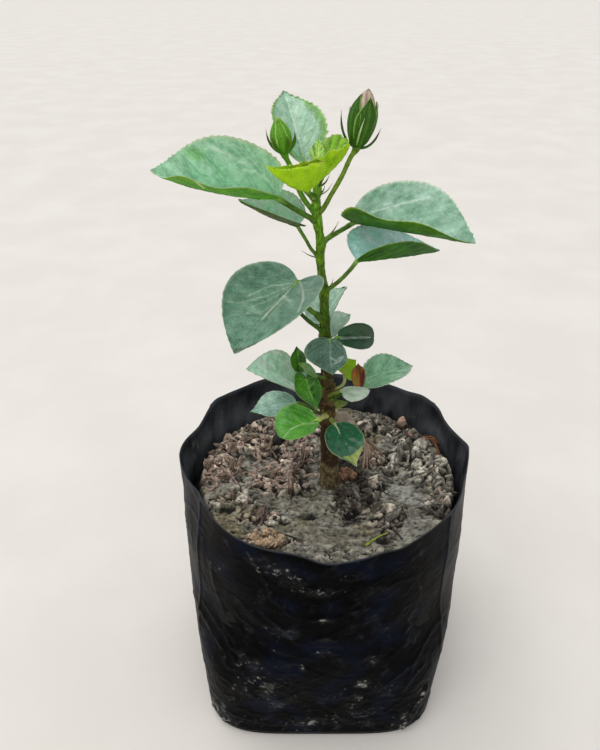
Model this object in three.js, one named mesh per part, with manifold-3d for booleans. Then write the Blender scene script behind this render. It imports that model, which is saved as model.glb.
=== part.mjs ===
import * as THREE from 'three';
import { mergeVertices } from 'three/addons/utils/BufferGeometryUtils.js';
import Module from 'manifold-3d';

// Young potted hibiscus in a black film nursery bag. Millimetres, +Z up.
// Origin: centre of the bag's flat underside, where the bag stands.

// ---- nursery bag (lay-flat film tube, 254 mm flat width) ----
const BAG_R = 81;            // radius of the round mouth
const BAG_H = 150;           // mean height of the cut rim
const BASE_HALF = [69.5, 74.5]; // half sides of the squared base along X and Y
const BASE_POWER = 4.8;      // superellipse power of the squared base (the round mouth has 2)
const BASE_TURN = 2.6;       // clockwise turn of the base under the mouth, degrees
const BASE_SHIFT = -1.8;     // sideways lean of the base
const BASE_TO = 0.62;        // share of the height where the wall has become round
const FILM = 1.2;            // wall of the solid
const AROUND = 28;           // facets round the bag
const LEVELS = [0, 0.03, 0.2, 0.4, 0.6, 0.8, 0.92, 1];
// soft corners of the cut rim: [angle deg, radius, height]
const RIM = [
  [0, 82.5, 150.8], [18, 81.6, 149.8], [30, 82.5, 154.4], [41, 82.5, 156.2], [56, 82.0, 154.5],
  [90, 82.0, 154.4], [119, 82.3, 156.0], [142, 82.6, 155.6], [157, 81.3, 149.0], [177, 82.6, 150.4],
  [191, 79.6, 148.0], [208, 78.2, 152.6], [233, 80.4, 149.8], [257, 80.4, 150.4], [271, 81.3, 146.8],
  [289, 80.7, 149.2], [318, 80.0, 150.2], [334, 79.4, 149.4], [345, 79.2, 147.9],
];

// ---- soil ----
const SOIL_CENTRE = 126;     // soil height at the stem
const SOIL_RISE = 7.5;       // how much higher it stands at the wall
const SOIL_GAP = 0.35;       // clearance between soil and film
const SOIL_EDGE = 3.6;       // width of the dark gap at the top, right side; wider on the left

// ---- stem: [x, y, z, radius] from the flared foot up to the growing tip ----
const STEM = [
  [3.58, 3, 126.5, 6.2], [3.5, 3, 130, 5.45], [3.2, 3, 139, 5.0], [2.4, 3, 158, 4.6], [1.76, 2.8, 171.8, 4.24],
  [0.93, 2.5, 185.2, 3.83], [0.56, 2.4, 193, 3.47], [0.35, 2.2, 200.7, 3.0], [-0.17, 2, 213.6, 2.7],
  [-0.61, 1.8, 222.7, 2.85], [-0.93, 1.6, 231.4, 2.6], [-1.4, 1.4, 240, 2.33], [-1.73, 1.2, 246.7, 2.3],
  [-1.75, 1.1, 250.6, 2.6], [-3.0, 1, 257, 2.02], [-3.7, 0.8, 264, 1.85], [-4.1, 0.5, 272, 2.05],
  [-4.2, 0.3, 277, 2.2], [-4.85, 0.1, 282, 1.9], [-5.47, 0, 286.3, 2.16], [-6.2, -0.2, 290.7, 2.34],
  [-6.4, -0.5, 295.6, 1.95], [-6.22, -0.8, 300.3, 1.75], [-6.0, -1, 305, 1.5], [-5.8, -1.3, 310, 1.1], [-5.64, -1.5, 313.6, 0.7],
];
const STEM_SIDES = 8;
// stipule needles on the stem: [node height, turn deg, reach, rise]
const STIPULES = [
  [299, -10, 5.6, 6.2], [277.4, 0, 6.6, 9.2], [250.8, -2, 6.2, 7.4],
  [268, 172, 7.6, 3.6], [231, 176, 8.2, 3.0], [232, 150, 6.4, 6.6],
];

// ---- leaves ----
// base: where the blade meets its stalk; tip: end of the blade; roll/bend/fold/camber in degrees;
// half: left and right half widths; wide: where the blade is widest; lobe: how far the base lobes reach back;
// point: bluntness of the tip; wave: margin wave; node: height on the stem; via: bends of the stalk; stalk: its end radii.
const BLADE = 1.0;           // blade thickness of the solid
const LEAVES = {
  leaf_01: { base: [-24.06, -12.41, 301.88], tip: [-80.97, -3.82, 311.55], roll: -28.5, bend: 10.1, sweep: -0.101, half: [22.48, 25.12], fold: [46.5, 55.4], camber: [17.3, 17], wide: 0.395, lobe: [0.049, 0.049], point: [0.22, 0.39], wave: [2.09, 1.9, 0.04, -1], node: 286.3, via: [[-12, -3.2, 291], [-18.4, -7.9, 296.4]], stalk: [1.15, 1.35] },
  leaf_02: { base: [-11.55, 6.45, 311.66], tip: [-21.84, 31.32, 339.8], roll: -9.9, bend: 25.9, sweep: 0.001, half: [15.14, 14.4], fold: [31.1, 13.2], camber: [17.5, 4.9], wide: 0.429, lobe: [-0.029, -0.029], point: [0.22, 0.32], wave: [0, 2, 0, 0], node: 302.6, via: [[-8.8, 2.7, 307.1]], stalk: [1.2, 1.3] },
  leaf_03: { base: [-10.24, -6.37, 303.28], tip: [-27.38, -33.72, 321.02], roll: -31.7, bend: -17.9, sweep: -0.051, half: [15.85, 16.32], fold: [70.1, 91.2], camber: [24.6, 5.6], wide: 0.284, lobe: [0.037, 0.037], point: [0.22, 0.14], wave: [0, 2, 0, 0], node: 297.5, via: [[-9.1, -3.4, 300.2]], stalk: [1.3, 1.4] },
  leaf_04: { base: [-4.34, -1.66, 307.86], tip: [6.72, -17.75, 325.94], roll: 11.3, bend: 2.2, sweep: -0.142, half: [13.3, 8.53], fold: [51.8, 33.3], camber: [36.2, 7], wide: 0.328, lobe: [0.043, 0.043], point: [0.22, 0.33], wave: [0, 2, 0, 0], node: 303.6, via: [], stalk: [1, 1.1] },
  leaf_05: { base: [-5.96, -5.05, 315.39], tip: [-5.35, 3.5, 323.87], roll: -1.1, bend: 6.1, sweep: 0.004, half: [3.76, 3.42], fold: [25, 33.4], camber: [3.4, 8], wide: 0.342, lobe: [-0.009, -0.009], point: [0.22, 0.23], wave: [0, 2, 0, 0], node: 310.9, via: [], stalk: [0.8, 0.8] },
  leaf_06: { base: [-14.79, 0.14, 284.83], tip: [-41.69, -9.37, 300.08], roll: -25.2, bend: -10.2, sweep: -0.038, half: [13.07, 13.58], fold: [43.9, 58.1], camber: [-3.6, 9.9], wide: 0.355, lobe: [0.086, 0.086], point: [0.22, 0.22], wave: [0, 2, 0, 0], node: 268.2, via: [[-8.1, 0.5, 272.3], [-11, 0.4, 277.4]], stalk: [0.75, 0.9] },
  leaf_07: { base: [11.51, -0.36, 286.94], tip: [60.19, -38.45, 290.01], roll: 11, bend: 9.4, sweep: 0.04, half: [26.29, 24.58], fold: [32.9, 33.9], camber: [-7.5, 17], wide: 0.374, lobe: [0.073, 0.02], point: [0.22, 0.6], wave: [1.83, 1.9, -1.09, 1], node: 275.9, via: [[2.3, 0.1, 280.2], [7.4, -0.1, 283.5]], stalk: [1.05, 1.25] },
  leaf_08: { base: [11.88, -21.8, 275.91], tip: [53.1, -1.66, 273.1], roll: 1.5, bend: 5.8, sweep: 0.052, half: [19.52, 18.72], fold: [36.2, 37.1], camber: [-9.8, 11.4], wide: 0.275, lobe: [0.035, 0.035], point: [0.22, 0.31], wave: [0, 2, 0, 0], node: 250, via: [[4.5, -6.9, 258.8], [9.4, -15.6, 268.6]], stalk: [0.85, 1.15] },
  leaf_09: { base: [-14.8, -10.51, 260.9], tip: [-42.54, -53.67, 245.08], roll: 3.2, bend: -1.9, sweep: 0.027, half: [22.04, 24.54], fold: [11.3, 18.2], camber: [6.5, 31.2], wide: 0.333, lobe: [0.115, 0.115], point: [0.22, 0.59], wave: [0, 2, 0, 0], node: 235.5, via: [[-7.8, -1.6, 240.6], [-11.9, -4.6, 246.7]], stalk: [1.05, 1.4] },
  leaf_10: { base: [-19.79, -3.46, 246.7], tip: [-42.42, 6.62, 243.17], roll: 0, bend: 25, sweep: 0, half: [9.57, 9.57], fold: [20, 20], camber: [8, 8], wide: 0.36, lobe: [0.03, 0.03], point: [0.22, 0.2], wave: [0, 2, 0, 0], node: 226.8, via: [[-9.3, -0.2, 234.4], [-13.8, -1.6, 239.8]], stalk: [0.9, 1.1] },
  leaf_11: { base: [-1.4, 5.49, 229.5], tip: [11.57, 29.92, 240.49], roll: -13.9, bend: 35.6, sweep: -0.013, half: [13.58, 10.4], fold: [26.4, 29.8], camber: [5.9, 16.9], wide: 0.328, lobe: [0.044, 0.044], point: [0.22, 0.25], wave: [0, 2, 0, 0], node: 228.5, via: [], stalk: [0.9, 1] },
  leaf_12: { base: [1.42, 6.91, 221.16], tip: [13.6, 24.04, 226.87], roll: 16.4, bend: 15.3, sweep: -0.009, half: [8.74, 7.33], fold: [54.3, 46.6], camber: [15.1, 17], wide: 0.406, lobe: [0.013, 0.013], point: [0.22, 0.24], wave: [0, 2, 0, 0], node: 220.9, via: [], stalk: [0.8, 0.9] },
  leaf_13: { base: [5.38, -5.71, 228.35], tip: [24.49, 1.69, 223.89], roll: 49.7, bend: 36.7, sweep: 0.003, half: [8.16, 8.08], fold: [38.7, 16.8], camber: [16.6, 14.4], wide: 0.473, lobe: [0.027, 0.027], point: [0.22, 0.26], wave: [0, 2, 0, 0], node: 219.1, via: [[3.1, -2.5, 224.7]], stalk: [0.9, 1] },
  leaf_14: { base: [1.18, -9.15, 229.01], tip: [1.78, -34.97, 223.36], roll: -12.3, bend: -16.9, sweep: 0.006, half: [8.43, 12.97], fold: [-1.5, -9.9], camber: [8.6, 7.6], wide: 0.403, lobe: [0.062, 0.062], point: [0.22, 0.31], wave: [0, 2, 0, 0], node: 217.3, via: [], stalk: [0.9, 1] },
  leaf_15: { base: [1.86, 8.56, 203.18], tip: [-1.44, 27.99, 205.01], roll: 0, bend: 25, sweep: 0, half: [7.76, 7.76], fold: [20, 20], camber: [8, 8], wide: 0.36, lobe: [0.03, 0.03], point: [0.22, 0.2], wave: [0, 2, 0, 0], node: 204.4, via: [], stalk: [0.8, 0.9] },
  leaf_16: { base: [-15.46, 0.74, 195.91], tip: [-41.38, -11.68, 213.09], roll: -17.1, bend: 35.5, sweep: 0.058, half: [13.19, 12.6], fold: [-5.9, 27], camber: [29.7, 19.6], wide: 0.367, lobe: [0.031, 0.031], point: [0.22, 0.46], wave: [0, 2, 0, 0], node: 190.4, via: [[-6.8, 1.7, 189.6]], stalk: [0.9, 1] },
  leaf_17: { base: [-11.66, 5.22, 188.66], tip: [-27.28, 19.45, 196.91], roll: 0, bend: 25, sweep: 0, half: [8.78, 8.78], fold: [20, 20], camber: [8, 8], wide: 0.36, lobe: [0.03, 0.03], point: [0.22, 0.2], wave: [0, 2, 0, 0], node: 185.2, via: [], stalk: [0.8, 0.9] },
  leaf_18: { base: [-13.85, -2.92, 205.56], tip: [-15.71, 8.82, 215.34], roll: -7.3, bend: 3.9, sweep: 0, half: [5.5, 5.84], fold: [35, 38.7], camber: [13.7, 16.1], wide: 0.386, lobe: [0.025, 0.025], point: [0.22, 0.23], wave: [0, 2, 0, 0], node: 195.5, via: [[-8.5, -0.5, 198.6]], stalk: [0.7, 0.8] },
  leaf_19: { base: [-5.64, -11.02, 209.14], tip: [-14.61, -12.46, 217.34], roll: -8.5, bend: 1.2, sweep: 0.002, half: [4.79, 4.68], fold: [2.2, 6.5], camber: [11.7, 1.4], wide: 0.39, lobe: [0.029, 0.029], point: [0.22, 0.23], wave: [0, 2, 0, 0], node: 199.4, via: [], stalk: [0.7, 0.8] },
  leaf_20: { base: [-10.49, -9.96, 205.8], tip: [-5.01, -25.2, 197.01], roll: -2.3, bend: -1.7, sweep: 0.017, half: [6.42, 8.21], fold: [4.3, 5.7], camber: [5.7, 8.3], wide: 0.315, lobe: [0.334, 0.334], point: [0.22, 0.27], wave: [0, 2, 0, 0], node: 192.3, via: [[-5.4, -4.1, 199.5]], stalk: [0.8, 1] },
  leaf_21: { base: [-16.06, 4.64, 182.51], tip: [-41.18, -1.38, 179.9], roll: -14.4, bend: 22.3, sweep: 0.005, half: [9.95, 9.38], fold: [6.1, 7.2], camber: [9.3, 1.4], wide: 0.459, lobe: [0.015, 0.015], point: [0.22, 0.29], wave: [0, 2, 0, 0], node: 173.8, via: [[-7.2, 3.7, 178.5], [-12.2, 4.3, 181.4]], stalk: [0.7, 0.8] },
  leaf_22: { base: [-4.34, -14.01, 183.89], tip: [-25.54, -22.92, 180.24], roll: -9.9, bend: 15.3, sweep: -0.006, half: [10.04, 12.56], fold: [7.8, 17.3], camber: [6.4, 18], wide: 0.49, lobe: [-0.022, -0.022], point: [0.03, 0.81], wave: [0, 2, 0, 0], node: 175.8, via: [], stalk: [1.2, 1.5] },
  leaf_23: { base: [19.38, -5.88, 198.43], tip: [49.72, 21.17, 195.91], roll: 8.9, bend: 40.8, sweep: -0.006, half: [11.15, 11.72], fold: [31.8, 19.8], camber: [7.2, -1.1], wide: 0.397, lobe: [-0.019, -0.019], point: [0.22, 0.27], wave: [0, 2, 0, 0], node: 185.2, via: [[10.3, -1.7, 192.4]], stalk: [0.9, 1.1] },
  leaf_24: { base: [16.87, -10.37, 200.28], tip: [16.73, 0.64, 209.58], roll: -7.6, bend: 21, sweep: 0.011, half: [5.12, 5.36], fold: [38.6, 43.9], camber: [13.2, 14.2], wide: 0.478, lobe: [0.026, 0.026], point: [0.22, 0.21], wave: [0, 2, 0, 0], node: 187.8, via: [[10.6, -5.1, 195.2]], stalk: [0.7, 0.8] },
  leaf_25: { base: [10.28, 10.16, 196.56], tip: [15.74, 2.16, 210.54], roll: 43.4, bend: 11, sweep: -0.037, half: [8.81, 7.2], fold: [20.7, -10.3], camber: [6.7, -0.7], wide: 0.407, lobe: [0.042, 0.042], point: [0.22, 0.26], wave: [0, 2, 0, 0], node: 190.4, via: [[10, 7.7, 192.3]], stalk: [0.75, 0.8] },
  leaf_26: { base: [7.87, -16.19, 203.59], tip: [21.76, -17.78, 203.98], roll: -1.5, bend: 0.6, sweep: 0.012, half: [5.89, 8.1], fold: [-8.7, -12], camber: [-3.4, -5], wide: 0.373, lobe: [0.017, 0.017], point: [0.05, 0.7], wave: [0, 2, 0, 0], node: 187.8, via: [], stalk: [0.8, 0.9] },
  leaf_27: { base: [8.83, -9.47, 192.27], tip: [4.79, -17.39, 192.45], roll: 5.7, bend: 14.6, sweep: -0.008, half: [3.88, 3.09], fold: [7.7, 3.3], camber: [7, 5.1], wide: 0.364, lobe: [0.03, 0.03], point: [0.22, 0.2], wave: [0, 2, 0, 0], node: 186.5, via: [], stalk: [0.6, 0.7] },
  leaf_28: { base: [5.17, -6.59, 175.55], tip: [16.2, -27.41, 162.46], roll: 3.9, bend: 16.5, sweep: 0.013, half: [11.19, 10.82], fold: [9.4, 6], camber: [7.6, 6.4], wide: 0.433, lobe: [0.014, 0.014], point: [0.22, 0.25], wave: [0, 2, 0, 0], node: 175.1, via: [], stalk: [1, 1.1] },
  leaf_29: { base: [5.67, -1.96, 174.34], tip: [19.2, 2.34, 167.33], roll: 8.3, bend: 32.7, sweep: -0.001, half: [6.91, 5.73], fold: [20.1, 10], camber: [7.9, 8], wide: 0.349, lobe: [0.044, 0.044], point: [0.22, 0.22], wave: [0, 2, 0, 0], node: 173.8, via: [], stalk: [0.8, 0.9] },};

// ---- flower buds: ovoid calyx on a stalk, ringed by thin bracts ----
const BUDS = {
  bud_1: {
    foot: [-20.7, -5.6, 318.9], tip: [-23.7, -6.6, 334.5], node: 290.2,
    via: [[-11.1, -3, 296.6], [-13.85, -4.5, 301.8], [-17.84, -6, 313]], stalk: [1.1, 1.25],
    girth: [[0, 1.4], [0.12, 3.1], [0.3, 4.35], [0.5, 4.75], [0.68, 4.4], [0.84, 3.1], [1, 0.5]],
    bracts: [[180, 5.5, 6.0, 12, 5.7], [238, 5, 5.7, 9.5, 6.3], [300, 5, 5.7, 9, 6.3], [2, 5, 5.5, 8.5, 6.2], [62, 5, 5.8, 10, 6.4], [122, 5, 5.8, 11, 6.3]],
  },
  bud_2: {
    foot: [10.9, -4, 320.9], tip: [15.5, -2, 345.4], node: 290.2,
    via: [[-2.96, -1.6, 293.5], [0.12, -2.5, 299.4], [5.0, -3.3, 308.6], [8.7, -3.8, 317.2]], stalk: [1.0, 1.15],
    girth: [[0, 1.4], [0.1, 3.6], [0.25, 5.1], [0.4, 6.0], [0.58, 6.0], [0.74, 5.0], [0.86, 3.6], [0.94, 2.2], [1, 0.5]],
    bracts: [[184, 5, 7.8, 14.6, 9.8], [-8, 3, 6.6, 10.4, 8.6], [24, 7, 7.0, 19.5, 6.2], [78, 5, 7.4, 15, 8.4], [130, 5, 7.4, 16, 9], [262, 6, 6.6, 13.5, 7.4]],
  },
};

const PLAIN = {
  bag: { color: 0x1b1c1f, roughness: 0.42, metalness: 0 },
  soil: { color: 0x6f645a, roughness: 0.95, metalness: 0 },
  stem: { color: 0x45502a, roughness: 0.7, metalness: 0 },
  leaf: { color: 0x3f6e3c, roughness: 0.4, metalness: 0 },
  bud: { color: 0x4c7a22, roughness: 0.55, metalness: 0 },
};

const V = (p) => new THREE.Vector3(p[0], p[1], p[2]);
const rad = (d) => d * Math.PI / 180;
const clamp01 = (x) => Math.min(1, Math.max(0, x));
const smooth = (a, b, x) => { const t = clamp01((x - a) / (b - a)); return t * t * (3 - 2 * t); };

function table(rows, x, col) {
  if (x <= rows[0][0]) return rows[0][col];
  for (let i = 1; i < rows.length; i++) {
    if (x <= rows[i][0]) {
      const t = (x - rows[i - 1][0]) / (rows[i][0] - rows[i - 1][0]);
      return rows[i - 1][col] * (1 - t) + rows[i][col] * t;
    }
  }
  return rows[rows.length - 1][col];
}

// ---- geometry helpers ----
function indexed(points, faces) {
  const g = new THREE.BufferGeometry();
  const pos = new Float32Array(points.length * 3);
  points.forEach((p, i) => { pos[3 * i] = p.x; pos[3 * i + 1] = p.y; pos[3 * i + 2] = p.z; });
  g.setAttribute('position', new THREE.BufferAttribute(pos, 3));
  g.setIndex(faces.flat());
  return g;
}

// closed body through a run of rings; first and last entries are single end points
function loft(start, rings, end) {
  const n = rings[0].length, pts = [start], faces = [];
  rings.forEach((r) => pts.push(...r));
  pts.push(end);
  const at = (k, i) => 1 + k * n + (i % n);
  for (let i = 0; i < n; i++) {
    faces.push([0, at(0, i + 1), at(0, i)]);
    for (let k = 0; k + 1 < rings.length; k++) {
      faces.push([at(k, i), at(k, i + 1), at(k + 1, i + 1)]);
      faces.push([at(k, i), at(k + 1, i + 1), at(k + 1, i)]);
    }
    faces.push([pts.length - 1, at(rings.length - 1, i), at(rings.length - 1, i + 1)]);
  }
  return indexed(pts, faces);
}

// round tube of changing radius along a run of points, ends closed flat
function tube(points, radii, sides) {
  const n = points.length;
  let t = points[1].clone().sub(points[0]).normalize();
  let u = new THREE.Vector3(1, 0, 0);
  if (Math.abs(t.x) > 0.8) u.set(0, 1, 0);
  u.addScaledVector(t, -u.dot(t)).normalize();
  const rings = [];
  for (let i = 0; i < n; i++) {
    t = points[Math.min(n - 1, i + 1)].clone().sub(points[Math.max(0, i - 1)]).normalize();
    u.addScaledVector(t, -u.dot(t)).normalize();
    const w = new THREE.Vector3().crossVectors(t, u);
    const ring = [];
    for (let k = 0; k < sides; k++) {
      const a = 2 * Math.PI * k / sides;
      ring.push(points[i].clone().addScaledVector(u, radii[i] * Math.cos(a)).addScaledVector(w, radii[i] * Math.sin(a)));
    }
    rings.push(ring);
  }
  return loft(points[0].clone(), rings, points[n - 1].clone());
}

function alongCurve(points, count) {
  return new THREE.CatmullRomCurve3(points, false, 'centripetal').getPoints(count);
}

// ---- bag and soil ----
function rimAt(deg, col) {
  const a = ((deg % 360) + 360) % 360;
  const rows = [...RIM, [360, RIM[0][1], RIM[0][2]]];
  return table(rows, a, col);
}

function bagPoint(deg, h, inset) {
  const c = Math.cos(rad(deg)), s = Math.sin(rad(deg));
  const w = 1 - smooth(0, BASE_TO, h);
  const halfX = BAG_R + (BASE_HALF[0] - BAG_R) * w, halfY = BAG_R + (BASE_HALF[1] - BAG_R) * w;
  const power = 2 + (BASE_POWER - 2) * w, turned = rad(deg + BASE_TURN * w);
  let r = Math.pow(Math.pow(Math.abs(Math.cos(turned)) / halfX, power) + Math.pow(Math.abs(Math.sin(turned)) / halfY, power), -1 / power);
  r *= 1 - 0.018 * (1 - smooth(0, 0.03, h));
  const rim = smooth(0.78, 1, h);
  r = r * (1 - rim) + rimAt(deg, 1) * rim - inset;
  const z = h * (BAG_H * (1 - rim) + rimAt(deg, 2) * rim);
  return new THREE.Vector3(BASE_SHIFT * w + r * c, r * s, z);
}

function ringAt(f) {
  const ring = [];
  for (let i = 0; i < AROUND; i++) ring.push(f(360 * (i + 0.5) / AROUND));
  return ring;
}

function bagSolid() {
  const rings = [];
  for (const h of LEVELS) rings.push(ringAt((d) => bagPoint(d, h, 0)));
  for (const h of [...LEVELS].reverse()) {
    rings.push(ringAt((d) => { const p = bagPoint(d, h, FILM); p.z = Math.max(p.z, FILM); if (h === 0) p.multiply(new THREE.Vector3(0.98, 0.98, 1)); return p; }));
  }
  return loft(new THREE.Vector3(0, 0, 0), rings, new THREE.Vector3(0, 0, FILM));
}

function soilHeight(x, y) {
  const r = Math.hypot(x, y);
  const lumps = 1.5 * Math.sin(x * 0.21 + 1.3) * Math.cos(y * 0.17 - 0.6) + 0.9 * Math.sin(x * 0.43 - y * 0.31);
  const calm = smooth(9, 24, Math.hypot(x - STEM[0][0], y - STEM[0][1]));
  return SOIL_CENTRE + SOIL_RISE * (r / 75) * (r / 75) + lumps * calm - 0.35 * (1 - calm);
}

function soilSolid() {
  const clear = FILM + SOIL_GAP;
  const rings = [];
  const low = (h) => ringAt((d) => {
    const p = bagPoint(d, h, clear);
    p.z = Math.max(p.z, FILM + SOIL_GAP);
    if (h === 0) p.multiply(new THREE.Vector3(0.98, 0.98, 1));
    return p;
  });
  for (const h of [0, 0.03, 0.2, 0.4, 0.6, 0.8]) rings.push(low(h));
  const edge = (d) => SOIL_EDGE + 3.0 * smooth(0.2, 1, -Math.cos(rad(d)));
  for (const share of [1, 0.86, 0.56, 0.26]) {
    rings.push(ringAt((d) => {
      const p = bagPoint(d, 0.88, clear + edge(d));
      p.x *= share; p.y *= share;
      p.z = soilHeight(p.x, p.y) - (share === 1 ? 3 : 0);
      return p;
    }));
  }
  return loft(new THREE.Vector3(0, 0, soilHeight(0, 0)), rings.reverse(), new THREE.Vector3(0, 0, FILM + SOIL_GAP));
}

// ---- stem ----
function stemAt(z) {
  const rows = STEM.map((r) => [r[2], r[0], r[1], r[3]]);
  return { p: new THREE.Vector3(table(rows, z, 1), table(rows, z, 2), z), r: table(rows, z, 3) };
}
function stemTube(grow) {
  return tube(STEM.map(V), STEM.map((r) => r[3] + grow), STEM_SIDES);
}
function stipule(row) {
  const [z, turn, reach, rise] = row;
  const { p } = stemAt(z);
  const out = new THREE.Vector3(Math.cos(rad(turn)), Math.sin(rad(turn)), 0);
  const q = (s, lift) => p.clone().addScaledVector(out, reach * s).add(new THREE.Vector3(0, 0, rise * lift));
  return tube([p.clone(), q(0.45, 0.36), q(1, 1)], [0.75, 0.5, 0.28], 4);
}

// ---- leaf blade: midrib bowed between base and tip, each half folded up and cambered ----
function bladeFrame(s) {
  const B = V(s.base), T = V(s.tip);
  const t = T.clone().sub(B);
  const L = t.length();
  t.divideScalar(L);
  const n0 = new THREE.Vector3(0, 0, 1).addScaledVector(t, -t.z).normalize();
  const r0 = new THREE.Vector3().crossVectors(t, n0);
  const a = rad(s.roll);
  const n = n0.clone().multiplyScalar(Math.cos(a)).addScaledVector(r0, Math.sin(a));
  const r = new THREE.Vector3().crossVectors(t, n);
  const N = 32, X = [0], Z = [0], th = [];
  for (let i = 0; i < N; i++) {
    const u = (i + 0.5) / N, e = rad(s.bend) * (0.5 - u);
    th.push(e);
    X.push(X[i] + Math.cos(e) / N);
    Z.push(Z[i] + Math.sin(e) / N);
  }
  const chord = Math.hypot(X[N], Z[N]), al = Math.atan2(Z[N], X[N]);
  const rows = X.map((x, i) => [i / N,
    (x * Math.cos(al) + Z[i] * Math.sin(al)) / chord * L,
    (-x * Math.sin(al) + Z[i] * Math.cos(al)) / chord * L,
    (i === 0 ? th[0] : i === N ? th[N - 1] : (th[i - 1] + th[i]) / 2) - al]);
  return { B, t, n, r, L, arc: L / chord, rows };
}

function bladePoint(s, f, x, y, side, share) {
  let X = table(f.rows, x, 1), Z = table(f.rows, x, 2);
  const th = table(f.rows, x, 3);
  if (x < 0) { X += x * f.arc * Math.cos(f.rows[0][3]); Z += x * f.arc * Math.sin(f.rows[0][3]); }
  const sweep = x < 0 ? 0 : s.sweep * f.L * 4 * x * (1 - x);
  const n = f.t.clone().multiplyScalar(-Math.sin(th)).addScaledVector(f.n, Math.cos(th));
  const p = f.B.clone().addScaledVector(f.t, X).addScaledVector(f.n, Z).addScaledVector(f.r, sweep);
  const k = side > 0 ? 1 : 0;
  const a = rad(s.fold[k]);
  let c = rad(s.camber[k]);
  if (Math.abs(c) < 1e-3) c = 1e-3;
  const A = (Math.sin(a + c * y) - Math.sin(a)) / c, U = (Math.cos(a) - Math.cos(a + c * y)) / c;
  p.addScaledVector(f.r, s.half[k] * A * side).addScaledVector(n, s.half[k] * U);
  const [amp, waves, phase, only] = s.wave;
  if (amp && (only === 0 || only === side)) {
    p.addScaledVector(n, amp * share * share * Math.sin(2 * Math.PI * waves * x + phase) * clamp01(5 * x * (1 - x)));
  }
  return p;
}

// outline of one half: x in blade lengths, y in half widths
function halfOutline(s, side, count) {
  const lobe = s.lobe[side > 0 ? 1 : 0], xm = s.wide, [k3, tt] = s.point;
  const bez = (P, t) => {
    const a = 1 - t;
    return [0, 1].map((i) => a * a * a * P[0][i] + 3 * a * a * t * P[1][i] + 3 * a * t * t * P[2][i] + t * t * t * P[3][i]);
  };
  const first = Math.floor(count / 2), pts = [];
  for (let i = 0; i <= first; i++) pts.push(bez([[0, 0], [-2 * lobe - 0.02, 0.55], [xm - 0.22, 1], [xm, 1]], i / first));
  for (let i = 1; i < count - first; i++) pts.push(bez([[xm, 1], [xm + 0.26, 1], [1 - k3, tt], [1, 0]], i / (count - first - 1)));
  return pts;
}

function bladeSolid(s) {
  const f = bladeFrame(s);
  const across = f.L > 40 ? 3 : 2, count = f.L > 40 ? 8 : f.L > 20 ? 7 : 6;
  const left = halfOutline(s, -1, count), right = halfOutline(s, 1, count);
  const rows = [];
  for (let i = 0; i < count; i++) {
    const t = i / (count - 1);
    const row = [];
    if (i === 0 || i === count - 1) row.push(bladePoint(s, f, t, 0, 1, 0));
    else {
      for (let k = -across; k <= across; k++) {
        const side = k < 0 ? -1 : 1, o = (side < 0 ? left : right)[i], q = Math.abs(k) / across;
        row.push(bladePoint(s, f, t + (o[0] - t) * q, o[1] * q, side, q));
      }
    }
    rows.push(row);
  }
  // outward side: push every point down along the surface normal
  const W = 2 * across + 1;
  const normal = (i, k) => {
    const R = (a, b) => rows[a].length === 1 ? rows[a][0] : rows[a][Math.min(W - 1, Math.max(0, b))];
    const du = R(i + 1, k).clone().sub(R(i - 1, k)), dv = R(i, k + 1).clone().sub(R(i, k - 1));
    return new THREE.Vector3().crossVectors(dv, du).normalize();
  };
  const pts = [], id = { top: [], low: [] };
  const add = (p) => { pts.push(p); return pts.length - 1; };
  rows.forEach((row, i) => {
    if (row.length === 1) {
      const th = table(f.rows, i === 0 ? 0 : 1, 3);
      const n = f.t.clone().multiplyScalar(-Math.sin(th)).addScaledVector(f.n, Math.cos(th));
      id.top.push([add(row[0])]);
      id.low.push([add(row[0].clone().addScaledVector(n, -BLADE))]);
    } else {
      id.top.push(row.map((p) => add(p)));
      id.low.push(row.map((p, k) => { const n = normal(i, k); return add(p.clone().addScaledVector(n, n.dot(f.n) < -0.95 ? BLADE : -BLADE)); }));
    }
  });
  const faces = [];
  const quad = (a, b, c, d) => { faces.push([a, b, c], [a, c, d]); };
  const last = count - 1;
  for (let k = 0; k < W - 1; k++) {
    faces.push([id.top[0][0], id.top[1][k + 1], id.top[1][k]], [id.low[0][0], id.low[1][k], id.low[1][k + 1]]);
    faces.push([id.top[last][0], id.top[last - 1][k], id.top[last - 1][k + 1]], [id.low[last][0], id.low[last - 1][k + 1], id.low[last - 1][k]]);
    for (let i = 1; i < last - 1; i++) {
      quad(id.top[i][k], id.top[i][k + 1], id.top[i + 1][k + 1], id.top[i + 1][k]);
      quad(id.low[i][k + 1], id.low[i][k], id.low[i + 1][k], id.low[i + 1][k + 1]);
    }
  }
  for (let i = 0; i < last; i++) {
    const g = (arr, a, far) => arr[a].length === 1 ? arr[a][0] : arr[a][far ? W - 1 : 0];
    quad(g(id.top, i, false), g(id.top, i + 1, false), g(id.low, i + 1, false), g(id.low, i, false));
    quad(g(id.top, i + 1, true), g(id.top, i, true), g(id.low, i, true), g(id.low, i + 1, true));
  }
  return { geometry: indexed(pts, faces), frame: f };
}

function stalkTube(s, end, inward) {
  const { p } = stemAt(s.node);
  const run = [p, ...s.via.map(V), end];
  const curve = alongCurve(run, Math.max(3, run.length));
  curve.push(end.clone().add(inward));
  const n = curve.length;
  return tube(curve, curve.map((q, i) => s.stalk[1] + (s.stalk[0] - s.stalk[1]) * i / (n - 1)), 5);
}

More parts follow.
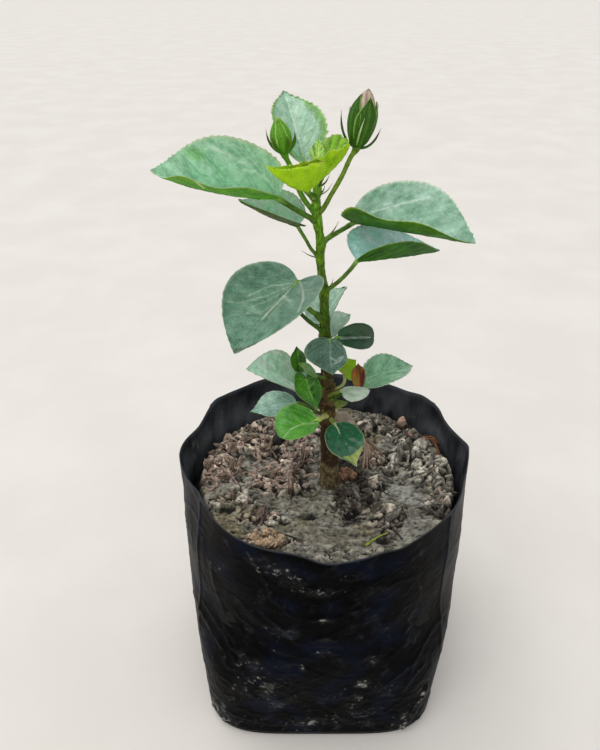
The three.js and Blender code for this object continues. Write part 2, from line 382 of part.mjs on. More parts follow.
// ---- solid union and clean-up ----
const wasm = await Module();
wasm.setup();
function toSolid(g) {
  let m = g.clone();
  m.deleteAttribute('normal');
  m.deleteAttribute('uv');
  m = mergeVertices(m, 1e-5);
  const mesh = new wasm.Mesh({ numProp: 3, vertProperties: new Float32Array(m.attributes.position.array), triVerts: new Uint32Array(m.index.array) });
  let solid = new wasm.Manifold(mesh);
  if (solid.volume() < 0) {
    const idx = Array.from(m.index.array);
    for (let i = 0; i < idx.length; i += 3) [idx[i + 1], idx[i + 2]] = [idx[i + 2], idx[i + 1]];
    solid = new wasm.Manifold(new wasm.Mesh({ numProp: 3, vertProperties: new Float32Array(m.attributes.position.array), triVerts: new Uint32Array(idx) }));
  }
  return solid;
}
function fromSolid(solid) {
  const mesh = solid.getMesh();
  const g = new THREE.BufferGeometry();
  g.setAttribute('position', new THREE.BufferAttribute(new Float32Array(mesh.vertProperties), 3));
  g.setIndex(Array.from(mesh.triVerts));
  return g;
}
// keep the largest piece only, so that a node is one body
function largest(solid) {
  const parts = solid.decompose();
  let best = parts[0];
  for (const q of parts) if (q.volume() > best.volume()) best = q;
  return best;
}

const stemBody = toSolid(stemTube(0));
const stemClear = toSolid(stemTube(0.32));

function leafBody(s) {
  const { geometry, frame } = bladeSolid(s);
  const inward = frame.t.clone().multiplyScalar(Math.min(3, frame.L * 0.15)).addScaledVector(frame.n, -0.2);
  const end = frame.B.clone().addScaledVector(frame.n, -BLADE * 0.6);
  return largest(toSolid(geometry).add(toSolid(stalkTube(s, end, inward))).subtract(stemClear));
}

function budBody(s) {
  const foot = V(s.foot), w = V(s.tip).sub(foot), L = w.length();
  w.divideScalar(L);
  const u = new THREE.Vector3(1, 0, 0).addScaledVector(w, -w.x).normalize();
  const v = new THREE.Vector3().crossVectors(w, u);
  const sides = 8;
  const rings = s.girth.map(([h, r]) => {
    const ring = [];
    for (let k = 0; k < sides; k++) {
      const a = 2 * Math.PI * k / sides;
      ring.push(foot.clone().addScaledVector(w, h * L).addScaledVector(u, r * Math.cos(a)).addScaledVector(v, r * Math.sin(a)));
    }
    return ring;
  });
  let body = toSolid(loft(foot.clone(), rings, V(s.tip)));
  body = body.add(toSolid(stalkTube(s, foot.clone().addScaledVector(w, 0.4), w.clone().multiplyScalar(1.6))));
  for (const [turn, w1, o1, w2, o2] of s.bracts) {
    const d = u.clone().multiplyScalar(Math.cos(rad(turn))).addScaledVector(v, Math.sin(rad(turn)));
    const at = (h, o) => foot.clone().addScaledVector(w, h).addScaledVector(d, o);
    const q = new THREE.QuadraticBezierCurve3(at(0.5, 0.6), at(w1 - 2, o1 + 0.6), at(w2, o2)).getPoints(2);
    body = body.add(toSolid(tube(q, [0.8, 0.65, 0.3], 4)));
  }
  return largest(body.subtract(stemClear));
}

// ---- assembly ----
const shrub = new THREE.Group();
shrub.name = 'hibiscus_shrub';
function place(name, geometry, look) {
  const mesh = new THREE.Mesh(geometry, new THREE.MeshStandardMaterial(look));
  mesh.name = name;
  shrub.add(mesh);
}

place('nursery_bag', fromSolid(toSolid(bagSolid())), PLAIN.bag);
place('soil', fromSolid(toSolid(soilSolid())), PLAIN.soil);

let stem = stemBody;
for (const row of STIPULES) stem = stem.add(toSolid(stipule(row)));
place('stem', fromSolid(largest(stem)), PLAIN.stem);

for (const [name, spec] of Object.entries(LEAVES)) place(name, fromSolid(leafBody(spec)), PLAIN.leaf);
for (const [name, spec] of Object.entries(BUDS)) place(name, fromSolid(budBody(spec)), PLAIN.bud);

export default shrub;
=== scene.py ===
import math

import bpy
import numpy as np
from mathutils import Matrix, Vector


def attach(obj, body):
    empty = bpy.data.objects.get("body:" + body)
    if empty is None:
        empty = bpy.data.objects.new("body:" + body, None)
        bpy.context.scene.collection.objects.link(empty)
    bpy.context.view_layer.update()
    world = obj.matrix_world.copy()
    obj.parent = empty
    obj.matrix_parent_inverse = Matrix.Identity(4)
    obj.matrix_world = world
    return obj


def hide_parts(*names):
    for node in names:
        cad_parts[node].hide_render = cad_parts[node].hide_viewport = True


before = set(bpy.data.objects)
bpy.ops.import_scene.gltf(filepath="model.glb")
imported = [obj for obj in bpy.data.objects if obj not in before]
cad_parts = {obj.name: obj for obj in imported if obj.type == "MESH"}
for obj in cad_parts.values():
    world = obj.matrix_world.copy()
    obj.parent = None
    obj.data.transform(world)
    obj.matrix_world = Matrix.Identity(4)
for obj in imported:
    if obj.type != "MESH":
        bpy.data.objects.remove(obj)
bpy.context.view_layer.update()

# A young potted hibiscus in a black film nursery bag.
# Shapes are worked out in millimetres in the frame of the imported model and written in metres.

# ------------------------------------------------------------------ small helpers
def seeded(name):
    h = 17
    for ch in name:
        h = (h * 131 + ord(ch)) % 2147483647
    return np.random.default_rng(h)


def unit(v):
    v = np.asarray(v, float)
    return v / max(1e-12, float(np.linalg.norm(v)))


def smooth(a, b, x):
    t = np.clip((np.asarray(x, float) - a) / (b - a), 0, 1)
    return t * t * (3 - 2 * t)


_grad = np.random.default_rng(11).normal(size=(256, 3))
_grad /= np.linalg.norm(_grad, axis=1)[:, None]
_perm = np.random.default_rng(12).permutation(256)
_perm = np.concatenate([_perm, _perm, _perm])


def noise(p):
    """Smooth gradient noise at points p (n, 3), about -1 to 1."""
    p = np.asarray(p, float)
    i = np.floor(p).astype(int)
    f = p - i
    i &= 255
    u = f * f * f * (f * (f * 6 - 15) + 10)
    out = np.zeros(len(p))
    for dx in (0, 1):
        a = _perm[i[:, 0] + dx]
        wx = u[:, 0] if dx else 1 - u[:, 0]
        for dy in (0, 1):
            b = _perm[a + i[:, 1] + dy]
            wy = u[:, 1] if dy else 1 - u[:, 1]
            for dz in (0, 1):
                g = _grad[_perm[b + i[:, 2] + dz]]
                wz = u[:, 2] if dz else 1 - u[:, 2]
                d = (f[:, 0] - dx) * g[:, 0] + (f[:, 1] - dy) * g[:, 1] + (f[:, 2] - dz) * g[:, 2]
                out += wx * wy * wz * d
    return out * 1.7


def fbm(p, octaves=4, gain=0.5, lac=2.03):
    p = np.asarray(p, float)
    out, amp, tot = np.zeros(len(p)), 1.0, 0.0
    for k in range(octaves):
        out += amp * noise(p + 13.7 * k)
        tot += amp
        amp *= gain
        p = p * lac
    return out / tot


def cells(p, seed=0, jitter=0.9):
    """Cellular noise in the plane: distances to the nearest and second nearest feature point, and the cell's own number."""
    q = np.asarray(p, float)[:, :2]
    i = np.floor(q).astype(int)
    best = np.full(len(q), 9.0)
    second = np.full(len(q), 9.0)
    who = np.zeros(len(q))
    for dx in (-1, 0, 1):
        for dy in (-1, 0, 1):
            cx, cy = i[:, 0] + dx, i[:, 1] + dy
            h = _perm[(_perm[(cx + seed * 7) & 255] + cy) & 255]
            h2 = _perm[(h + 71) & 255]
            h3 = _perm[(h2 + 133) & 255]
            fx = cx + 0.5 + jitter * (h / 255.0 - 0.5)
            fy = cy + 0.5 + jitter * (h2 / 255.0 - 0.5)
            d = np.hypot(q[:, 0] - fx, q[:, 1] - fy)
            near = d < best
            second = np.where(near, best, np.minimum(second, d))
            who = np.where(near, h3 / 255.0, who)
            best = np.where(near, d, best)
    return best, second, who


def build(name, verts, quads=None, tris=None, mats=(), mat_ids=None, attrs=None, uv=None, flat=False):
    """A mesh object from arrays: verts in mm, quads and tris as vertex numbers, attrs as one number a vertex."""
    verts = np.asarray(verts, float)
    quads = np.zeros((0, 4), int) if quads is None else np.asarray(quads, int).reshape(-1, 4)
    tris = np.zeros((0, 3), int) if tris is None else np.asarray(tris, int).reshape(-1, 3)
    loops = np.concatenate([quads.ravel(), tris.ravel()]).astype(np.int32)
    starts = np.concatenate([np.arange(len(quads)) * 4, len(quads) * 4 + np.arange(len(tris)) * 3]).astype(np.int32)
    me = bpy.data.meshes.new(name)
    me.vertices.add(len(verts))
    me.vertices.foreach_set("co", (verts * 0.001).astype(np.float32).ravel())
    me.loops.add(len(loops))
    me.loops.foreach_set("vertex_index", loops)
    me.polygons.add(len(starts))
    me.polygons.foreach_set("loop_start", starts)
    if mat_ids is not None:
        me.polygons.foreach_set("material_index", np.asarray(mat_ids, np.int32))
    me.polygons.foreach_set("use_smooth", np.full(len(starts), not flat))
    me.update(calc_edges=True)
    for key, val in (attrs or {}).items():
        val = np.asarray(val, np.float32)
        if val.ndim == 2:
            a = me.attributes.new(key, "FLOAT_COLOR", "POINT")
            a.data.foreach_set("color", np.hstack([val, np.ones((len(val), 1), np.float32)]).ravel())
        else:
            a = me.attributes.new(key, "FLOAT", "POINT")
            a.data.foreach_set("value", val)
    if uv is not None:
        layer = me.uv_layers.new(name="plan")
        layer.data.foreach_set("uv", np.asarray(uv, np.float32)[loops].ravel())
    for m in mats:
        me.materials.append(m)
    ob = bpy.data.objects.new(name, me)
    bpy.context.scene.collection.objects.link(ob)
    return ob


def merge(parts):
    """Joins (verts, quads, tris, attrs) tuples into one set of arrays. attrs is a dict with the same keys in each."""
    V, Q, T, A, n = [], [], [], {}, 0
    for v, q, t, a in parts:
        V.append(v)
        if q is not None and len(q):
            Q.append(np.asarray(q, int) + n)
        if t is not None and len(t):
            T.append(np.asarray(t, int) + n)
        for k, x in a.items():
            x = np.asarray(x, float)
            A.setdefault(k, []).append(np.broadcast_to(x, (len(v), 3) if x.ndim and x.shape[-1:] == (3,) and (x.ndim == 2 or len(v) != 3) else (len(v),)))
        n += len(v)
    return (np.concatenate(V), np.concatenate(Q) if Q else None, np.concatenate(T) if T else None,
            {k: np.concatenate(x) for k, x in A.items()})


def srgb(h):
    c = [int(h[i:i + 2], 16) / 255 for i in (0, 2, 4)]
    return tuple(x / 12.92 if x <= 0.04045 else ((x + 0.055) / 1.055) ** 2.4 for x in c) + (1.0,)


# ------------------------------------------------------------------ shader helpers
def put(nt, socket, value):
    if isinstance(value, bpy.types.NodeSocket):
        nt.links.new(value, socket)
    else:
        socket.default_value = value


def node(nt, kind, ins=None, **props):
    x = nt.nodes.new(kind)
    for k, v in props.items():
        setattr(x, k, v)
    for k, v in (ins or {}).items():
        put(nt, x.inputs[k], v)
    return x


def mixc(nt, f, a, b, mode="MIX"):
    x = nt.nodes.new("ShaderNodeMix")
    x.data_type = "RGBA"
    x.blend_type = mode
    put(nt, x.inputs[0], f)
    put(nt, x.inputs[6], a)
    put(nt, x.inputs[7], b)
    return x.outputs[2]


def calc(nt, op, a, b=0.0, clamp=False):
    x = nt.nodes.new("ShaderNodeMath")
    x.operation = op
    x.use_clamp = clamp
    put(nt, x.inputs[0], a)
    put(nt, x.inputs[1], b)
    return x.outputs[0]


def span(nt, v, a, b, lo=0.0, hi=1.0, kind="SMOOTHSTEP"):
    x = nt.nodes.new("ShaderNodeMapRange")
    x.interpolation_type = kind
    for k, val in zip(range(5), (v, a, b, lo, hi)):
        put(nt, x.inputs[k], val)
    return x.outputs[0]


def attr(nt, name):
    return node(nt, "ShaderNodeAttribute", attribute_name=name).outputs["Fac"]


def ntex(nt, vec, scale, detail=3.0, rough=0.55, distort=0.0):
    return node(nt, "ShaderNodeTexNoise", {"Vector": vec, "Scale": scale, "Detail": detail, "Roughness": rough, "Distortion": distort}).outputs["Fac"]


def new_mat(name):
    m = bpy.data.materials.new(name)
    m.use_nodes = True
    nt = m.node_tree
    nt.nodes.clear()
    out = nt.nodes.new("ShaderNodeOutputMaterial")
    b = nt.nodes.new("ShaderNodeBsdfPrincipled")
    nt.links.new(b.outputs[0], out.inputs[0])
    return m, nt, b


def bump(nt, b, height, strength=0.3, distance=0.0005, normal=None):
    x = node(nt, "ShaderNodeBump", {"Height": height, "Strength": strength, "Distance": distance})
    if normal is not None:
        nt.links.new(normal, x.inputs["Normal"])
    nt.links.new(x.outputs[0], b.inputs["Normal"])
    return x.outputs[0]


# ------------------------------------------------------------------ camera, floor and light
CAMERA = Vector((-0.01385, -0.320, 0.3926))
TILT = math.radians(30.7)
cam_data = bpy.data.cameras.new("camera")
cam_data.lens = 33.6
cam_data.sensor_width = 36
cam_data.clip_start = 0.01
cam = bpy.data.objects.new("camera", cam_data)
cam.location = CAMERA
cam.rotation_euler = (math.pi / 2 - TILT, 0, 0)
bpy.context.scene.collection.objects.link(cam)
bpy.context.scene.camera = cam


def lamp(name, at, to, size, watts, colour=(1, 1, 1), shape="DISK"):
    d = bpy.data.lights.new(name, "AREA")
    d.shape = shape
    d.size = size
    d.energy = watts
    d.color = colour
    o = bpy.data.objects.new(name, d)
    o.location = at
    o.rotation_euler = (Vector(to) - Vector(at)).to_track_quat("-Z", "Y").to_euler()
    bpy.context.scene.collection.objects.link(o)
    return o


def sun(name, frm, watts, spread, colour=(1, 1, 1)):
    d = bpy.data.lights.new(name, "SUN")
    d.energy = watts
    d.angle = math.radians(spread)
    d.color = colour
    o = bpy.data.objects.new(name, d)
    o.location = Vector(frm)
    o.rotation_euler = (-Vector(frm)).to_track_quat("-Z", "Y").to_euler()
    bpy.context.scene.collection.objects.link(o)
    return o


sun("sky_key", (-0.34, 0.22, 1.3), 1.10, 50, (1.0, 0.99, 0.97))
sun("front_fill", (-0.45, -1.15, 1.25), 0.90, 60, (1.0, 0.99, 0.97))
lamp("left_panel", (-1.0, -0.1, 0.7), (0, 0, 0.15), 0.7, 0.6, (0.96, 0.98, 1.0))

world = bpy.data.worlds.new("studio")
world.use_nodes = True
world.node_tree.nodes["Background"].inputs[0].default_value = (0.93, 0.96, 1.0, 1)
world.node_tree.nodes["Background"].inputs[1].default_value = 0.68
bpy.context.scene.world = world
bpy.context.scene.view_settings.view_transform = "Standard"

fm, nt, b = new_mat("floor")
co = node(nt, "ShaderNodeTexCoord").outputs["Object"]
tone = ntex(nt, co, 9.0, 4.0)
nt.links.new(mixc(nt, span(nt, tone, 0.35, 0.7), srgb("d8d2ca"), srgb("ddd7d0")), b.inputs["Base Color"])
b.inputs["Roughness"].default_value = 0.85
floor = build("floor", [[-90000, -90000, -0.6], [90000, -90000, -0.6], [90000, 90000, -0.6], [-90000, 90000, -0.6]], quads=[[0, 1, 2, 3]], mats=[fm])

# ------------------------------------------------------------------ where a point of the photograph lies
FWD, RIGHT, UP = np.array([0, math.cos(TILT), -math.sin(TILT)]), np.array([1.0, 0, 0]), np.array([0, math.sin(TILT), math.cos(TILT)])
EYE = np.array([-13.85, -320.0, 392.6])


def project(P):
    d = np.asarray(P, float) - EYE
    w = d @ FWD
    return np.stack([300 + 700 * (d @ RIGHT) / w, 375 - 700 * (d @ UP) / w], -1)


def at_height(px, py, z):
    ray = FWD + (px - 300) / 700 * RIGHT - (py - 375) / 700 * UP
    return (EYE + ray * (z - EYE[2]) / ray[2])[:2]


def lin(h):
    return np.array(srgb(h)[:3])



# ------------------------------------------------------------------ curves and tubes
def catmull(points, count):
    """count points along a centripetal Catmull-Rom curve through the given points, evenly spaced."""
    P = np.asarray(points, float)
    if len(P) == 2:
        return P[0] + (P[1] - P[0]) * np.linspace(0, 1, count)[:, None]
    P = np.vstack([2 * P[0] - P[1], P, 2 * P[-1] - P[-2]])
    dense = []
    for k in range(1, len(P) - 2):
        p0, p1, p2, p3 = P[k - 1:k + 3]
        t0 = 0.0
        t1 = t0 + max(1e-6, np.linalg.norm(p1 - p0)) ** 0.5
        t2 = t1 + max(1e-6, np.linalg.norm(p2 - p1)) ** 0.5
        t3 = t2 + max(1e-6, np.linalg.norm(p3 - p2)) ** 0.5
        t = np.linspace(t1, t2, 24, endpoint=False)[:, None]
        a1 = (t1 - t) / (t1 - t0) * p0 + (t - t0) / (t1 - t0) * p1
        a2 = (t2 - t) / (t2 - t1) * p1 + (t - t1) / (t2 - t1) * p2
        a3 = (t3 - t) / (t3 - t2) * p2 + (t - t2) / (t3 - t2) * p3
        b1 = (t2 - t) / (t2 - t0) * a1 + (t - t0) / (t2 - t0) * a2
        b2 = (t3 - t) / (t3 - t1) * a2 + (t - t1) / (t3 - t1) * a3
        dense.append((t2 - t) / (t2 - t1) * b1 + (t - t1) / (t2 - t1) * b2)
    dense = np.vstack(dense + [P[-2:-1]])
    s = np.concatenate([[0], np.cumsum(np.linalg.norm(np.diff(dense, axis=0), axis=1))])
    at = np.linspace(0, s[-1], count)
    return np.stack([np.interp(at, s, dense[:, i]) for i in range(3)], 1)


def frames(path):
    """Tangents and two cross directions that do not twist along a path."""
    path = np.asarray(path, float)
    T = np.gradient(path, axis=0)
    T /= np.linalg.norm(T, axis=1)[:, None]
    u = np.array([1.0, 0, 0]) if abs(T[0][0]) < 0.8 else np.array([0, 1.0, 0])
    U, W = [], []
    for t in T:
        u = unit(u - np.dot(u, t) * t)
        U.append(u)
        W.append(np.cross(t, u))
    return T, np.array(U), np.array(W)


def tube(path, radii, sides, relief=None, squash=1.0):
    """Closed tube: verts, quads, tris and the share of its length at each vertex. relief(theta, k) scales the radius."""
    path, radii = np.asarray(path, float), np.asarray(radii, float)
    n = len(path)
    T, U, W = frames(path)
    th = np.linspace(0, 2 * np.pi, sides, endpoint=False)
    r = radii[:, None] * np.ones(sides)
    if relief is not None:
        r = r * relief(th[None, :], np.arange(n)[:, None])
    ring = path[:, None, :] + r[:, :, None] * (np.cos(th)[None, :, None] * U[:, None, :] + squash * np.sin(th)[None, :, None] * W[:, None, :])
    V = np.vstack([ring.reshape(-1, 3), path[:1], path[-1:]])
    k, i = np.meshgrid(np.arange(n - 1), np.arange(sides), indexing="ij")
    a, bq = (k * sides + i).ravel(), (k * sides + (i + 1) % sides).ravel()
    Q = np.stack([a, bq, bq + sides, a + sides], 1)
    i = np.arange(sides)
    S, E = n * sides, n * sides + 1
    Tr = np.vstack([np.stack([np.full(sides, S), (i + 1) % sides, i], 1),
                    np.stack([np.full(sides, E), (n - 1) * sides + i, (n - 1) * sides + (i + 1) % sides], 1)])
    share = np.concatenate([np.repeat(np.linspace(0, 1, n), sides), [0, 1]])
    return V, Q, Tr, share


# ------------------------------------------------------------------ main stem
STEM = np.array([
    [3.58, 3, 126.5, 6.2], [3.5, 3, 130, 5.45], [3.2, 3, 139, 5.0], [2.4, 3, 158, 4.6], [1.76, 2.8, 171.8, 4.24],
    [0.93, 2.5, 185.2, 3.83], [0.56, 2.4, 193, 3.47], [0.35, 2.2, 200.7, 3.0], [-0.17, 2, 213.6, 2.7],
    [-0.61, 1.8, 222.7, 2.85], [-0.93, 1.6, 231.4, 2.6], [-1.4, 1.4, 240, 2.33], [-1.73, 1.2, 246.7, 2.3],
    [-1.75, 1.1, 250.6, 2.6], [-3.0, 1, 257, 2.02], [-3.7, 0.8, 264, 1.85], [-4.1, 0.5, 272, 2.05],
    [-4.2, 0.3, 277, 2.2], [-4.85, 0.1, 282, 1.9], [-5.47, 0, 286.3, 2.16], [-6.2, -0.2, 290.7, 2.34],
    [-6.4, -0.5, 295.6, 1.95], [-6.22, -0.8, 300.3, 1.75], [-6.0, -1, 305, 1.5], [-5.8, -1.3, 310, 1.1], [-5.64, -1.5, 313.6, 0.7],
])


def stem_at(z):
    return np.array([np.interp(z, STEM[:, 2], STEM[:, 0]), np.interp(z, STEM[:, 2], STEM[:, 1]), z]), float(np.interp(z, STEM[:, 2], STEM[:, 3]))


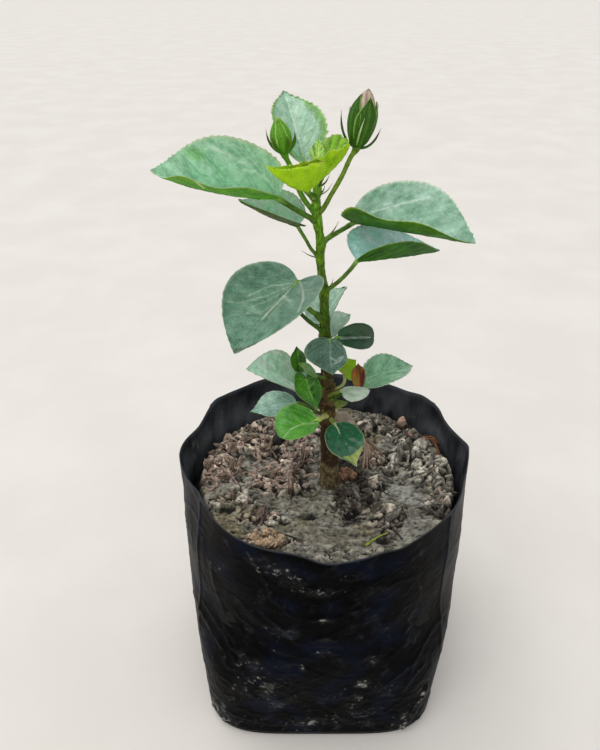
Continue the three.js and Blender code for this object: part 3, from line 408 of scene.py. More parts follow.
# ------------------------------------------------------------------ leaves
# base and tip of the blade in mm; roll, bend, fold and camber in degrees; half: half widths left and right;
# wide: where it is widest; lobe: how far the base lobes reach back; point: bluntness of the tip;
# wave: margin wave; node: height on the stem; via: bends of the stalk; stalk: its end radii.
ROWS = {
    "leaf_01": dict(base=[-24.06, -12.41, 301.88], tip=[-80.97, -3.82, 311.55], roll=-28.5, bend=10.1, sweep=-0.101, half=[22.48, 25.12], fold=[46.5, 55.4], camber=[17.3, 17], wide=0.395, lobe=[0.049, 0.049], point=[0.22, 0.39], wave=[2.09, 1.9, 0.04, -1], node=286.3, via=[[-12, -3.2, 291], [-18.4, -7.9, 296.4]], stalk=[1.15, 1.35]),
    "leaf_02": dict(base=[-11.55, 6.45, 311.66], tip=[-21.84, 31.32, 339.8], roll=-9.9, bend=25.9, sweep=0.001, half=[15.14, 14.4], fold=[31.1, 13.2], camber=[17.5, 4.9], wide=0.429, lobe=[-0.029, -0.029], point=[0.22, 0.32], wave=[0, 2, 0, 0], node=302.6, via=[[-8.8, 2.7, 307.1]], stalk=[1.2, 1.3]),
    "leaf_03": dict(base=[-10.24, -6.37, 303.28], tip=[-27.38, -33.72, 321.02], roll=-31.7, bend=-17.9, sweep=-0.051, half=[15.85, 16.32], fold=[70.1, 91.2], camber=[24.6, 5.6], wide=0.284, lobe=[0.037, 0.037], point=[0.22, 0.14], wave=[0, 2, 0, 0], node=297.5, via=[[-9.1, -3.4, 300.2]], stalk=[1.3, 1.4]),
    "leaf_04": dict(base=[-4.34, -1.66, 307.86], tip=[6.72, -17.75, 325.94], roll=11.3, bend=2.2, sweep=-0.142, half=[13.3, 8.53], fold=[51.8, 33.3], camber=[36.2, 7], wide=0.328, lobe=[0.043, 0.043], point=[0.22, 0.33], wave=[0, 2, 0, 0], node=303.6, via=[], stalk=[1, 1.1]),
    "leaf_05": dict(base=[-5.96, -5.05, 315.39], tip=[-5.35, 3.5, 323.87], roll=-1.1, bend=6.1, sweep=0.004, half=[3.76, 3.42], fold=[25, 33.4], camber=[3.4, 8], wide=0.342, lobe=[-0.009, -0.009], point=[0.22, 0.23], wave=[0, 2, 0, 0], node=310.9, via=[], stalk=[0.8, 0.8]),
    "leaf_06": dict(base=[-14.79, 0.14, 284.83], tip=[-41.69, -9.37, 300.08], roll=-25.2, bend=-10.2, sweep=-0.038, half=[13.07, 13.58], fold=[43.9, 58.1], camber=[-3.6, 9.9], wide=0.355, lobe=[0.086, 0.086], point=[0.22, 0.22], wave=[0, 2, 0, 0], node=268.2, via=[[-8.1, 0.5, 272.3], [-11, 0.4, 277.4]], stalk=[0.75, 0.9]),
    "leaf_07": dict(base=[11.51, -0.36, 286.94], tip=[60.19, -38.45, 290.01], roll=11, bend=9.4, sweep=0.04, half=[26.29, 24.58], fold=[32.9, 33.9], camber=[-7.5, 17], wide=0.374, lobe=[0.073, 0.02], point=[0.22, 0.6], wave=[1.83, 1.9, -1.09, 1], node=275.9, via=[[2.3, 0.1, 280.2], [7.4, -0.1, 283.5]], stalk=[1.05, 1.25]),
    "leaf_08": dict(base=[11.88, -21.8, 275.91], tip=[53.1, -1.66, 273.1], roll=1.5, bend=5.8, sweep=0.052, half=[19.52, 18.72], fold=[36.2, 37.1], camber=[-9.8, 11.4], wide=0.275, lobe=[0.035, 0.035], point=[0.22, 0.31], wave=[0, 2, 0, 0], node=250, via=[[4.5, -6.9, 258.8], [9.4, -15.6, 268.6]], stalk=[0.85, 1.15]),
    "leaf_09": dict(base=[-14.8, -10.51, 260.9], tip=[-42.54, -53.67, 245.08], roll=3.2, bend=-1.9, sweep=0.027, half=[22.04, 24.54], fold=[11.3, 18.2], camber=[6.5, 31.2], wide=0.333, lobe=[0.115, 0.115], point=[0.22, 0.59], wave=[0, 2, 0, 0], node=235.5, via=[[-7.8, -1.6, 240.6], [-11.9, -4.6, 246.7]], stalk=[1.05, 1.4]),
    "leaf_10": dict(base=[-19.79, -3.46, 246.7], tip=[-42.42, 6.62, 243.17], roll=0, bend=25, sweep=0, half=[9.57, 9.57], fold=[20, 20], camber=[8, 8], wide=0.36, lobe=[0.03, 0.03], point=[0.22, 0.2], wave=[0, 2, 0, 0], node=226.8, via=[[-9.3, -0.2, 234.4], [-13.8, -1.6, 239.8]], stalk=[0.9, 1.1]),
    "leaf_11": dict(base=[-1.4, 5.49, 229.5], tip=[11.57, 29.92, 240.49], roll=-13.9, bend=35.6, sweep=-0.013, half=[13.58, 10.4], fold=[26.4, 29.8], camber=[5.9, 16.9], wide=0.328, lobe=[0.044, 0.044], point=[0.22, 0.25], wave=[0, 2, 0, 0], node=228.5, via=[], stalk=[0.9, 1]),
    "leaf_12": dict(base=[1.42, 6.91, 221.16], tip=[13.6, 24.04, 226.87], roll=16.4, bend=15.3, sweep=-0.009, half=[8.74, 7.33], fold=[54.3, 46.6], camber=[15.1, 17], wide=0.406, lobe=[0.013, 0.013], point=[0.22, 0.24], wave=[0, 2, 0, 0], node=220.9, via=[], stalk=[0.8, 0.9]),
    "leaf_13": dict(base=[5.38, -5.71, 228.35], tip=[24.49, 1.69, 223.89], roll=49.7, bend=36.7, sweep=0.003, half=[8.16, 8.08], fold=[38.7, 16.8], camber=[16.6, 14.4], wide=0.473, lobe=[0.027, 0.027], point=[0.05, 0.40], wave=[0, 2, 0, 0], node=219.1, via=[[3.1, -2.5, 224.7]], stalk=[0.9, 1]),
    "leaf_14": dict(base=[1.18, -9.15, 229.01], tip=[1.78, -34.97, 223.36], roll=-12.3, bend=-16.9, sweep=0.006, half=[8.43, 12.97], fold=[-1.5, -9.9], camber=[8.6, 7.6], wide=0.403, lobe=[0.062, 0.062], point=[0.22, 0.31], wave=[0, 2, 0, 0], node=217.3, via=[], stalk=[0.9, 1]),
    "leaf_15": dict(base=[1.86, 8.56, 203.18], tip=[-1.44, 27.99, 205.01], roll=0, bend=25, sweep=0, half=[7.76, 7.76], fold=[20, 20], camber=[8, 8], wide=0.36, lobe=[0.03, 0.03], point=[0.22, 0.2], wave=[0, 2, 0, 0], node=204.4, via=[], stalk=[0.8, 0.9]),
    "leaf_16": dict(base=[-15.46, 0.74, 195.91], tip=[-41.38, -11.68, 213.09], roll=-17.1, bend=35.5, sweep=0.058, half=[13.19, 12.6], fold=[-5.9, 27], camber=[29.7, 19.6], wide=0.367, lobe=[0.031, 0.031], point=[0.22, 0.46], wave=[0, 2, 0, 0], node=190.4, via=[[-6.8, 1.7, 189.6]], stalk=[0.9, 1]),
    "leaf_17": dict(base=[-11.66, 5.22, 188.66], tip=[-27.28, 19.45, 196.91], roll=0, bend=25, sweep=0, half=[8.78, 8.78], fold=[20, 20], camber=[8, 8], wide=0.36, lobe=[0.03, 0.03], point=[0.22, 0.2], wave=[0, 2, 0, 0], node=185.2, via=[], stalk=[0.8, 0.9]),
    "leaf_18": dict(base=[-13.85, -2.92, 205.56], tip=[-15.71, 8.82, 215.34], roll=-7.3, bend=3.9, sweep=0, half=[5.5, 5.84], fold=[35, 38.7], camber=[13.7, 16.1], wide=0.386, lobe=[0.025, 0.025], point=[0.22, 0.23], wave=[0, 2, 0, 0], node=195.5, via=[[-8.5, -0.5, 198.6]], stalk=[0.7, 0.8]),
    "leaf_19": dict(base=[-5.64, -11.02, 209.14], tip=[-14.61, -12.46, 217.34], roll=-8.5, bend=1.2, sweep=0.002, half=[4.79, 4.68], fold=[2.2, 6.5], camber=[11.7, 1.4], wide=0.39, lobe=[0.029, 0.029], point=[0.22, 0.23], wave=[0, 2, 0, 0], node=199.4, via=[], stalk=[0.7, 0.8]),
    "leaf_20": dict(base=[-10.49, -9.96, 205.8], tip=[-5.01, -25.2, 197.01], roll=-2.3, bend=-1.7, sweep=0.017, half=[6.42, 8.21], fold=[4.3, 5.7], camber=[5.7, 8.3], wide=0.315, lobe=[0.334, 0.334], point=[0.22, 0.27], wave=[0, 2, 0, 0], node=192.3, via=[[-5.4, -4.1, 199.5]], stalk=[0.8, 1]),
    "leaf_21": dict(base=[-16.06, 4.64, 182.51], tip=[-41.18, -1.38, 179.9], roll=-14.4, bend=22.3, sweep=0.005, half=[9.95, 9.38], fold=[6.1, 7.2], camber=[9.3, 1.4], wide=0.459, lobe=[0.015, 0.015], point=[0.22, 0.29], wave=[0, 2, 0, 0], node=173.8, via=[[-7.2, 3.7, 178.5], [-12.2, 4.3, 181.4]], stalk=[0.7, 0.8]),
    "leaf_22": dict(base=[-4.34, -14.01, 183.89], tip=[-25.54, -22.92, 180.24], roll=-9.9, bend=15.3, sweep=-0.006, half=[10.04, 12.56], fold=[7.8, 17.3], camber=[6.4, 18], wide=0.49, lobe=[-0.022, -0.022], point=[0.03, 0.81], wave=[0, 2, 0, 0], node=175.8, via=[], stalk=[1.2, 1.5]),
    "leaf_23": dict(base=[19.38, -5.88, 198.43], tip=[49.72, 21.17, 195.91], roll=8.9, bend=40.8, sweep=-0.006, half=[11.15, 11.72], fold=[31.8, 19.8], camber=[7.2, -1.1], wide=0.397, lobe=[-0.019, -0.019], point=[0.22, 0.27], wave=[0, 2, 0, 0], node=185.2, via=[[10.3, -1.7, 192.4]], stalk=[0.9, 1.1]),
    "leaf_24": dict(base=[16.87, -10.37, 200.28], tip=[16.73, 0.64, 209.58], roll=-7.6, bend=21, sweep=0.011, half=[5.12, 5.36], fold=[38.6, 43.9], camber=[13.2, 14.2], wide=0.478, lobe=[0.026, 0.026], point=[0.22, 0.21], wave=[0, 2, 0, 0], node=187.8, via=[[10.6, -5.1, 195.2]], stalk=[0.7, 0.8]),
    "leaf_25": dict(base=[10.28, 10.16, 196.56], tip=[15.74, 2.16, 210.54], roll=92, bend=11, sweep=-0.037, half=[8.81, 7.2], fold=[20.7, -10.3], camber=[6.7, -0.7], wide=0.407, lobe=[0.042, 0.042], point=[0.22, 0.26], wave=[0, 2, 0, 0], node=190.4, via=[[10, 7.7, 192.3]], stalk=[0.75, 0.8]),
    "leaf_26": dict(base=[7.87, -16.19, 203.59], tip=[21.76, -17.78, 203.98], roll=-1.5, bend=0.6, sweep=0.012, half=[5.89, 8.1], fold=[-8.7, -12], camber=[-3.4, -5], wide=0.373, lobe=[0.017, 0.017], point=[0.05, 0.7], wave=[0, 2, 0, 0], node=187.8, via=[], stalk=[0.8, 0.9]),
    "leaf_27": dict(base=[8.83, -9.47, 192.27], tip=[4.79, -17.39, 192.45], roll=5.7, bend=14.6, sweep=-0.008, half=[3.88, 3.09], fold=[7.7, 3.3], camber=[7, 5.1], wide=0.364, lobe=[0.03, 0.03], point=[0.22, 0.2], wave=[0, 2, 0, 0], node=186.5, via=[], stalk=[0.6, 0.7]),
    "leaf_28": dict(base=[5.17, -6.59, 175.55], tip=[16.2, -27.41, 162.46], roll=3.9, bend=16.5, sweep=0.013, half=[11.19, 10.82], fold=[9.4, 6], camber=[7.6, 6.4], wide=0.433, lobe=[0.014, 0.014], point=[0.22, 0.25], wave=[0, 2, 0, 0], node=175.1, via=[], stalk=[1, 1.1]),
    "leaf_29": dict(base=[5.67, -1.96, 174.34], tip=[19.2, 2.34, 167.33], roll=8.3, bend=32.7, sweep=-0.001, half=[6.91, 5.73], fold=[20.1, 10], camber=[7.9, 8], wide=0.349, lobe=[0.044, 0.044], point=[0.22, 0.22], wave=[0, 2, 0, 0], node=173.8, via=[], stalk=[0.8, 0.9]),
}


def bez(p, t):
    p = np.asarray(p, float)
    t = np.asarray(t, float)[:, None]
    a = 1 - t
    return a ** 3 * p[0] + 3 * a * a * t * p[1] + 3 * a * t * t * p[2] + t ** 3 * p[3]


class Blade:
    """The bowed and folded surface of one leaf."""

    def __init__(self, s):
        self.s = s
        B, T = np.array(s["base"], float), np.array(s["tip"], float)
        c = T - B
        L = np.linalg.norm(c)
        t = c / L
        n0 = unit(np.array([0, 0, 1.0]) - t[2] * t)
        r0 = np.cross(t, n0)
        a = math.radians(s["roll"])
        self.n = math.cos(a) * n0 + math.sin(a) * r0
        self.r = np.cross(t, self.n)
        self.B, self.t, self.L = B, t, L
        N = 32
        th = math.radians(s["bend"]) * (0.5 - (np.arange(N) + 0.5) / N)
        X = np.concatenate([[0], np.cumsum(np.cos(th))]) / N
        Z = np.concatenate([[0], np.cumsum(np.sin(th))]) / N
        ch, al = math.hypot(X[-1], Z[-1]), math.atan2(Z[-1], X[-1])
        self.u = np.linspace(0, 1, N + 1)
        self.X = (X * math.cos(al) + Z * math.sin(al)) / ch * L
        self.Z = (-X * math.sin(al) + Z * math.cos(al)) / ch * L
        m = np.concatenate([[th[0]], (th[1:] + th[:-1]) / 2, [th[-1]]]) - al
        self.th = m
        self.arc = L / ch

    def outline(self, side, t):
        s = self.s
        lobe, xm, (k3, tt) = s["lobe"][1 if side > 0 else 0], s["wide"], s["point"]
        t = np.asarray(t, float)
        a = bez([[0, 0], [-2 * lobe - 0.02, 0.55], [xm - 0.22, 1], [xm, 1]], np.clip(2 * t, 0, 1))
        c = bez([[xm, 1], [xm + 0.26, 1], [1 - k3, tt], [1, 0]], np.clip(2 * t - 1, 0, 1))
        return np.where((t < 0.5)[:, None], a, c)

    def point(self, x, y, side, share):
        """Surface point for x in lengths, y in half widths of that side; share is how near the margin it is."""
        s = self.s
        x, y = np.asarray(x, float), np.asarray(y, float)
        xi = np.clip(x, 0, 1)
        X, Z, th = np.interp(xi, self.u, self.X), np.interp(xi, self.u, self.Z), np.interp(xi, self.u, self.th)
        under, over = np.minimum(x, 0), np.maximum(x - 1, 0)
        X = X + under * self.arc * math.cos(self.th[0]) + over * self.arc * math.cos(self.th[-1])
        Z = Z + under * self.arc * math.sin(self.th[0]) + over * self.arc * math.sin(self.th[-1])
        sweep = np.where(x < 0, 0, s["sweep"] * self.L * 4 * xi * (1 - xi))
        n = -np.sin(th)[:, None] * self.t + np.cos(th)[:, None] * self.n
        k = 1 if side > 0 else 0
        a, c = math.radians(s["fold"][k]), math.radians(s["camber"][k])
        if abs(c) < 1e-3:
            c = 1e-3
        A = (np.sin(a + c * y) - math.sin(a)) / c
        U = (math.cos(a) - np.cos(a + c * y)) / c
        P = self.B + X[:, None] * self.t + Z[:, None] * self.n + (sweep + s["half"][k] * A * side)[:, None] * self.r + (s["half"][k] * U)[:, None] * n
        amp, waves, phase, only = s["wave"]
        if amp and (only == 0 or only == side):
            P = P + (amp * share ** 2 * np.sin(2 * np.pi * waves * x + phase) * np.clip(5 * x * (1 - x), 0, 1))[:, None] * n
        return P


def vein_lines(blade, side, count, start=0.0):
    """Veins of one half in flat coordinates (mm along, mm across): [(points, half width, order)]."""
    s = blade.s
    W = s["half"][1 if side > 0 else 0]
    flat = lambda t: blade.outline(side, np.atleast_1d(t))[0] * [blade.L, W]
    out = []
    firsts = [(0.0, 0.30), (0.0, 0.53)] if W > 5 else [(0.0, 0.42)]
    more = np.linspace(0.13, 0.82, count)
    pairs = firsts + [(a, 0.60 + 0.375 * ((a - 0.13) / 0.69) ** 0.85) for a in more]
    ends_before = 0.1
    for k, (t0, te) in enumerate(pairs):
        p0, p3 = np.array([t0 * blade.L, 0.0]), flat(te) * [1, 0.97]
        d = p3 - p0
        c1 = p0 + np.array([0.18 * d[0], 0.36 * d[1]])
        c2 = p0 + np.array([0.60 * d[0], 0.80 * d[1]])
        line = bez([p0, c1, c2, p3], np.linspace(0, 1, 15))
        w = (0.42 if t0 == 0 else 0.34) * (1 - 0.45 * t0)
        out.append((line, w, 1))
        for m, f in enumerate((0.42, 0.68)):
            q0 = line[int(f * 14)]
            q3 = flat(ends_before + (te - ends_before) * (0.40 + 0.33 * m)) * [1, 0.96]
            dq = q3 - q0
            if dq[1] < 0.12 * W:
                continue
            mid = q0 + np.array([0.25 * dq[0], 0.45 * dq[1]])
            out.append((bez([q0, q0 + 0.5 * (mid - q0), mid + 0.3 * (q3 - mid), q3], np.linspace(0, 1, 9)), w * 0.6, 2))
        ends_before = te
    return out


def near_lines(P, lines):
    """Distance from flat points P to each polyline: smallest over all, and the strength of the nearest."""
    best = np.full(len(P), 1e3)
    main = np.full(len(P), 1e3)
    strength = np.zeros(len(P))
    for pts, w, order in lines:
        a, c = pts[:-1], pts[1:]
        ab = c - a
        dd = np.maximum(1e-9, (ab ** 2).sum(1))
        t = np.clip(((P[:, None, :] - a[None]) * ab[None]).sum(2) / dd[None], 0, 1)
        d = np.sqrt(((P[:, None, :] - (a[None] + t[..., None] * ab[None])) ** 2).sum(2))
        j = d.argmin(1)
        dj = d[np.arange(len(P)), j]
        along = (j + t[np.arange(len(P)), j]) / len(a)
        ww = w * (1.15 - 0.75 * along)
        strength = np.maximum(strength, np.exp(-(dj / ww) ** 2) * (1.0 if order == 1 else 0.7))
        if order == 1:
            main = np.minimum(main, dj)
        best = np.minimum(best, dj)
    return best, main, strength


def blade_mesh(name, s, style):
    bl = Blade(s)
    L = bl.L
    Wm = max(s["half"])
    n = int(np.clip(L / style.get("step", 0.55), 26, 130))
    n += 1 - n % 2
    m = int(np.clip(Wm / 0.62, 10, 40))
    t = np.linspace(0, 1, n)
    rng = seeded(name)
    tooth_h, tooth_p = style["teeth"]
    quilt = style["quilt"]
    halves = []
    for side in (-1, 1):
        W = s["half"][1 if side > 0 else 0]
        M = bl.outline(side, t)
        F = M * [L, W]
        seg = np.linalg.norm(np.diff(F, axis=0), axis=1)
        arc = np.concatenate([[0], np.cumsum(seg)])
        tan = np.gradient(F, axis=0)
        tan /= np.maximum(1e-9, np.linalg.norm(tan, axis=1))[:, None]
        nor = np.stack([-tan[:, 1], tan[:, 0]], 1)
        wob = noise(np.stack([arc * 0.11, np.full(n, side * 3.1), np.full(n, rng.random() * 50)], 1))
        ph = arc / tooth_p + 0.35 * wob
        f = ph - np.floor(ph)
        saw = np.where(f < 0.74, (f / 0.74) ** 1.4, ((1 - f) / 0.26) ** 0.9)
        size = tooth_h * (0.75 + 0.5 * noise(np.stack([np.floor(ph) * 0.73, np.full(n, side * 9.0), np.full(n, 4.4)], 1)))
        env = smooth(0.10, 0.26, arc / arc[-1]) * (1 - smooth(0.975, 1.0, arc / arc[-1]))
        push = (saw - 0.42) * size * env
        uneven = 0.22 * noise(np.stack([arc * 0.3, np.full(n, side * 5.0), np.full(n, rng.random() * 9)], 1)) * env
        G = F + nor * (push + uneven)[:, None] + tan * (0.28 * saw * size * env)[:, None]
        q = np.linspace(0, 1, m + 1) ** 0.92
        edge = smooth(0.78, 1.0, q)
        flat = np.zeros((n, m + 1, 2))
        par = np.zeros((n, m + 1, 2))
        for k in range(m + 1):
            base = np.stack([t + (M[:, 0] - t) * q[k], M[:, 1] * q[k]], 1)
            shift = (G - F) * edge[k] / [L, W]
            par[:, k] = base + shift
            flat[:, k] = par[:, k] * [L, W]
        halves.append((side, W, q, par, flat))
    # one grid over both halves: left margin ... midrib ... right margin
    lines = {-1: vein_lines(bl, -1, style["lat"]), 1: vein_lines(bl, 1, style["lat"])}
    cols, extra = [], []
    for side, W, q, par, flat in halves:
        ks = range(m, 0, -1) if side < 0 else range(0, m + 1)
        for k in ks:
            x, y = par[:, k, 0], par[:, k, 1]
            cols.append(bl.point(x, y, side, np.full(n, q[k])))
            fl = flat[:, k].copy()
            extra.append((np.full(n, side * q[k]), np.full(n, float(side)), fl[:, 0], fl[:, 1], t.copy()))
    P = np.stack(cols, 1)                       # n, K, 3
    K = P.shape[1]
    E = [np.stack([e[i] for e in extra], 1) for i in range(5)]  # across share, side, flat x, flat y (positive), t
    du, dv = np.gradient(P, axis=0), np.gradient(P, axis=1)
    N = np.cross(dv, du)
    N /= np.maximum(1e-9, np.linalg.norm(N, axis=2))[..., None]
    if N[n // 2, K // 2] @ bl.n < 0:
        N = -N
    near = np.zeros((n, K)); main = np.zeros((n, K)); vein = np.zeros((n, K))
    for side in (-1, 1):
        sel = (E[1] == side) if side > 0 else (E[1] == -1)
        fp = np.stack([E[2][sel], E[3][sel]], 1)
        a, c, d = near_lines(fp, lines[side])
        near[sel], main[sel], vein[sel] = a, c, d
    mid_d = np.abs(E[3])
    mid_w = (0.62 if L > 35 else 0.45) * (1.12 - E[4]) + 0.12
    rib = np.exp(-(mid_d / mid_w) ** 2)
    near, main = np.minimum(near, mid_d), np.minimum(main, mid_d)
    vein_all = np.maximum(vein, rib)
    q_abs = np.abs(E[0])
    fade = 1 - smooth(0.86, 1.0, q_abs)
    ends = smooth(0, 0.06, E[4]) * (1 - smooth(0.93, 1.0, E[4]))
    wl = style.get("cell", 2.1) * (1 if L > 30 else 0.75)
    puff = (1 - np.exp(-(near / wl) ** 2)) * 0.45 + (1 - np.exp(-(main / (2.1 * wl)) ** 2)) * 0.75
    jig = fbm(np.stack([E[2].ravel() * 0.20, (E[3] * E[1]).ravel() * 0.20, np.full(n * K, rng.random() * 40)], 1), 3).reshape(n, K)
    lift = quilt * (puff - 0.62) * fade * ends + style.get("rumple", 0.35) * jig * (0.3 + 0.7 * fade) * ends
    pleat = style.get("pleat", 0.0)
    wave = np.zeros((n, K))
    if pleat:
        ang = np.arctan2(E[3], E[2] + 0.25 * L)
        wave = np.sin(ang * style.get("pleats", 26) + 1.0 + 1.2 * jig) * smooth(0.05, 0.4, q_abs) * ends
        lift = lift + pleat * wave
    top = P + N * (lift - 0.10 * rib * ends)[..., None]
    thick = 0.34 - 0.17 * smooth(0.6, 1.0, q_abs) + 0.62 * rib * (1.05 - E[4]) + 0.22 * vein * fade
    low = P + N * (lift - thick)[..., None]
    attrs = dict(across=E[0] * 1.0, along=E[4], vein=vein_all, near=np.clip(near / 3.0, 0, 1), wave=wave, rim=smooth(1 - style.get("rimw", 0.10), 1.0, q_abs), rimline=smooth(0.955 - 0.3 * (style.get("rimw", 0.10) - 0.10), 1.0, q_abs))
    # vertices: base point, rows 1..n-2, tip point, for both faces
    rows = n - 2
    top_v = np.vstack([top[0].mean(0)[None], top[1:-1].reshape(-1, 3), top[-1].mean(0)[None]])
    low_v = np.vstack([low[0].mean(0)[None], low[1:-1].reshape(-1, 3), low[-1].mean(0)[None]])
    V = np.vstack([top_v, low_v])
    nt_ = len(top_v)
    A = {k: np.tile(np.concatenate([[v[0, K // 2]], v[1:-1].ravel(), [v[-1, K // 2]]]), 2) for k, v in attrs.items()}
    uv = np.stack([E[2] / 20.0, E[3] * E[1] / 20.0], 2)
    uvv = np.vstack([uv[0, K // 2][None], uv[1:-1].reshape(-1, 2), uv[-1, K // 2][None]])
    uvv = np.vstack([uvv, uvv + [7.3, 4.1]])
    i, k = np.meshgrid(np.arange(rows - 1), np.arange(K - 1), indexing="ij")
    a = (1 + i * K + k).ravel()
    Qt = np.stack([a, a + 1, a + K + 1, a + K], 1)
    Qb = np.stack([a + 1, a, a + K, a + K + 1], 1) + nt_
    kk = np.arange(K - 1)
    tip = nt_ - 1
    lastrow = 1 + (rows - 1) * K
    Tt = np.vstack([np.stack([np.zeros(K - 1, int), 2 + kk, 1 + kk], 1)[:, [0, 1, 2]], np.stack([np.full(K - 1, tip), lastrow + kk, lastrow + kk + 1], 1)])
    Tb = Tt[:, [0, 2, 1]] + nt_
    ii = np.arange(rows - 1)
    l0 = 1 + ii * K
    r0 = 1 + ii * K + K - 1
    Qs = np.vstack([np.stack([l0, l0 + K, l0 + K + nt_, l0 + nt_], 1), np.stack([r0 + K, r0, r0 + nt_, r0 + K + nt_], 1)])
    Qe = np.array([[0, 1, 1 + nt_, nt_], [K, 0, nt_, K + nt_], [lastrow, tip, tip + nt_, lastrow + nt_], [tip, lastrow + K - 1, lastrow + K - 1 + nt_, tip + nt_]])
    quads = np.vstack([Qt, Qb, Qs, Qe])
    tris = np.vstack([Tt, Tb])
    ids = np.concatenate([np.zeros(len(Qt)), np.ones(len(Qb)), np.zeros(len(Qs) + len(Qe)), np.zeros(len(Tt)), np.ones(len(Tb))]).astype(int)
    # make the upper face look outwards
    f = Qt[(rows // 2) * (K - 1) + K // 2]
    nn = np.cross(V[f[1]] - V[f[0]], V[f[2]] - V[f[0]])
    if nn @ (V[f[0]] - V[f[0] + nt_]) < 0:
        quads, tris = quads[:, ::-1], tris[:, ::-1]
    return bl, V, quads, tris, ids, A, uvv


def inside(pts, poly):
    """Signed distance in pixels to a closed outline, positive inside."""
    poly = np.asarray(poly, float)
    best = np.full(len(pts), 1e9)
    odd = np.zeros(len(pts), bool)
    for a, c in zip(poly, np.roll(poly, -1, 0)):
        ab = c - a
        t = np.clip(((pts - a) @ ab) / max(1e-9, ab @ ab), 0, 1)
        best = np.minimum(best, np.hypot(*(pts - (a + t[:, None] * ab)).T))
        hit = ((a[1] > pts[:, 1]) != (c[1] > pts[:, 1])) & (pts[:, 0] < (c[0] - a[0]) * (pts[:, 1] - a[1]) / ((c[1] - a[1]) or 1e-9) + a[0])
        odd ^= hit
    return np.where(odd, best, -best)


def chain_near(pts, chain):
    best = np.full(len(pts), 1e9)
    for a, c in zip(chain[:-1], chain[1:]):
        a, c = np.asarray(a, float), np.asarray(c, float)
        ab = c - a
        t = np.clip(((pts - a) @ ab) / max(1e-9, ab @ ab), 0, 1)
        best = np.minimum(best, np.hypot(*(pts - (a + t[:, None] * ab)).T))
    return best


def brush(col, pix, ops, wob):
    """Lays patches, outlines and strokes of plain colour over a surface, placed by the image point they lie under."""
    for op in ops:
        if op[0] == "E":
            cx, cy, rx, ry, turn, hexa, amt = op[1:8]
            soft = op[8] if len(op) > 8 else 0.45
            a = math.radians(turn)
            x, y = pix[:, 0] - cx, pix[:, 1] - cy
            d = np.hypot((x * math.cos(a) + y * math.sin(a)) / rx, (y * math.cos(a) - x * math.sin(a)) / ry) + 0.30 * wob
            w = amt * (1 - smooth(1 - soft, 1 + soft, d))
        elif op[0] == "P":
            pts, hexa, amt = op[1:4]
            soft = op[4] if len(op) > 4 else 1.2
            w = amt * smooth(-soft, soft, inside(pix, pts) + wob * (0.5 + soft * 0.6))
        else:
            pts, width, hexa, amt = op[1:5]
            w = amt * np.exp(-(chain_near(pix, pts) / width) ** 2) * (0.85 + 0.5 * wob)
        col = col + (lin(hexa) - col) * np.clip(w, 0, 1)[:, None]
    return col


def leaf_mat(name, c, low=False):
    """Leaf skin over the dealt-out colours: finest net of veins, mottling, flecks, gloss and grain."""
    m, nt, b = new_mat(name)
    uv = node(nt, "ShaderNodeUVMap", uv_map="plan").outputs[0]
    off = node(nt, "ShaderNodeMapping", {"Vector": uv, "Location": (c.get("seed", 1.0) * 3.7, c.get("seed", 1.0) * 1.9, 0.0)}).outputs[0]
    mott = ntex(nt, off, 6.5, 5.0, 0.62, 0.4)
    fine = ntex(nt, off, 34.0, 3.0, 0.6)
    tintc = node(nt, "ShaderNodeAttribute", attribute_name="tint").outputs["Color"]
    veinf = attr(nt, "vein")
    k = c.get("contrast", 0.5)
    col = mixc(nt, k, tintc, mixc(nt, span(nt, mott, 0.30, 0.70), srgb("a2aea4" if not low else "a8b09c"), srgb("ffffff")), "MULTIPLY")
    warp = calc(nt, "MULTIPLY", ntex(nt, off, 9.0, 2.0), 0.10)
    shifted = node(nt, "ShaderNodeVectorMath", {0: off, 1: node(nt, "ShaderNodeCombineXYZ", {0: warp, 1: warp, 2: 0.0}).outputs[0]}, operation="ADD").outputs[0]
    net = node(nt, "ShaderNodeTexVoronoi", {"Vector": shifted, "Scale": c.get("net", 12.0), "Randomness": 1.0}, feature="DISTANCE_TO_EDGE").outputs["Distance"]
    netf = calc(nt, "MULTIPLY", span(nt, net, 0.015, 0.11, 1.0, 0.0), c.get("netmix", 0.16))
    col = mixc(nt, netf, col, srgb(c["net_colour"]))
    spot = ntex(nt, off, 60.0, 2.0, 0.5)
    col = mixc(nt, calc(nt, "MULTIPLY", span(nt, spot, 0.68, 0.76), c.get("fleck", 0.22)), col, srgb(c.get("fleckcol", "e4ece2")))
    dark = ntex(nt, off, 24.0, 2.0, 0.5)
    col = mixc(nt, calc(nt, "MULTIPLY", span(nt, dark, 0.68, 0.75), c.get("spots", 0.22)), col, srgb(c.get("spotcol", "3f4a1c")))
    nt.links.new(col, b.inputs["Base Color"])
    ro = c.get("rough", 0.38 if not low else 0.58)
    nt.links.new(calc(nt, "ADD", calc(nt, "MULTIPLY", mott, 0.24), ro - 0.12), b.inputs["Roughness"])
    b.inputs["Specular IOR Level"].default_value = c.get("spec", 0.45 if not low else 0.15)
    b.inputs["Coat Weight"].default_value = c.get("coat", 0.35 if not low else 0.0)
    b.inputs["Coat Roughness"].default_value = c.get("coatrough", 0.20)
    h = calc(nt, "ADD", calc(nt, "MULTIPLY", fine, 0.5), calc(nt, "MULTIPLY", span(nt, net, 0.0, 0.14), 0.9 if not low else -0.9))
    h = calc(nt, "ADD", h, calc(nt, "MULTIPLY", veinf, -0.8 if not low else 0.8))
    bump(nt, b, h, 0.5, 0.00022)
    return m


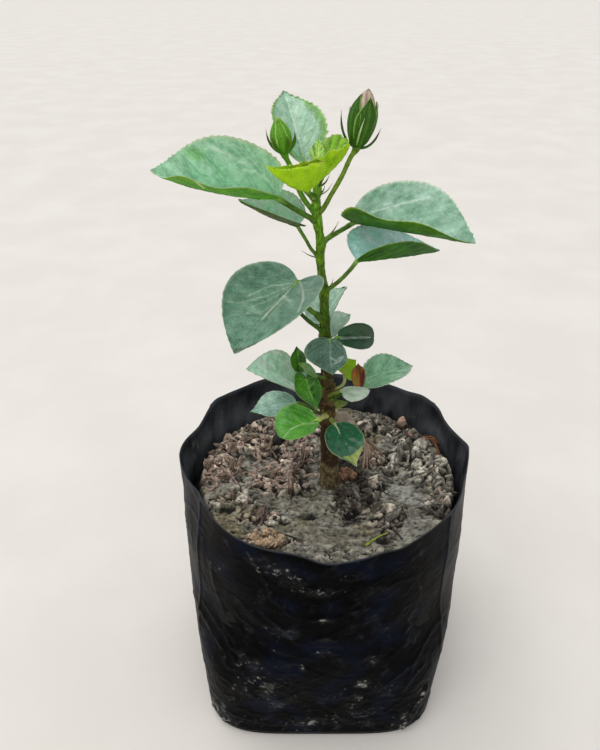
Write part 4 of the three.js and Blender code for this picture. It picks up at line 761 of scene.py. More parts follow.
def stalk_mat(name, c):
    m, nt, b = new_mat(name)
    co = node(nt, "ShaderNodeTexCoord").outputs["Object"]
    t = attr(nt, "along")
    n1 = ntex(nt, co, 900.0, 3.0)
    n2 = ntex(nt, co, 260.0, 3.0)
    col = mixc(nt, span(nt, n2, 0.35, 0.65), srgb(c[0]), srgb(c[1]))
    col = mixc(nt, calc(nt, "MULTIPLY", span(nt, t, 0.8, 0.98), 0.8), col, srgb(c[2]))
    col = mixc(nt, calc(nt, "MULTIPLY", span(nt, t, 0.0, 0.22, 1.0, 0.0), 0.6), col, srgb(c[3] if len(c) > 3 else c[0]))
    col = mixc(nt, calc(nt, "MULTIPLY", span(nt, n1, 0.62, 0.72), 0.25), col, srgb("dfe6c8"))
    nt.links.new(col, b.inputs["Base Color"])
    b.inputs["Roughness"].default_value = 0.5
    b.inputs["Specular IOR Level"].default_value = 0.25
    bump(nt, b, calc(nt, "ADD", n1, n2), 0.35, 0.0003)
    return m


GREEN = ("3c5c10", "5c8424", "7ea843")
BASE = dict(
    teeth=(0.62, 3.0), lat=5, quilt=0.42, rumple=0.40, cell=2.1, paint=[], paintlow=[], gain=1.0, gainlow=1.0, punch=1.2,
    top=dict(dark="4a8a5e", light="86b894", puff="8fbf9c", vein="a8d0ac", rim="8fb88a", line="d2e2b8", veinmix=0.40, hill=0.30, rimmix=0.25, linemix=0.75),
    low=dict(dark="3f7a0c", light="5c9c16", puff="4a8410", vein="9cc755", rim="86a83c", line="c4dc78", veinmix=0.35, hill=0.25, rimmix=0.25, linemix=0.75),
    stalk=GREEN, mat=dict(), matlow=dict(),
)


def style(**kw):
    s = {k: (dict(v) if isinstance(v, dict) else v) for k, v in BASE.items()}
    for k, v in kw.items():
        if isinstance(v, dict) and isinstance(s.get(k), dict):
            s[k].update(v)
        else:
            s[k] = v
    return s


STYLES = {
    "leaf_01": style(rimw=0.13, gain=1.62, gainlow=1.1, punch=1.35, 
        step=0.5, teeth=(0.8, 2.9), lat=4, top=dict(dark="6a9c78", light="94bc9c", puff="9cc4a4", vein="accfb0", rim="b4d4a4", line="ecf2c8", veinmix=0.20, linemix=0.95),
        low=dict(dark="3f8a0c", light="5cae18", puff="56a814", line="c8e888", veinmix=0.12),
        paint=[("E", 195, 154, 11, 6, 20, "5f9f50", 0.6),
               
               ("L", [(211, 147), (225, 153), (240, 161), (251, 166)], 1.8, "c4e0c8", 0.7), ("L", [(244, 170), (255, 172), (266, 179)], 1.4, "c0dcc4", 0.6), ("L", [(216, 141), (232, 145), (248, 150)], 1.6, "aed2b4", 0.5),
               ("L", [(193, 150), (207, 158), (226, 177)], 1.0, "4c8a58", 0.6), ("L", [(181, 155), (190, 163), (200, 174)], 0.9, "4c8a58", 0.5), ("L", [(250, 160), (262, 178), (276, 193)], 1.1, "5a9678", 0.6), ("L", [(200, 174), (230, 183), (260, 187)], 0.9, "5a9678", 0.5)],
        paintlow=[("P", [(164, 178), (176, 174), (190, 174), (196, 181), (186, 181)], "5aa014", 0.95, 0.8), ("L", [(164, 178), (178, 173), (190, 174), (197, 183), (204, 188)], 0.7, "c4e080", 0.8)]),
    "leaf_02": style(gain=1.04, gainlow=1, punch=1.3, 
        teeth=(1.3, 2.7), rimw=0.26, top=dict(dark="8cc09c", light="b0d4b4", puff="b4d8b8", vein="cce6cc", rim="6aac34", rimmix=0.9, line="d8f090", veinmix=0.25, linemix=0.95), low=dict(dark="5c9c30", light="7fb84a"),
        paint=[("P", [(303, 96), (313, 103), (322, 115), (330, 128), (327, 139), (318, 143), (320, 128), (314, 115), (305, 106)], "5a9a24", 0.8, 2.0), ("L", [(275, 98), (272, 113), (276, 126)], 2.2, "64a838", 0.7), ("L", [(289, 150), (300, 163), (304, 166)], 2.2, "6cb038", 0.8),
               ("L", [(305, 166), (299, 141), (294, 125), (291, 112)], 0.8, "d0e8d0", 0.7), ("L", [(297, 143), (304, 136), (313, 129)], 0.8, "64a070", 0.6), ("L", [(299, 147), (301, 158), (306, 168)], 0.8, "5c9868", 0.6),
               ("L", [(292, 122), (286, 113)], 0.7, "6aa678", 0.5), ("L", [(295, 118), (302, 108)], 0.7, "d0e8d0", 0.5)]),
    # painted light, in part: the bright lime undersides of leaf_03, leaf_04 and leaf_05 are partly the young leaves'
    # own colour and partly painted light shining through them; leaf_03's high top gain also lifts the inside of its cup
    # out of its shade
    "leaf_03": style(mat=dict(contrast=0.2, spots=0.0, fleck=0.05), matlow=dict(contrast=0.2, spots=0.0, fleck=0.05), gain=2.8, gainlow=1.5, punch=1.1, 
        pleat=0.34, pleats=30, teeth=(1.3, 2.0), rimw=0.24, low=dict(waves=0.14, dark="8cbc08", light="b4e018", puff="a4d010", vein="bcdc3c", rim="c4e450", line="dcf83c", veinmix=0.25), top=dict(waves=0.14, dark="9ccc18", light="c4ec40", puff="bce838", vein="bcd84c", rim="c4ec40", line="dcf83c"),
        paintlow=[]),
    "leaf_04": style(mat=dict(contrast=0.25, spots=0.0, fleck=0.05), matlow=dict(contrast=0.25, spots=0.0, fleck=0.05), gain=1.3, gainlow=1.5, punch=1.2, 
        pleat=0.6, pleats=26, teeth=(1.1, 2.0), rimw=0.2, low=dict(waves=0.22, dark="86b40c", light="b0d81c", puff="a8d014", vein="c8e454", rim="cde868", line="e6f4a0", veinmix=0.3), top=dict(waves=0.28, dark="6aa41c", light="a4d440", puff="90c03c", vein="c8e070", rim="c4e070", line="e6f2a8", veinmix=0.5)),
    "leaf_05": style(gain=1.2, gainlow=1.2, punch=1.2, 
        pleat=0.8, pleats=20, teeth=(1.0, 1.9), rimw=0.2, low=dict(waves=0.5, dark="6a9c14", light="98c430", puff="a0c830", vein="c8e464", rim="cde868", line="e6f4a0"), top=dict(waves=0.6, dark="5a9a14", light="98cc34", puff="86b82c", vein="c8e070", rim="c4e070", line="e6f2a8", veinmix=0.6)),
    # painted light, in part: the near-white top colours and high gain are partly the leaf's own pale colour, partly
    # painted sky sheen and light lifting the top out of the shade of leaf_01
    "leaf_06": style(mat=dict(coat=1.0, coatrough=0.12), gain=2.6, gainlow=1, punch=1.2, 
        top=dict(dark="94c8a2", light="c4e8cc", puff="ccecd4", vein="7cac86", line="f0f6ea", veinmix=0.45), low=dict(dark="324a06", light="4a6810", puff="44620c", vein="6f8a30", rim="5a7818", line="c8d49a", linemix=0.7),
        paint=[("L", [(288, 196), (296, 204), (303, 212)], 1.6, "7fa48c", 0.7), ("L", [(264, 199), (280, 204), (296, 216)], 0.9, "a8c4b0", 0.6), ("L", [(292, 193), (302, 199)], 1.2, "7f9f88", 0.6), ]),
    "leaf_07": style(rimw=0.12, gain=0.95, gainlow=1, punch=1.35, 
        step=0.5, teeth=(0.75, 3.0), lat=4, top=dict(dark="5c9a74", light="9cc4ac", puff="a4ccb2", vein="b8d8c0", rim="b4d4b0", line="f0f6d8", veinmix=0.18, linemix=0.9), low=dict(dark="2f6606", light="4a860c", puff="42800a", vein="6aa020", rim="74a824", line="d0ea70", veinmix=0.2),
        paint=[
               
               # painted highlight: the short pale stroke at 384 to 391, 203 to 205 is a highlight streak
               ("L", [(416, 218), (436, 212.5), (450, 211.5), (464, 216)], 0.9, "5c9474", 0.75), ("L", [(372, 212), (400, 204), (430, 197)], 0.8, "d8ecda", 0.7), ("L", [(425, 214), (432, 204), (436, 197)], 0.8, "6aa286", 0.6), ("L", [(384, 205), (391, 203)], 1.3, "c0dccc", 0.8),
               ]),
    # painted light, in part: the pale top colours and high gain are partly the leaf's own colour, partly painted sky
    # sheen and light lifting the top out of the shade of leaf_07
    "leaf_08": style(mat=dict(coat=1.0, coatrough=0.12), gain=3.6, gainlow=0.78, punch=1.35, 
        top=dict(dark="6a9a94", light="a4c8c0", puff="a4c8c0", vein="c4dcd6", line="ccdcc8", veinmix=0.15), low=dict(dark="255c06", light="3c8410", puff="347a0c", vein="5a9a24", rim="5c9a24", line="c4e080", veinmix=0.15),
        paint=[],
        paintlow=[]),
    "leaf_09": style(gain=0.76, gainlow=1, punch=1.3, 
        step=0.5, teeth=(0.32, 3.6), lat=5, top=dict(dark="4f8a68", light="86b296", puff="8cb69c", vein="b4d4b8", rim="94b894", line="c8d8b8", veinmix=0.20), low=dict(dark="2c5a14", light="447a20"),
        paint=[
               
               
               
               
               ("L", [(265, 322), (270, 312), (275, 306)], 1.4, "3f7048", 0.8), 
               ("L", [(281, 312), (282, 322), (277, 334)], 1.1, "4c7c50", 0.7), 
               ("L", [(299, 281), (303, 290), (303, 300), (298, 312)], 0.8, "dcead0", 0.85), 
               ("L", [(304.5, 291), (312, 289), (319, 288)], 0.6, "a8c8a4", 0.7), ("L", [(304.5, 294), (312, 293), (318, 292)], 0.6, "a0c09c", 0.6), 
               ("L", [(295, 283), (270, 286), (248, 296)], 0.7, "c0dcc0", 0.75), ("L", [(293, 285), (266, 296), (240, 303), (228, 302)], 0.7, "bcd8bc", 0.7), ("L", [(291, 287), (270, 300), (248, 308)], 0.7, "bcd8bc", 0.6), ("L", [(286, 296), (262, 312), (246, 313)], 0.7, "bcd8bc", 0.6), ("L", [(297, 281), (284, 296), (275, 306), (262, 319)], 0.7, "d0e4c8", 0.8), ("L", [(298, 280), (286, 292), (272, 300)], 0.6, "4c8460", 0.6),
               ("L", [(268, 318), (276, 309), (288, 297)], 1.0, "a0c49c", 0.6), ("L", [(283, 296), (290, 301)], 1.2, "d8ead4", 0.6), ("L", [(233, 351), (246, 348), (258, 342)], 0.9, "5a3c2c", 0.8), ("L", [(229, 350), (236, 352.5)], 1.0, "6a4436", 0.8)],
        mat=dict(rough=0.34, netmix=0.07)),
    "leaf_10": style(top=dict(dark="6f966f", light="8fb28f", puff="9fc09f", vein="c9dcc4"), stalk=("2f4c10", "44661c", "6a8c3a", "3a5814")),
    # painted sheen, in part: the pale top colours and raised gain are partly the leaf's own colour and partly painted
    # sky sheen
    "leaf_11": style(gain=1.3,
        top=dict(dark="6f9a80", light="a4c4ac", puff="b0ccb8", vein="c6dccb", line="dcead8"),
        paint=[("L", [(331, 305), (338, 296), (344, 289)], 0.8, "b4d0bc", 0.7)],
        paintlow=[]),
    # painted sheen, in part: the pale top colours and raised gain are partly the leaf's own colour and partly painted
    # sky sheen
    "leaf_12": style(gain=1.8,
        top=dict(dark="94b49c", light="c8dcd0", puff="d0dcd4", vein="dce8de", line="dceadc"),
        paint=[("L", [(338, 330), (344, 320), (350, 314)], 0.8, "aac8a8", 0.6)]),
    "leaf_13": style(gain=0.66, gainlow=1, punch=1.5, 
        teeth=(0.08, 4), top=dict(dark="0c4a1c", light="1c6230", puff="1e6432", vein="2f7a48", rim="2f6a4c", line="7fa088", veinmix=0.2, linemix=0.6),
        paint=[("L", [(340, 338.5), (352, 338), (370, 337.5)], 0.8, "8fb49c", 0.95), ],
        mat=dict(fleck=0.05, spots=0.05, netmix=0.05)),
    "leaf_14": style(gain=0.80, gainlow=1, punch=1.5, 
        teeth=(0.1, 4), top=dict(dark="3c6850", light="5c8870", puff="648e78", vein="8fb49a", rim="84a884", line="b4cca4", veinmix=0.22),
        paint=[("L", [(331, 358), (336, 361), (341, 357)], 0.8, "b4d0c0", 0.8), ("L", [(334, 364), (340, 361), (343, 357)], 0.7, "c4d8cc", 0.8),
               ("L", [(331, 345), (330, 355), (332, 366)], 0.8, "8fb098", 0.6), ("L", [(307, 346), (306, 356), (313, 366), (324, 371)], 1.0, "8fb094", 0.6), ],
        mat=dict(rough=0.3, fleck=0.1, spots=0.1)),
    "leaf_15": style(top=dict(dark="345a46", light="4c7460", puff="6a9080", vein="9fbfa8", rim="8fb58e")),
    # painted light, in part: the pale top colours and high gain are partly the leaf's own colour, partly painted sky
    # sheen and light lifting the top out of the shade of leaf_09
    "leaf_16": style(mat=dict(coat=1.0, coatrough=0.12), gain=3.2, gainlow=1, punch=1.2, 
        teeth=(0.45, 3.4), top=dict(dark="94c0a0", light="b8dcbc", puff="bce0c0", vein="84b090", rim="c8e6b8", line="e4f2d0", veinmix=0.35),
        paint=[("L", [(247, 370), (262, 372), (280, 378), (292, 386)], 0.8, "6f9f84", 0.8), ("L", [(263, 372), (266, 364), (272, 356)], 0.7, "84b094", 0.7), ("L", [(274, 376), (278, 366), (284, 357)], 0.7, "84b094", 0.6), ("L", [(266, 373), (274, 382)], 0.7, "84b094", 0.6),
               ("L", [(270, 353), (278, 353), (288, 356)], 1.2, "cfe6c8", 0.6), ("L", [(246, 370), (250, 374), (258, 377)], 1.2, "e4d8c0", 0.5)]),
    "leaf_17": style(top=dict(dark="5c9678", light="85b592", puff="94c2a0", vein="6f9f80", rim="a8c698")),
    "leaf_18": style(gain=0.8, gainlow=1, punch=1.3, 
        teeth=(0.2, 4), top=dict(dark="24560a", light="3f7c12", puff="3c7a10", vein="5a9a24", rim="6fa030", line="9cc444", veinmix=0.15), low=dict(dark="2c5a08", light="4c8f10"),
        # painted light and shade: the bright patch lightens the left half as lit, while the right half keeps the darker
        # colour of its shade side
        paint=[("P", [(291, 358), (297, 350), (301, 348), (298, 356), (296, 368), (297, 378), (292, 374)], "5a9c18", 0.8, 1.2), ("E", 300, 375, 4, 3, 0, "4c8a14", 0.6)]),
    "leaf_19": style(gain=1.1, gainlow=1, punch=1.3, 
        teeth=(0.2, 4), top=dict(dark="5f9a4c", light="9cc480", puff="a4c88c", vein="8fb870", line="b4d48c", veinmix=0.2), low=dict(dark="2c5a08", light="4c8f10"),
        paint=[("P", [(297, 362), (304, 361), (309, 366), (303, 370), (299, 369)], "7cb04c", 0.8, 1.0), ]),
    "leaf_20": style(gain=0.82, gainlow=1, punch=1.6, 
        teeth=(0.12, 4), lat=4, top=dict(dark="27680a", light="3f8c10", puff="3c880e", vein="7fc04c", rim="62a022", line="a4c860", veinmix=0.25), low=dict(dark="2f7208", light="3f8f0a", puff="46960f", vein="8fcc5c", rim="7fae50"),
        paint=[("P", [(296, 376), (303, 375), (307, 385), (310, 395), (312, 402), (304, 398), (297, 388)], "4f9c18", 0.7, 2.0), ("L", [(306, 380), (309, 390), (313, 400)], 0.7, "6fb43c", 0.7), ("L", [(308, 388), (314, 383)], 0.6, "8fcc5c", 0.8)]),
    "leaf_21": style(gain=1.0, gainlow=1, punch=1.3, 
        teeth=(0.4, 3.4), top=dict(dark="6a9a84", light="a4c8b4", puff="acceba", vein="c4dccc", rim="cfe6cf", line="e0ecdc", veinmix=0.28),
        paint=[("L", [(250, 413), (266, 406), (282, 401), (292, 402)], 0.7, "7fa890", 0.6), ("L", [(252, 415), (262, 417), (268, 417)], 0.9, "dceadc", 0.7)]),
    "leaf_22": style(gain=1.08, gainlow=1, punch=1.4, 
        teeth=(0.25, 3.0), lat=4, top=dict(dark="3f9418", light="62b034", puff="5cac2c", vein="9cd070", rim="8fc860", line="c4e090", veinmix=0.12), low=dict(dark="3f9a12", light="4fa61e"),
        paint=[("E", 300, 415, 12, 5, 20, "3c9010", 0.6), ("E", 282, 420, 4, 9, 0, "6ab848", 0.6), ("L", [(317, 423), (302, 424), (290, 430), (284, 437)], 0.7, "a4d880", 0.8), ("L", [(303, 424), (296, 418), (290, 410)], 0.6, "8fcc60", 0.6), ("E", 290, 411, 6, 3, -20, "50a02c", 0.5)],
        stalk=("a8b060", "c4c878", "b4c468", "8f9a4c")),
    "leaf_23": style(gain=1.05, gainlow=1, punch=1.3, 
        teeth=(0.75, 3.0), lat=4, top=dict(dark="4c8c5c", light="84b48c", puff="8cba94", vein="a0c8a4", rim="d8ead8", line="e4f2da", veinmix=0.28),
        paint=[("L", [(404, 357), (409, 361), (412, 365)], 2.0, "b8dcac", 0.8), ("L", [(367, 378), (384, 372), (398, 362)], 0.6, "8fc09a", 0.7), 
               ("L", [(380, 356), (378, 364), (374, 372)], 0.6, "8fc09a", 0.6), ("L", [(394, 355), (390, 362), (384, 370)], 0.6, "8fc09a", 0.6)]),
    "leaf_24": style(gain=1.3, gainlow=1.3, 
        teeth=(0.2, 3), top=dict(dark="7c4a14", light="a8702a", puff="a8702a", vein="6a2c14", rim="7a3018", line="8a4424", veinmix=0.2), low=dict(dark="7c4a14", light="a8702a", puff="a8702a", vein="6a2c14", rim="7a3018", line="8a4424"),
        paint=[("P", [(361, 376), (364, 370), (366, 380), (366, 387), (360, 389)], "5c1224", 0.95, 1.2), ("L", [(357, 366), (360, 372), (361, 382)], 1.2, "4c2010", 0.8), ("E", 355, 382, 3, 6, 0, "8a7a2c", 0.7), ("E", 358, 366, 4, 4, 0, "5f3c12", 0.6)],
        paintlow=[("P", [(361, 376), (364, 370), (366, 380), (366, 387), (360, 389)], "5c1224", 0.95, 1.2), ("L", [(357, 366), (360, 372), (361, 382)], 1.2, "4c2010", 0.8), ("E", 355, 382, 3, 6, 0, "8a7a2c", 0.7)],
        mat=dict(netmix=0.05)),
    "leaf_25": style(mat=dict(contrast=0.25, spots=0.05, fleck=0.05, netmix=0.06), matlow=dict(contrast=0.25, spots=0.05, fleck=0.05, netmix=0.06), gain=1.6, gainlow=1.6, 
        teeth=(0.2, 3), top=dict(dark="84b814", light="a0d020", puff="a0d020", vein="b8dc50", rim="b8d860", line="d8ec90", veinmix=0.2), low=dict(dark="84b814", light="a0d020", puff="a0d020", vein="b8dc50", rim="b8d860", line="d8ec90", veinmix=0.2),
        paint=[("E", 347, 358, 4, 4, 0, "b4dc40", 0.6), ("E", 349, 368, 4, 4, 0, "7cae14", 0.5), ("P", [(341, 372), (346, 370), (346, 386), (342, 388)], "b8b860", 0.8, 1.0)],
        paintlow=[("E", 347, 358, 4, 4, 0, "b4dc40", 0.6), ("E", 349, 368, 4, 4, 0, "7cae14", 0.5), ("P", [(341, 372), (346, 370), (346, 386), (342, 388)], "b8b860", 0.8, 1.0)], stalk=("a4a860", "c4c488", "a8c040")),
    "leaf_26": style(
        teeth=(0.2, 3), top=dict(dark="b0c4a8", light="d8e4d4", puff="dce6d8", vein="94ac8c", rim="e0e8d8", line="eef4e4", veinmix=0.25), paint=[("L", [(345, 392), (354, 396), (366, 392)], 0.7, "8fa888", 0.6), ], stalk=("5f7020", "7f8c3a", "a8b484")),
    "leaf_27": style(teeth=(0.15, 3), top=dict(dark="4c6410", light="7c9028", puff="7a8a2c", vein="a0a850", rim="a0a850", line="b4b868"), low=dict(dark="4c6410", light="7c9028", line="b4b868")),
    "leaf_28": style(gain=1.15, gainlow=1, punch=1.3, 
        teeth=(0.1, 4), lat=4, top=dict(dark="10502c", light="1f6a40", puff="1e6a3e", vein="2c7e50", rim="5a8060", line="c8cc98", veinmix=0.18, linemix=0.9),
        paint=[
               ("L", [(335, 423), (338, 429), (340, 434)], 0.6, "b4c8a4", 0.95),
               ("P", [(343, 457), (352, 455), (361, 447), (363, 446), (358, 462), (357, 466), (350, 461)], "8a9c48", 0.9, 0.8), ("L", [(325, 444), (328, 450), (336, 456), (346, 461), (356, 466)], 0.8, "c4c890", 0.8)],
        mat=dict(netmix=0.04, fleck=0.05, spots=0.04, rough=0.22, coat=0.6, coatrough=0.06), stalk=("6a7a30", "8c9a4c", "a8b878")),
    "leaf_29": style(gain=0.8, gainlow=0.8, teeth=(0.3, 3), top=dict(dark="a48c78", light="c4ac98", puff="ccb4a4", vein="9c8470", rim="b4a468", line="b8b470", veinmix=0.2), low=dict(dark="a48c78", light="c4ac98", puff="ccb4a4", vein="9c8470", rim="b4a468", line="b8b470", veinmix=0.2), paint=[("L", [(349, 412), (355, 420), (358, 427)], 1.6, "a4a83c", 0.8)]),
}


def leaf_colour(c, A, xy, pix, ops, gain, seed, punch):
    n = len(xy)
    q = np.column_stack([xy, np.full(n, seed)])
    m1 = fbm(q * [0.16, 0.16, 1], 4)
    m2 = fbm(q * [0.55, 0.55, 1] + 5, 3)
    col = lin(c["dark"]) + (lin(c["light"]) - lin(c["dark"])) * np.clip(0.5 + 1.05 * m1 + 0.35 * m2, 0, 1)[:, None]
    col = col + (lin(c["puff"]) - col) * (A["near"] * c["hill"])[:, None]
    col = brush(col, pix, ops, fbm(q * [0.35, 0.35, 1] + 9, 3))
    # painted light and shade: the pleats' crests are lightened and their troughs darkened
    col = col * (1 + c.get("waves", 0.0) * A["wave"])[:, None]
    col = col + (lin(c["vein"]) - col) * (np.clip(A["vein"], 0, 1) * c["veinmix"])[:, None]
    # painted shade: the low ground right beside the veins is darkened
    col = col * (1 - 0.16 * np.exp(-((A["near"] - 0.22) / 0.14) ** 2))[:, None]
    col = col + (lin(c["rim"]) - col) * (A["rim"] * c["rimmix"])[:, None]
    mean = col.mean(0)
    col = mean * (np.maximum(col, 1e-4) / mean) ** punch * gain
    peak = col.max(1)
    # keeps the hue where a colour would run out of range
    col = np.clip(col * np.where(peak > 0.72, (0.72 + 0.25 * (peak - 0.72)) / np.maximum(peak, 1e-6), 1.0)[:, None], 0, 0.9)
    return col + (lin(c["line"]) * 0.75 - col) * (A["rimline"] * c["linemix"])[:, None]


for name, row in ROWS.items():
    st = STYLES[name]
    bl, V, Q, T, ids, A, uv = blade_mesh(name, row, st)
    half_n = len(V) // 2
    pixv = project(V)
    seed = float(seeded(name).random() * 20)
    At = {k: v[:half_n] for k, v in A.items()}
    xy = uv[:half_n] * 20.0
    tint_v = np.vstack([leaf_colour(st["top"], At, xy, pixv[:half_n], st["paint"], st["gain"], seed, st["punch"]),
                        leaf_colour(st["low"], At, xy, pixv[half_n:], st["paintlow"], st["gainlow"], seed + 3, st["punch"])])
    # the stalk leaves the stem, swells where it meets the blade and runs on as the midrib
    foot, rs = stem_at(row["node"])
    B = np.array(row["base"], float)
    ahead = [bl.point([x], [0.0], 1, np.zeros(1))[0] for x in (0.03, 0.10, 0.20)]
    nrm = bl.n
    pts = [foot] + [np.array(v, float) for v in row["via"]] + [B - 0.6 * nrm]
    p1 = catmull(pts, 40)
    s = np.linspace(0, 1, 40)
    r_leaf, r_stem = row["stalk"]
    rad = r_stem + (r_leaf - r_stem) * s
    dist0 = np.linalg.norm(p1 - p1[0], axis=1)
    rad = rad * (1 + 0.45 * np.exp(-((dist0 - rs) / 1.6) ** 2) * (rs > 1.2)) * (1 + 0.22 * np.exp(-((1 - s) * len(s) * 0.12) ** 2))
    tail = np.array([a - k * nrm for a, k in zip(ahead, (0.66, 0.58, 0.5))])
    path = np.vstack([p1, tail])
    rad = np.concatenate([rad, [r_leaf * 0.72, r_leaf * 0.36, r_leaf * 0.14]])
    ph = float(seeded(name + "s").random() * 9)
    tv, tq, tt, share = tube(path, rad, 14, relief=lambda th, k: 1 + 0.05 * np.sin(3 * th + ph) + 0.03 * np.sin(k * 0.9 + 2 * th + ph))
    z = np.zeros(len(tv))
    A = {k: A[k] for k in ("vein",)}
    A2 = {k: z for k in A}
    A["along"] = np.zeros(len(V))
    A2["along"] = np.clip(share * 1.04, 0, 1)
    n0 = len(V)
    V = np.vstack([V, tv])
    Q = np.vstack([Q, tq + n0])
    T = np.vstack([T, tt + n0])
    nq, ntr = len(Q) - len(tq), len(T) - len(tt)
    ids = np.concatenate([ids[:nq], np.full(len(tq), 2), ids[nq:], np.full(len(tt), 2)])
    A = {k: np.concatenate([A[k], A2[k]]) for k in A}
    A["tint"] = np.vstack([tint_v, np.tile(lin(st["stalk"][1]), (len(tv), 1))])
    uv = np.vstack([uv, np.stack([share * 2, share], 1)])
    mats = [leaf_mat(name + "_top", dict(st["mat"], seed=seed, net_colour=st["top"]["vein"])), leaf_mat(name + "_underside", dict(st["matlow"], seed=seed, net_colour=st["low"]["vein"]), True), stalk_mat(name + "_stalk", st["stalk"])]
    ob = build(name + "_foliage", V, Q, T, mats, ids, A, uv)
    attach(ob, "root")
    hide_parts(name)

# ------------------------------------------------------------------ nursery bag
RIM = np.array([
    [0.7, 82.7, 150.9], [3.5, 83.2, 152.2], [10.4, 82.1, 150.8], [18, 81.6, 149.8], [24, 81.8, 150.8], [29.4, 82.5, 154.2],
    [33.5, 82.6, 155.3], [40, 82.6, 156.2], [48, 82.2, 154.5], [55, 82.1, 154.5], [70, 82.1, 154.9], [88, 82.2, 155.4], [104, 82.3, 155.8], [119, 82.3, 156], [128, 82.3, 155.1],
    [137.5, 82.5, 155.4], [144, 82.7, 155.6], [149, 82.2, 152.8], [155, 81.5, 149.7], [160, 81.2, 148.6], [174, 82.6, 150.7],
    [180, 82.7, 149.9], [186, 81.0, 148.0], [191, 79.2, 147.9], [208.5, 77, 154], [218.5, 78.7, 153.1], [224, 79.7, 151.3],
    [234, 80.4, 149.7], [242, 80.6, 149.5], [250, 80.5, 149.9], [257, 80.4, 150.5], [262, 80.6, 149.5], [267, 81.2, 147.4],
    [271, 81.3, 146.7], [275, 81.2, 147.3], [282, 80.9, 148.2], [289, 80.6, 149.3], [296, 80.8, 148.6], [302, 80.5, 149.5],
    [310, 80.2, 150.2], [318.5, 80, 150.1], [326, 79.9, 149.7], [333.5, 79.3, 149.4], [344, 78.8, 147.8], [354, 80.8, 147.8],
])


def ring_value(deg, col):
    """Smooth closed curve through one column of the rim table."""
    d = np.asarray(deg, float) % 360
    k = RIM[:, 0]
    v = RIM[:, col]
    K = np.concatenate([k[-2:] - 360, k, k[:3] + 360])
    V = np.concatenate([v[-2:], v, v[:3]])
    m = np.zeros(len(K))
    m[1:-1] = (V[2:] - V[:-2]) / (K[2:] - K[:-2])
    i = np.clip(np.searchsorted(K, d, side="right") - 1, 1, len(K) - 3)
    h = K[i + 1] - K[i]
    t = (d - K[i]) / h
    return ((2 * t ** 3 - 3 * t ** 2 + 1) * V[i] + (t ** 3 - 2 * t ** 2 + t) * h * m[i]
            + (-2 * t ** 3 + 3 * t ** 2) * V[i + 1] + (t ** 3 - t ** 2) * h * m[i + 1])


def wall(deg, h, inset=0.0):
    """Point of the bag's wall at an angle and a share of its height."""
    deg, h = np.broadcast_arrays(np.asarray(deg, float), np.asarray(h, float))
    w = 1 - smooth(0, 0.62, h)
    hx, hy, p = 81 - 11.5 * w, 81 - 6.5 * w, 2 + 2.8 * w
    a = np.radians(deg + 2.6 * w)
    r = ((np.abs(np.cos(a)) / hx) ** p + (np.abs(np.sin(a)) / hy) ** p) ** (-1 / p)
    r = r * (1 - 0.018 * (1 - smooth(0, 0.03, h)))
    rim = smooth(0.78, 1, h)
    r = r * (1 - rim) + ring_value(deg, 1) * rim - inset
    z = h * (150 * (1 - rim) + ring_value(deg, 2) * rim)
    return np.stack([-1.8 * w + r * np.cos(a), r * np.sin(a), z], -1)


def line_field(uv, pts, width):
    """How close flat points are to a chain of points, 1 on it, and the signed side."""
    best = np.full(len(uv), 1e9)
    sgn = np.zeros(len(uv))
    for a, c in zip(pts[:-1], pts[1:]):
        a, c = np.asarray(a, float), np.asarray(c, float)
        ab = c - a
        t = np.clip(((uv - a) @ ab) / (ab @ ab), 0, 1)
        d = uv - (a + t[:, None] * ab)
        dist = np.hypot(d[:, 0], d[:, 1])
        s = ab[0] * d[:, 1] - ab[1] * d[:, 0]
        near = dist < best
        sgn = np.where(near, np.sign(s), sgn)
        best = np.where(near, dist, best)
    return np.exp(-(best / width) ** 2), sgn * best


NA, NH = 440, 152
dg, hh = np.meshgrid(np.linspace(0, 360, NA, endpoint=False), np.concatenate([np.linspace(0, 0.045, 9)[:-1], np.linspace(0.045, 1, NH - 8)]), indexing="xy")
dg, hh = dg.ravel(), hh.ravel()
base_pts = wall(dg, hh)
outv = wall(dg, hh, -1.0) - base_pts
outv /= np.linalg.norm(outv, axis=1)[:, None]
pix = project(base_pts)
front = ((base_pts - EYE) * outv).sum(1) < 0
arc = np.radians(dg) * 80.0                       # mm round the bag
hz = hh * 150.0
c3 = np.stack([np.cos(np.radians(dg)) * 80, np.sin(np.radians(dg)) * 80, hz], 1)

push = np.zeros(len(dg))
# the fill bulges the film here and there
push += 0.9 * fbm(c3 / 34.0 + 5.1, 3) * smooth(0.03, 0.2, hh) * (1 - smooth(0.82, 0.95, hh))
# crinkles: thin sharp ridges over flatter facets, and a few longer drag folds
wq = c3 + 5.0 * np.stack([fbm(c3 / 13.0 + 60.0, 2), fbm(c3 / 13.0 + 70.0, 2), fbm(c3 / 13.0 + 80.0, 2)], 1)
foot_w = 1 - smooth(0.05, 0.6, hh)
ridge1 = np.clip(1 - np.abs(noise(wq / [15.0, 15.0, 11.0] + 2.2)) * 5.5, 0, 1)
ridge2 = np.clip(1 - np.abs(noise(wq / [7.0, 7.0, 5.0] + 9.2)) * 4.5, 0, 1)
ridge3 = np.clip(1 - np.abs(noise(np.stack([(arc + 0.9 * hz) / 9.0, (hz - 0.9 * arc * 0.4) / 40.0, np.full(len(arc), 4.4)], 1) + 0.0)) * 7.0, 0, 1) * (np.abs((dg - 90 + 180) % 360 - 180) > 4)
gate = smooth(-0.15, 0.45, noise(c3 / 30.0 + 3.3))
push += (0.34 * ridge1 * (0.4 + 0.6 * gate) + 0.20 * ridge2 * (0.35 + 0.65 * foot_w)) * smooth(0.01, 0.08, hh) * (1 - 0.8 * smooth(0.86, 1.0, hh))
push += 0.22 * ridge3 * smooth(0.0, 0.5, noise(c3 / 24.0 + 15.0)) * smooth(0.05, 0.15, hh) * (1 - smooth(0.8, 0.95, hh))
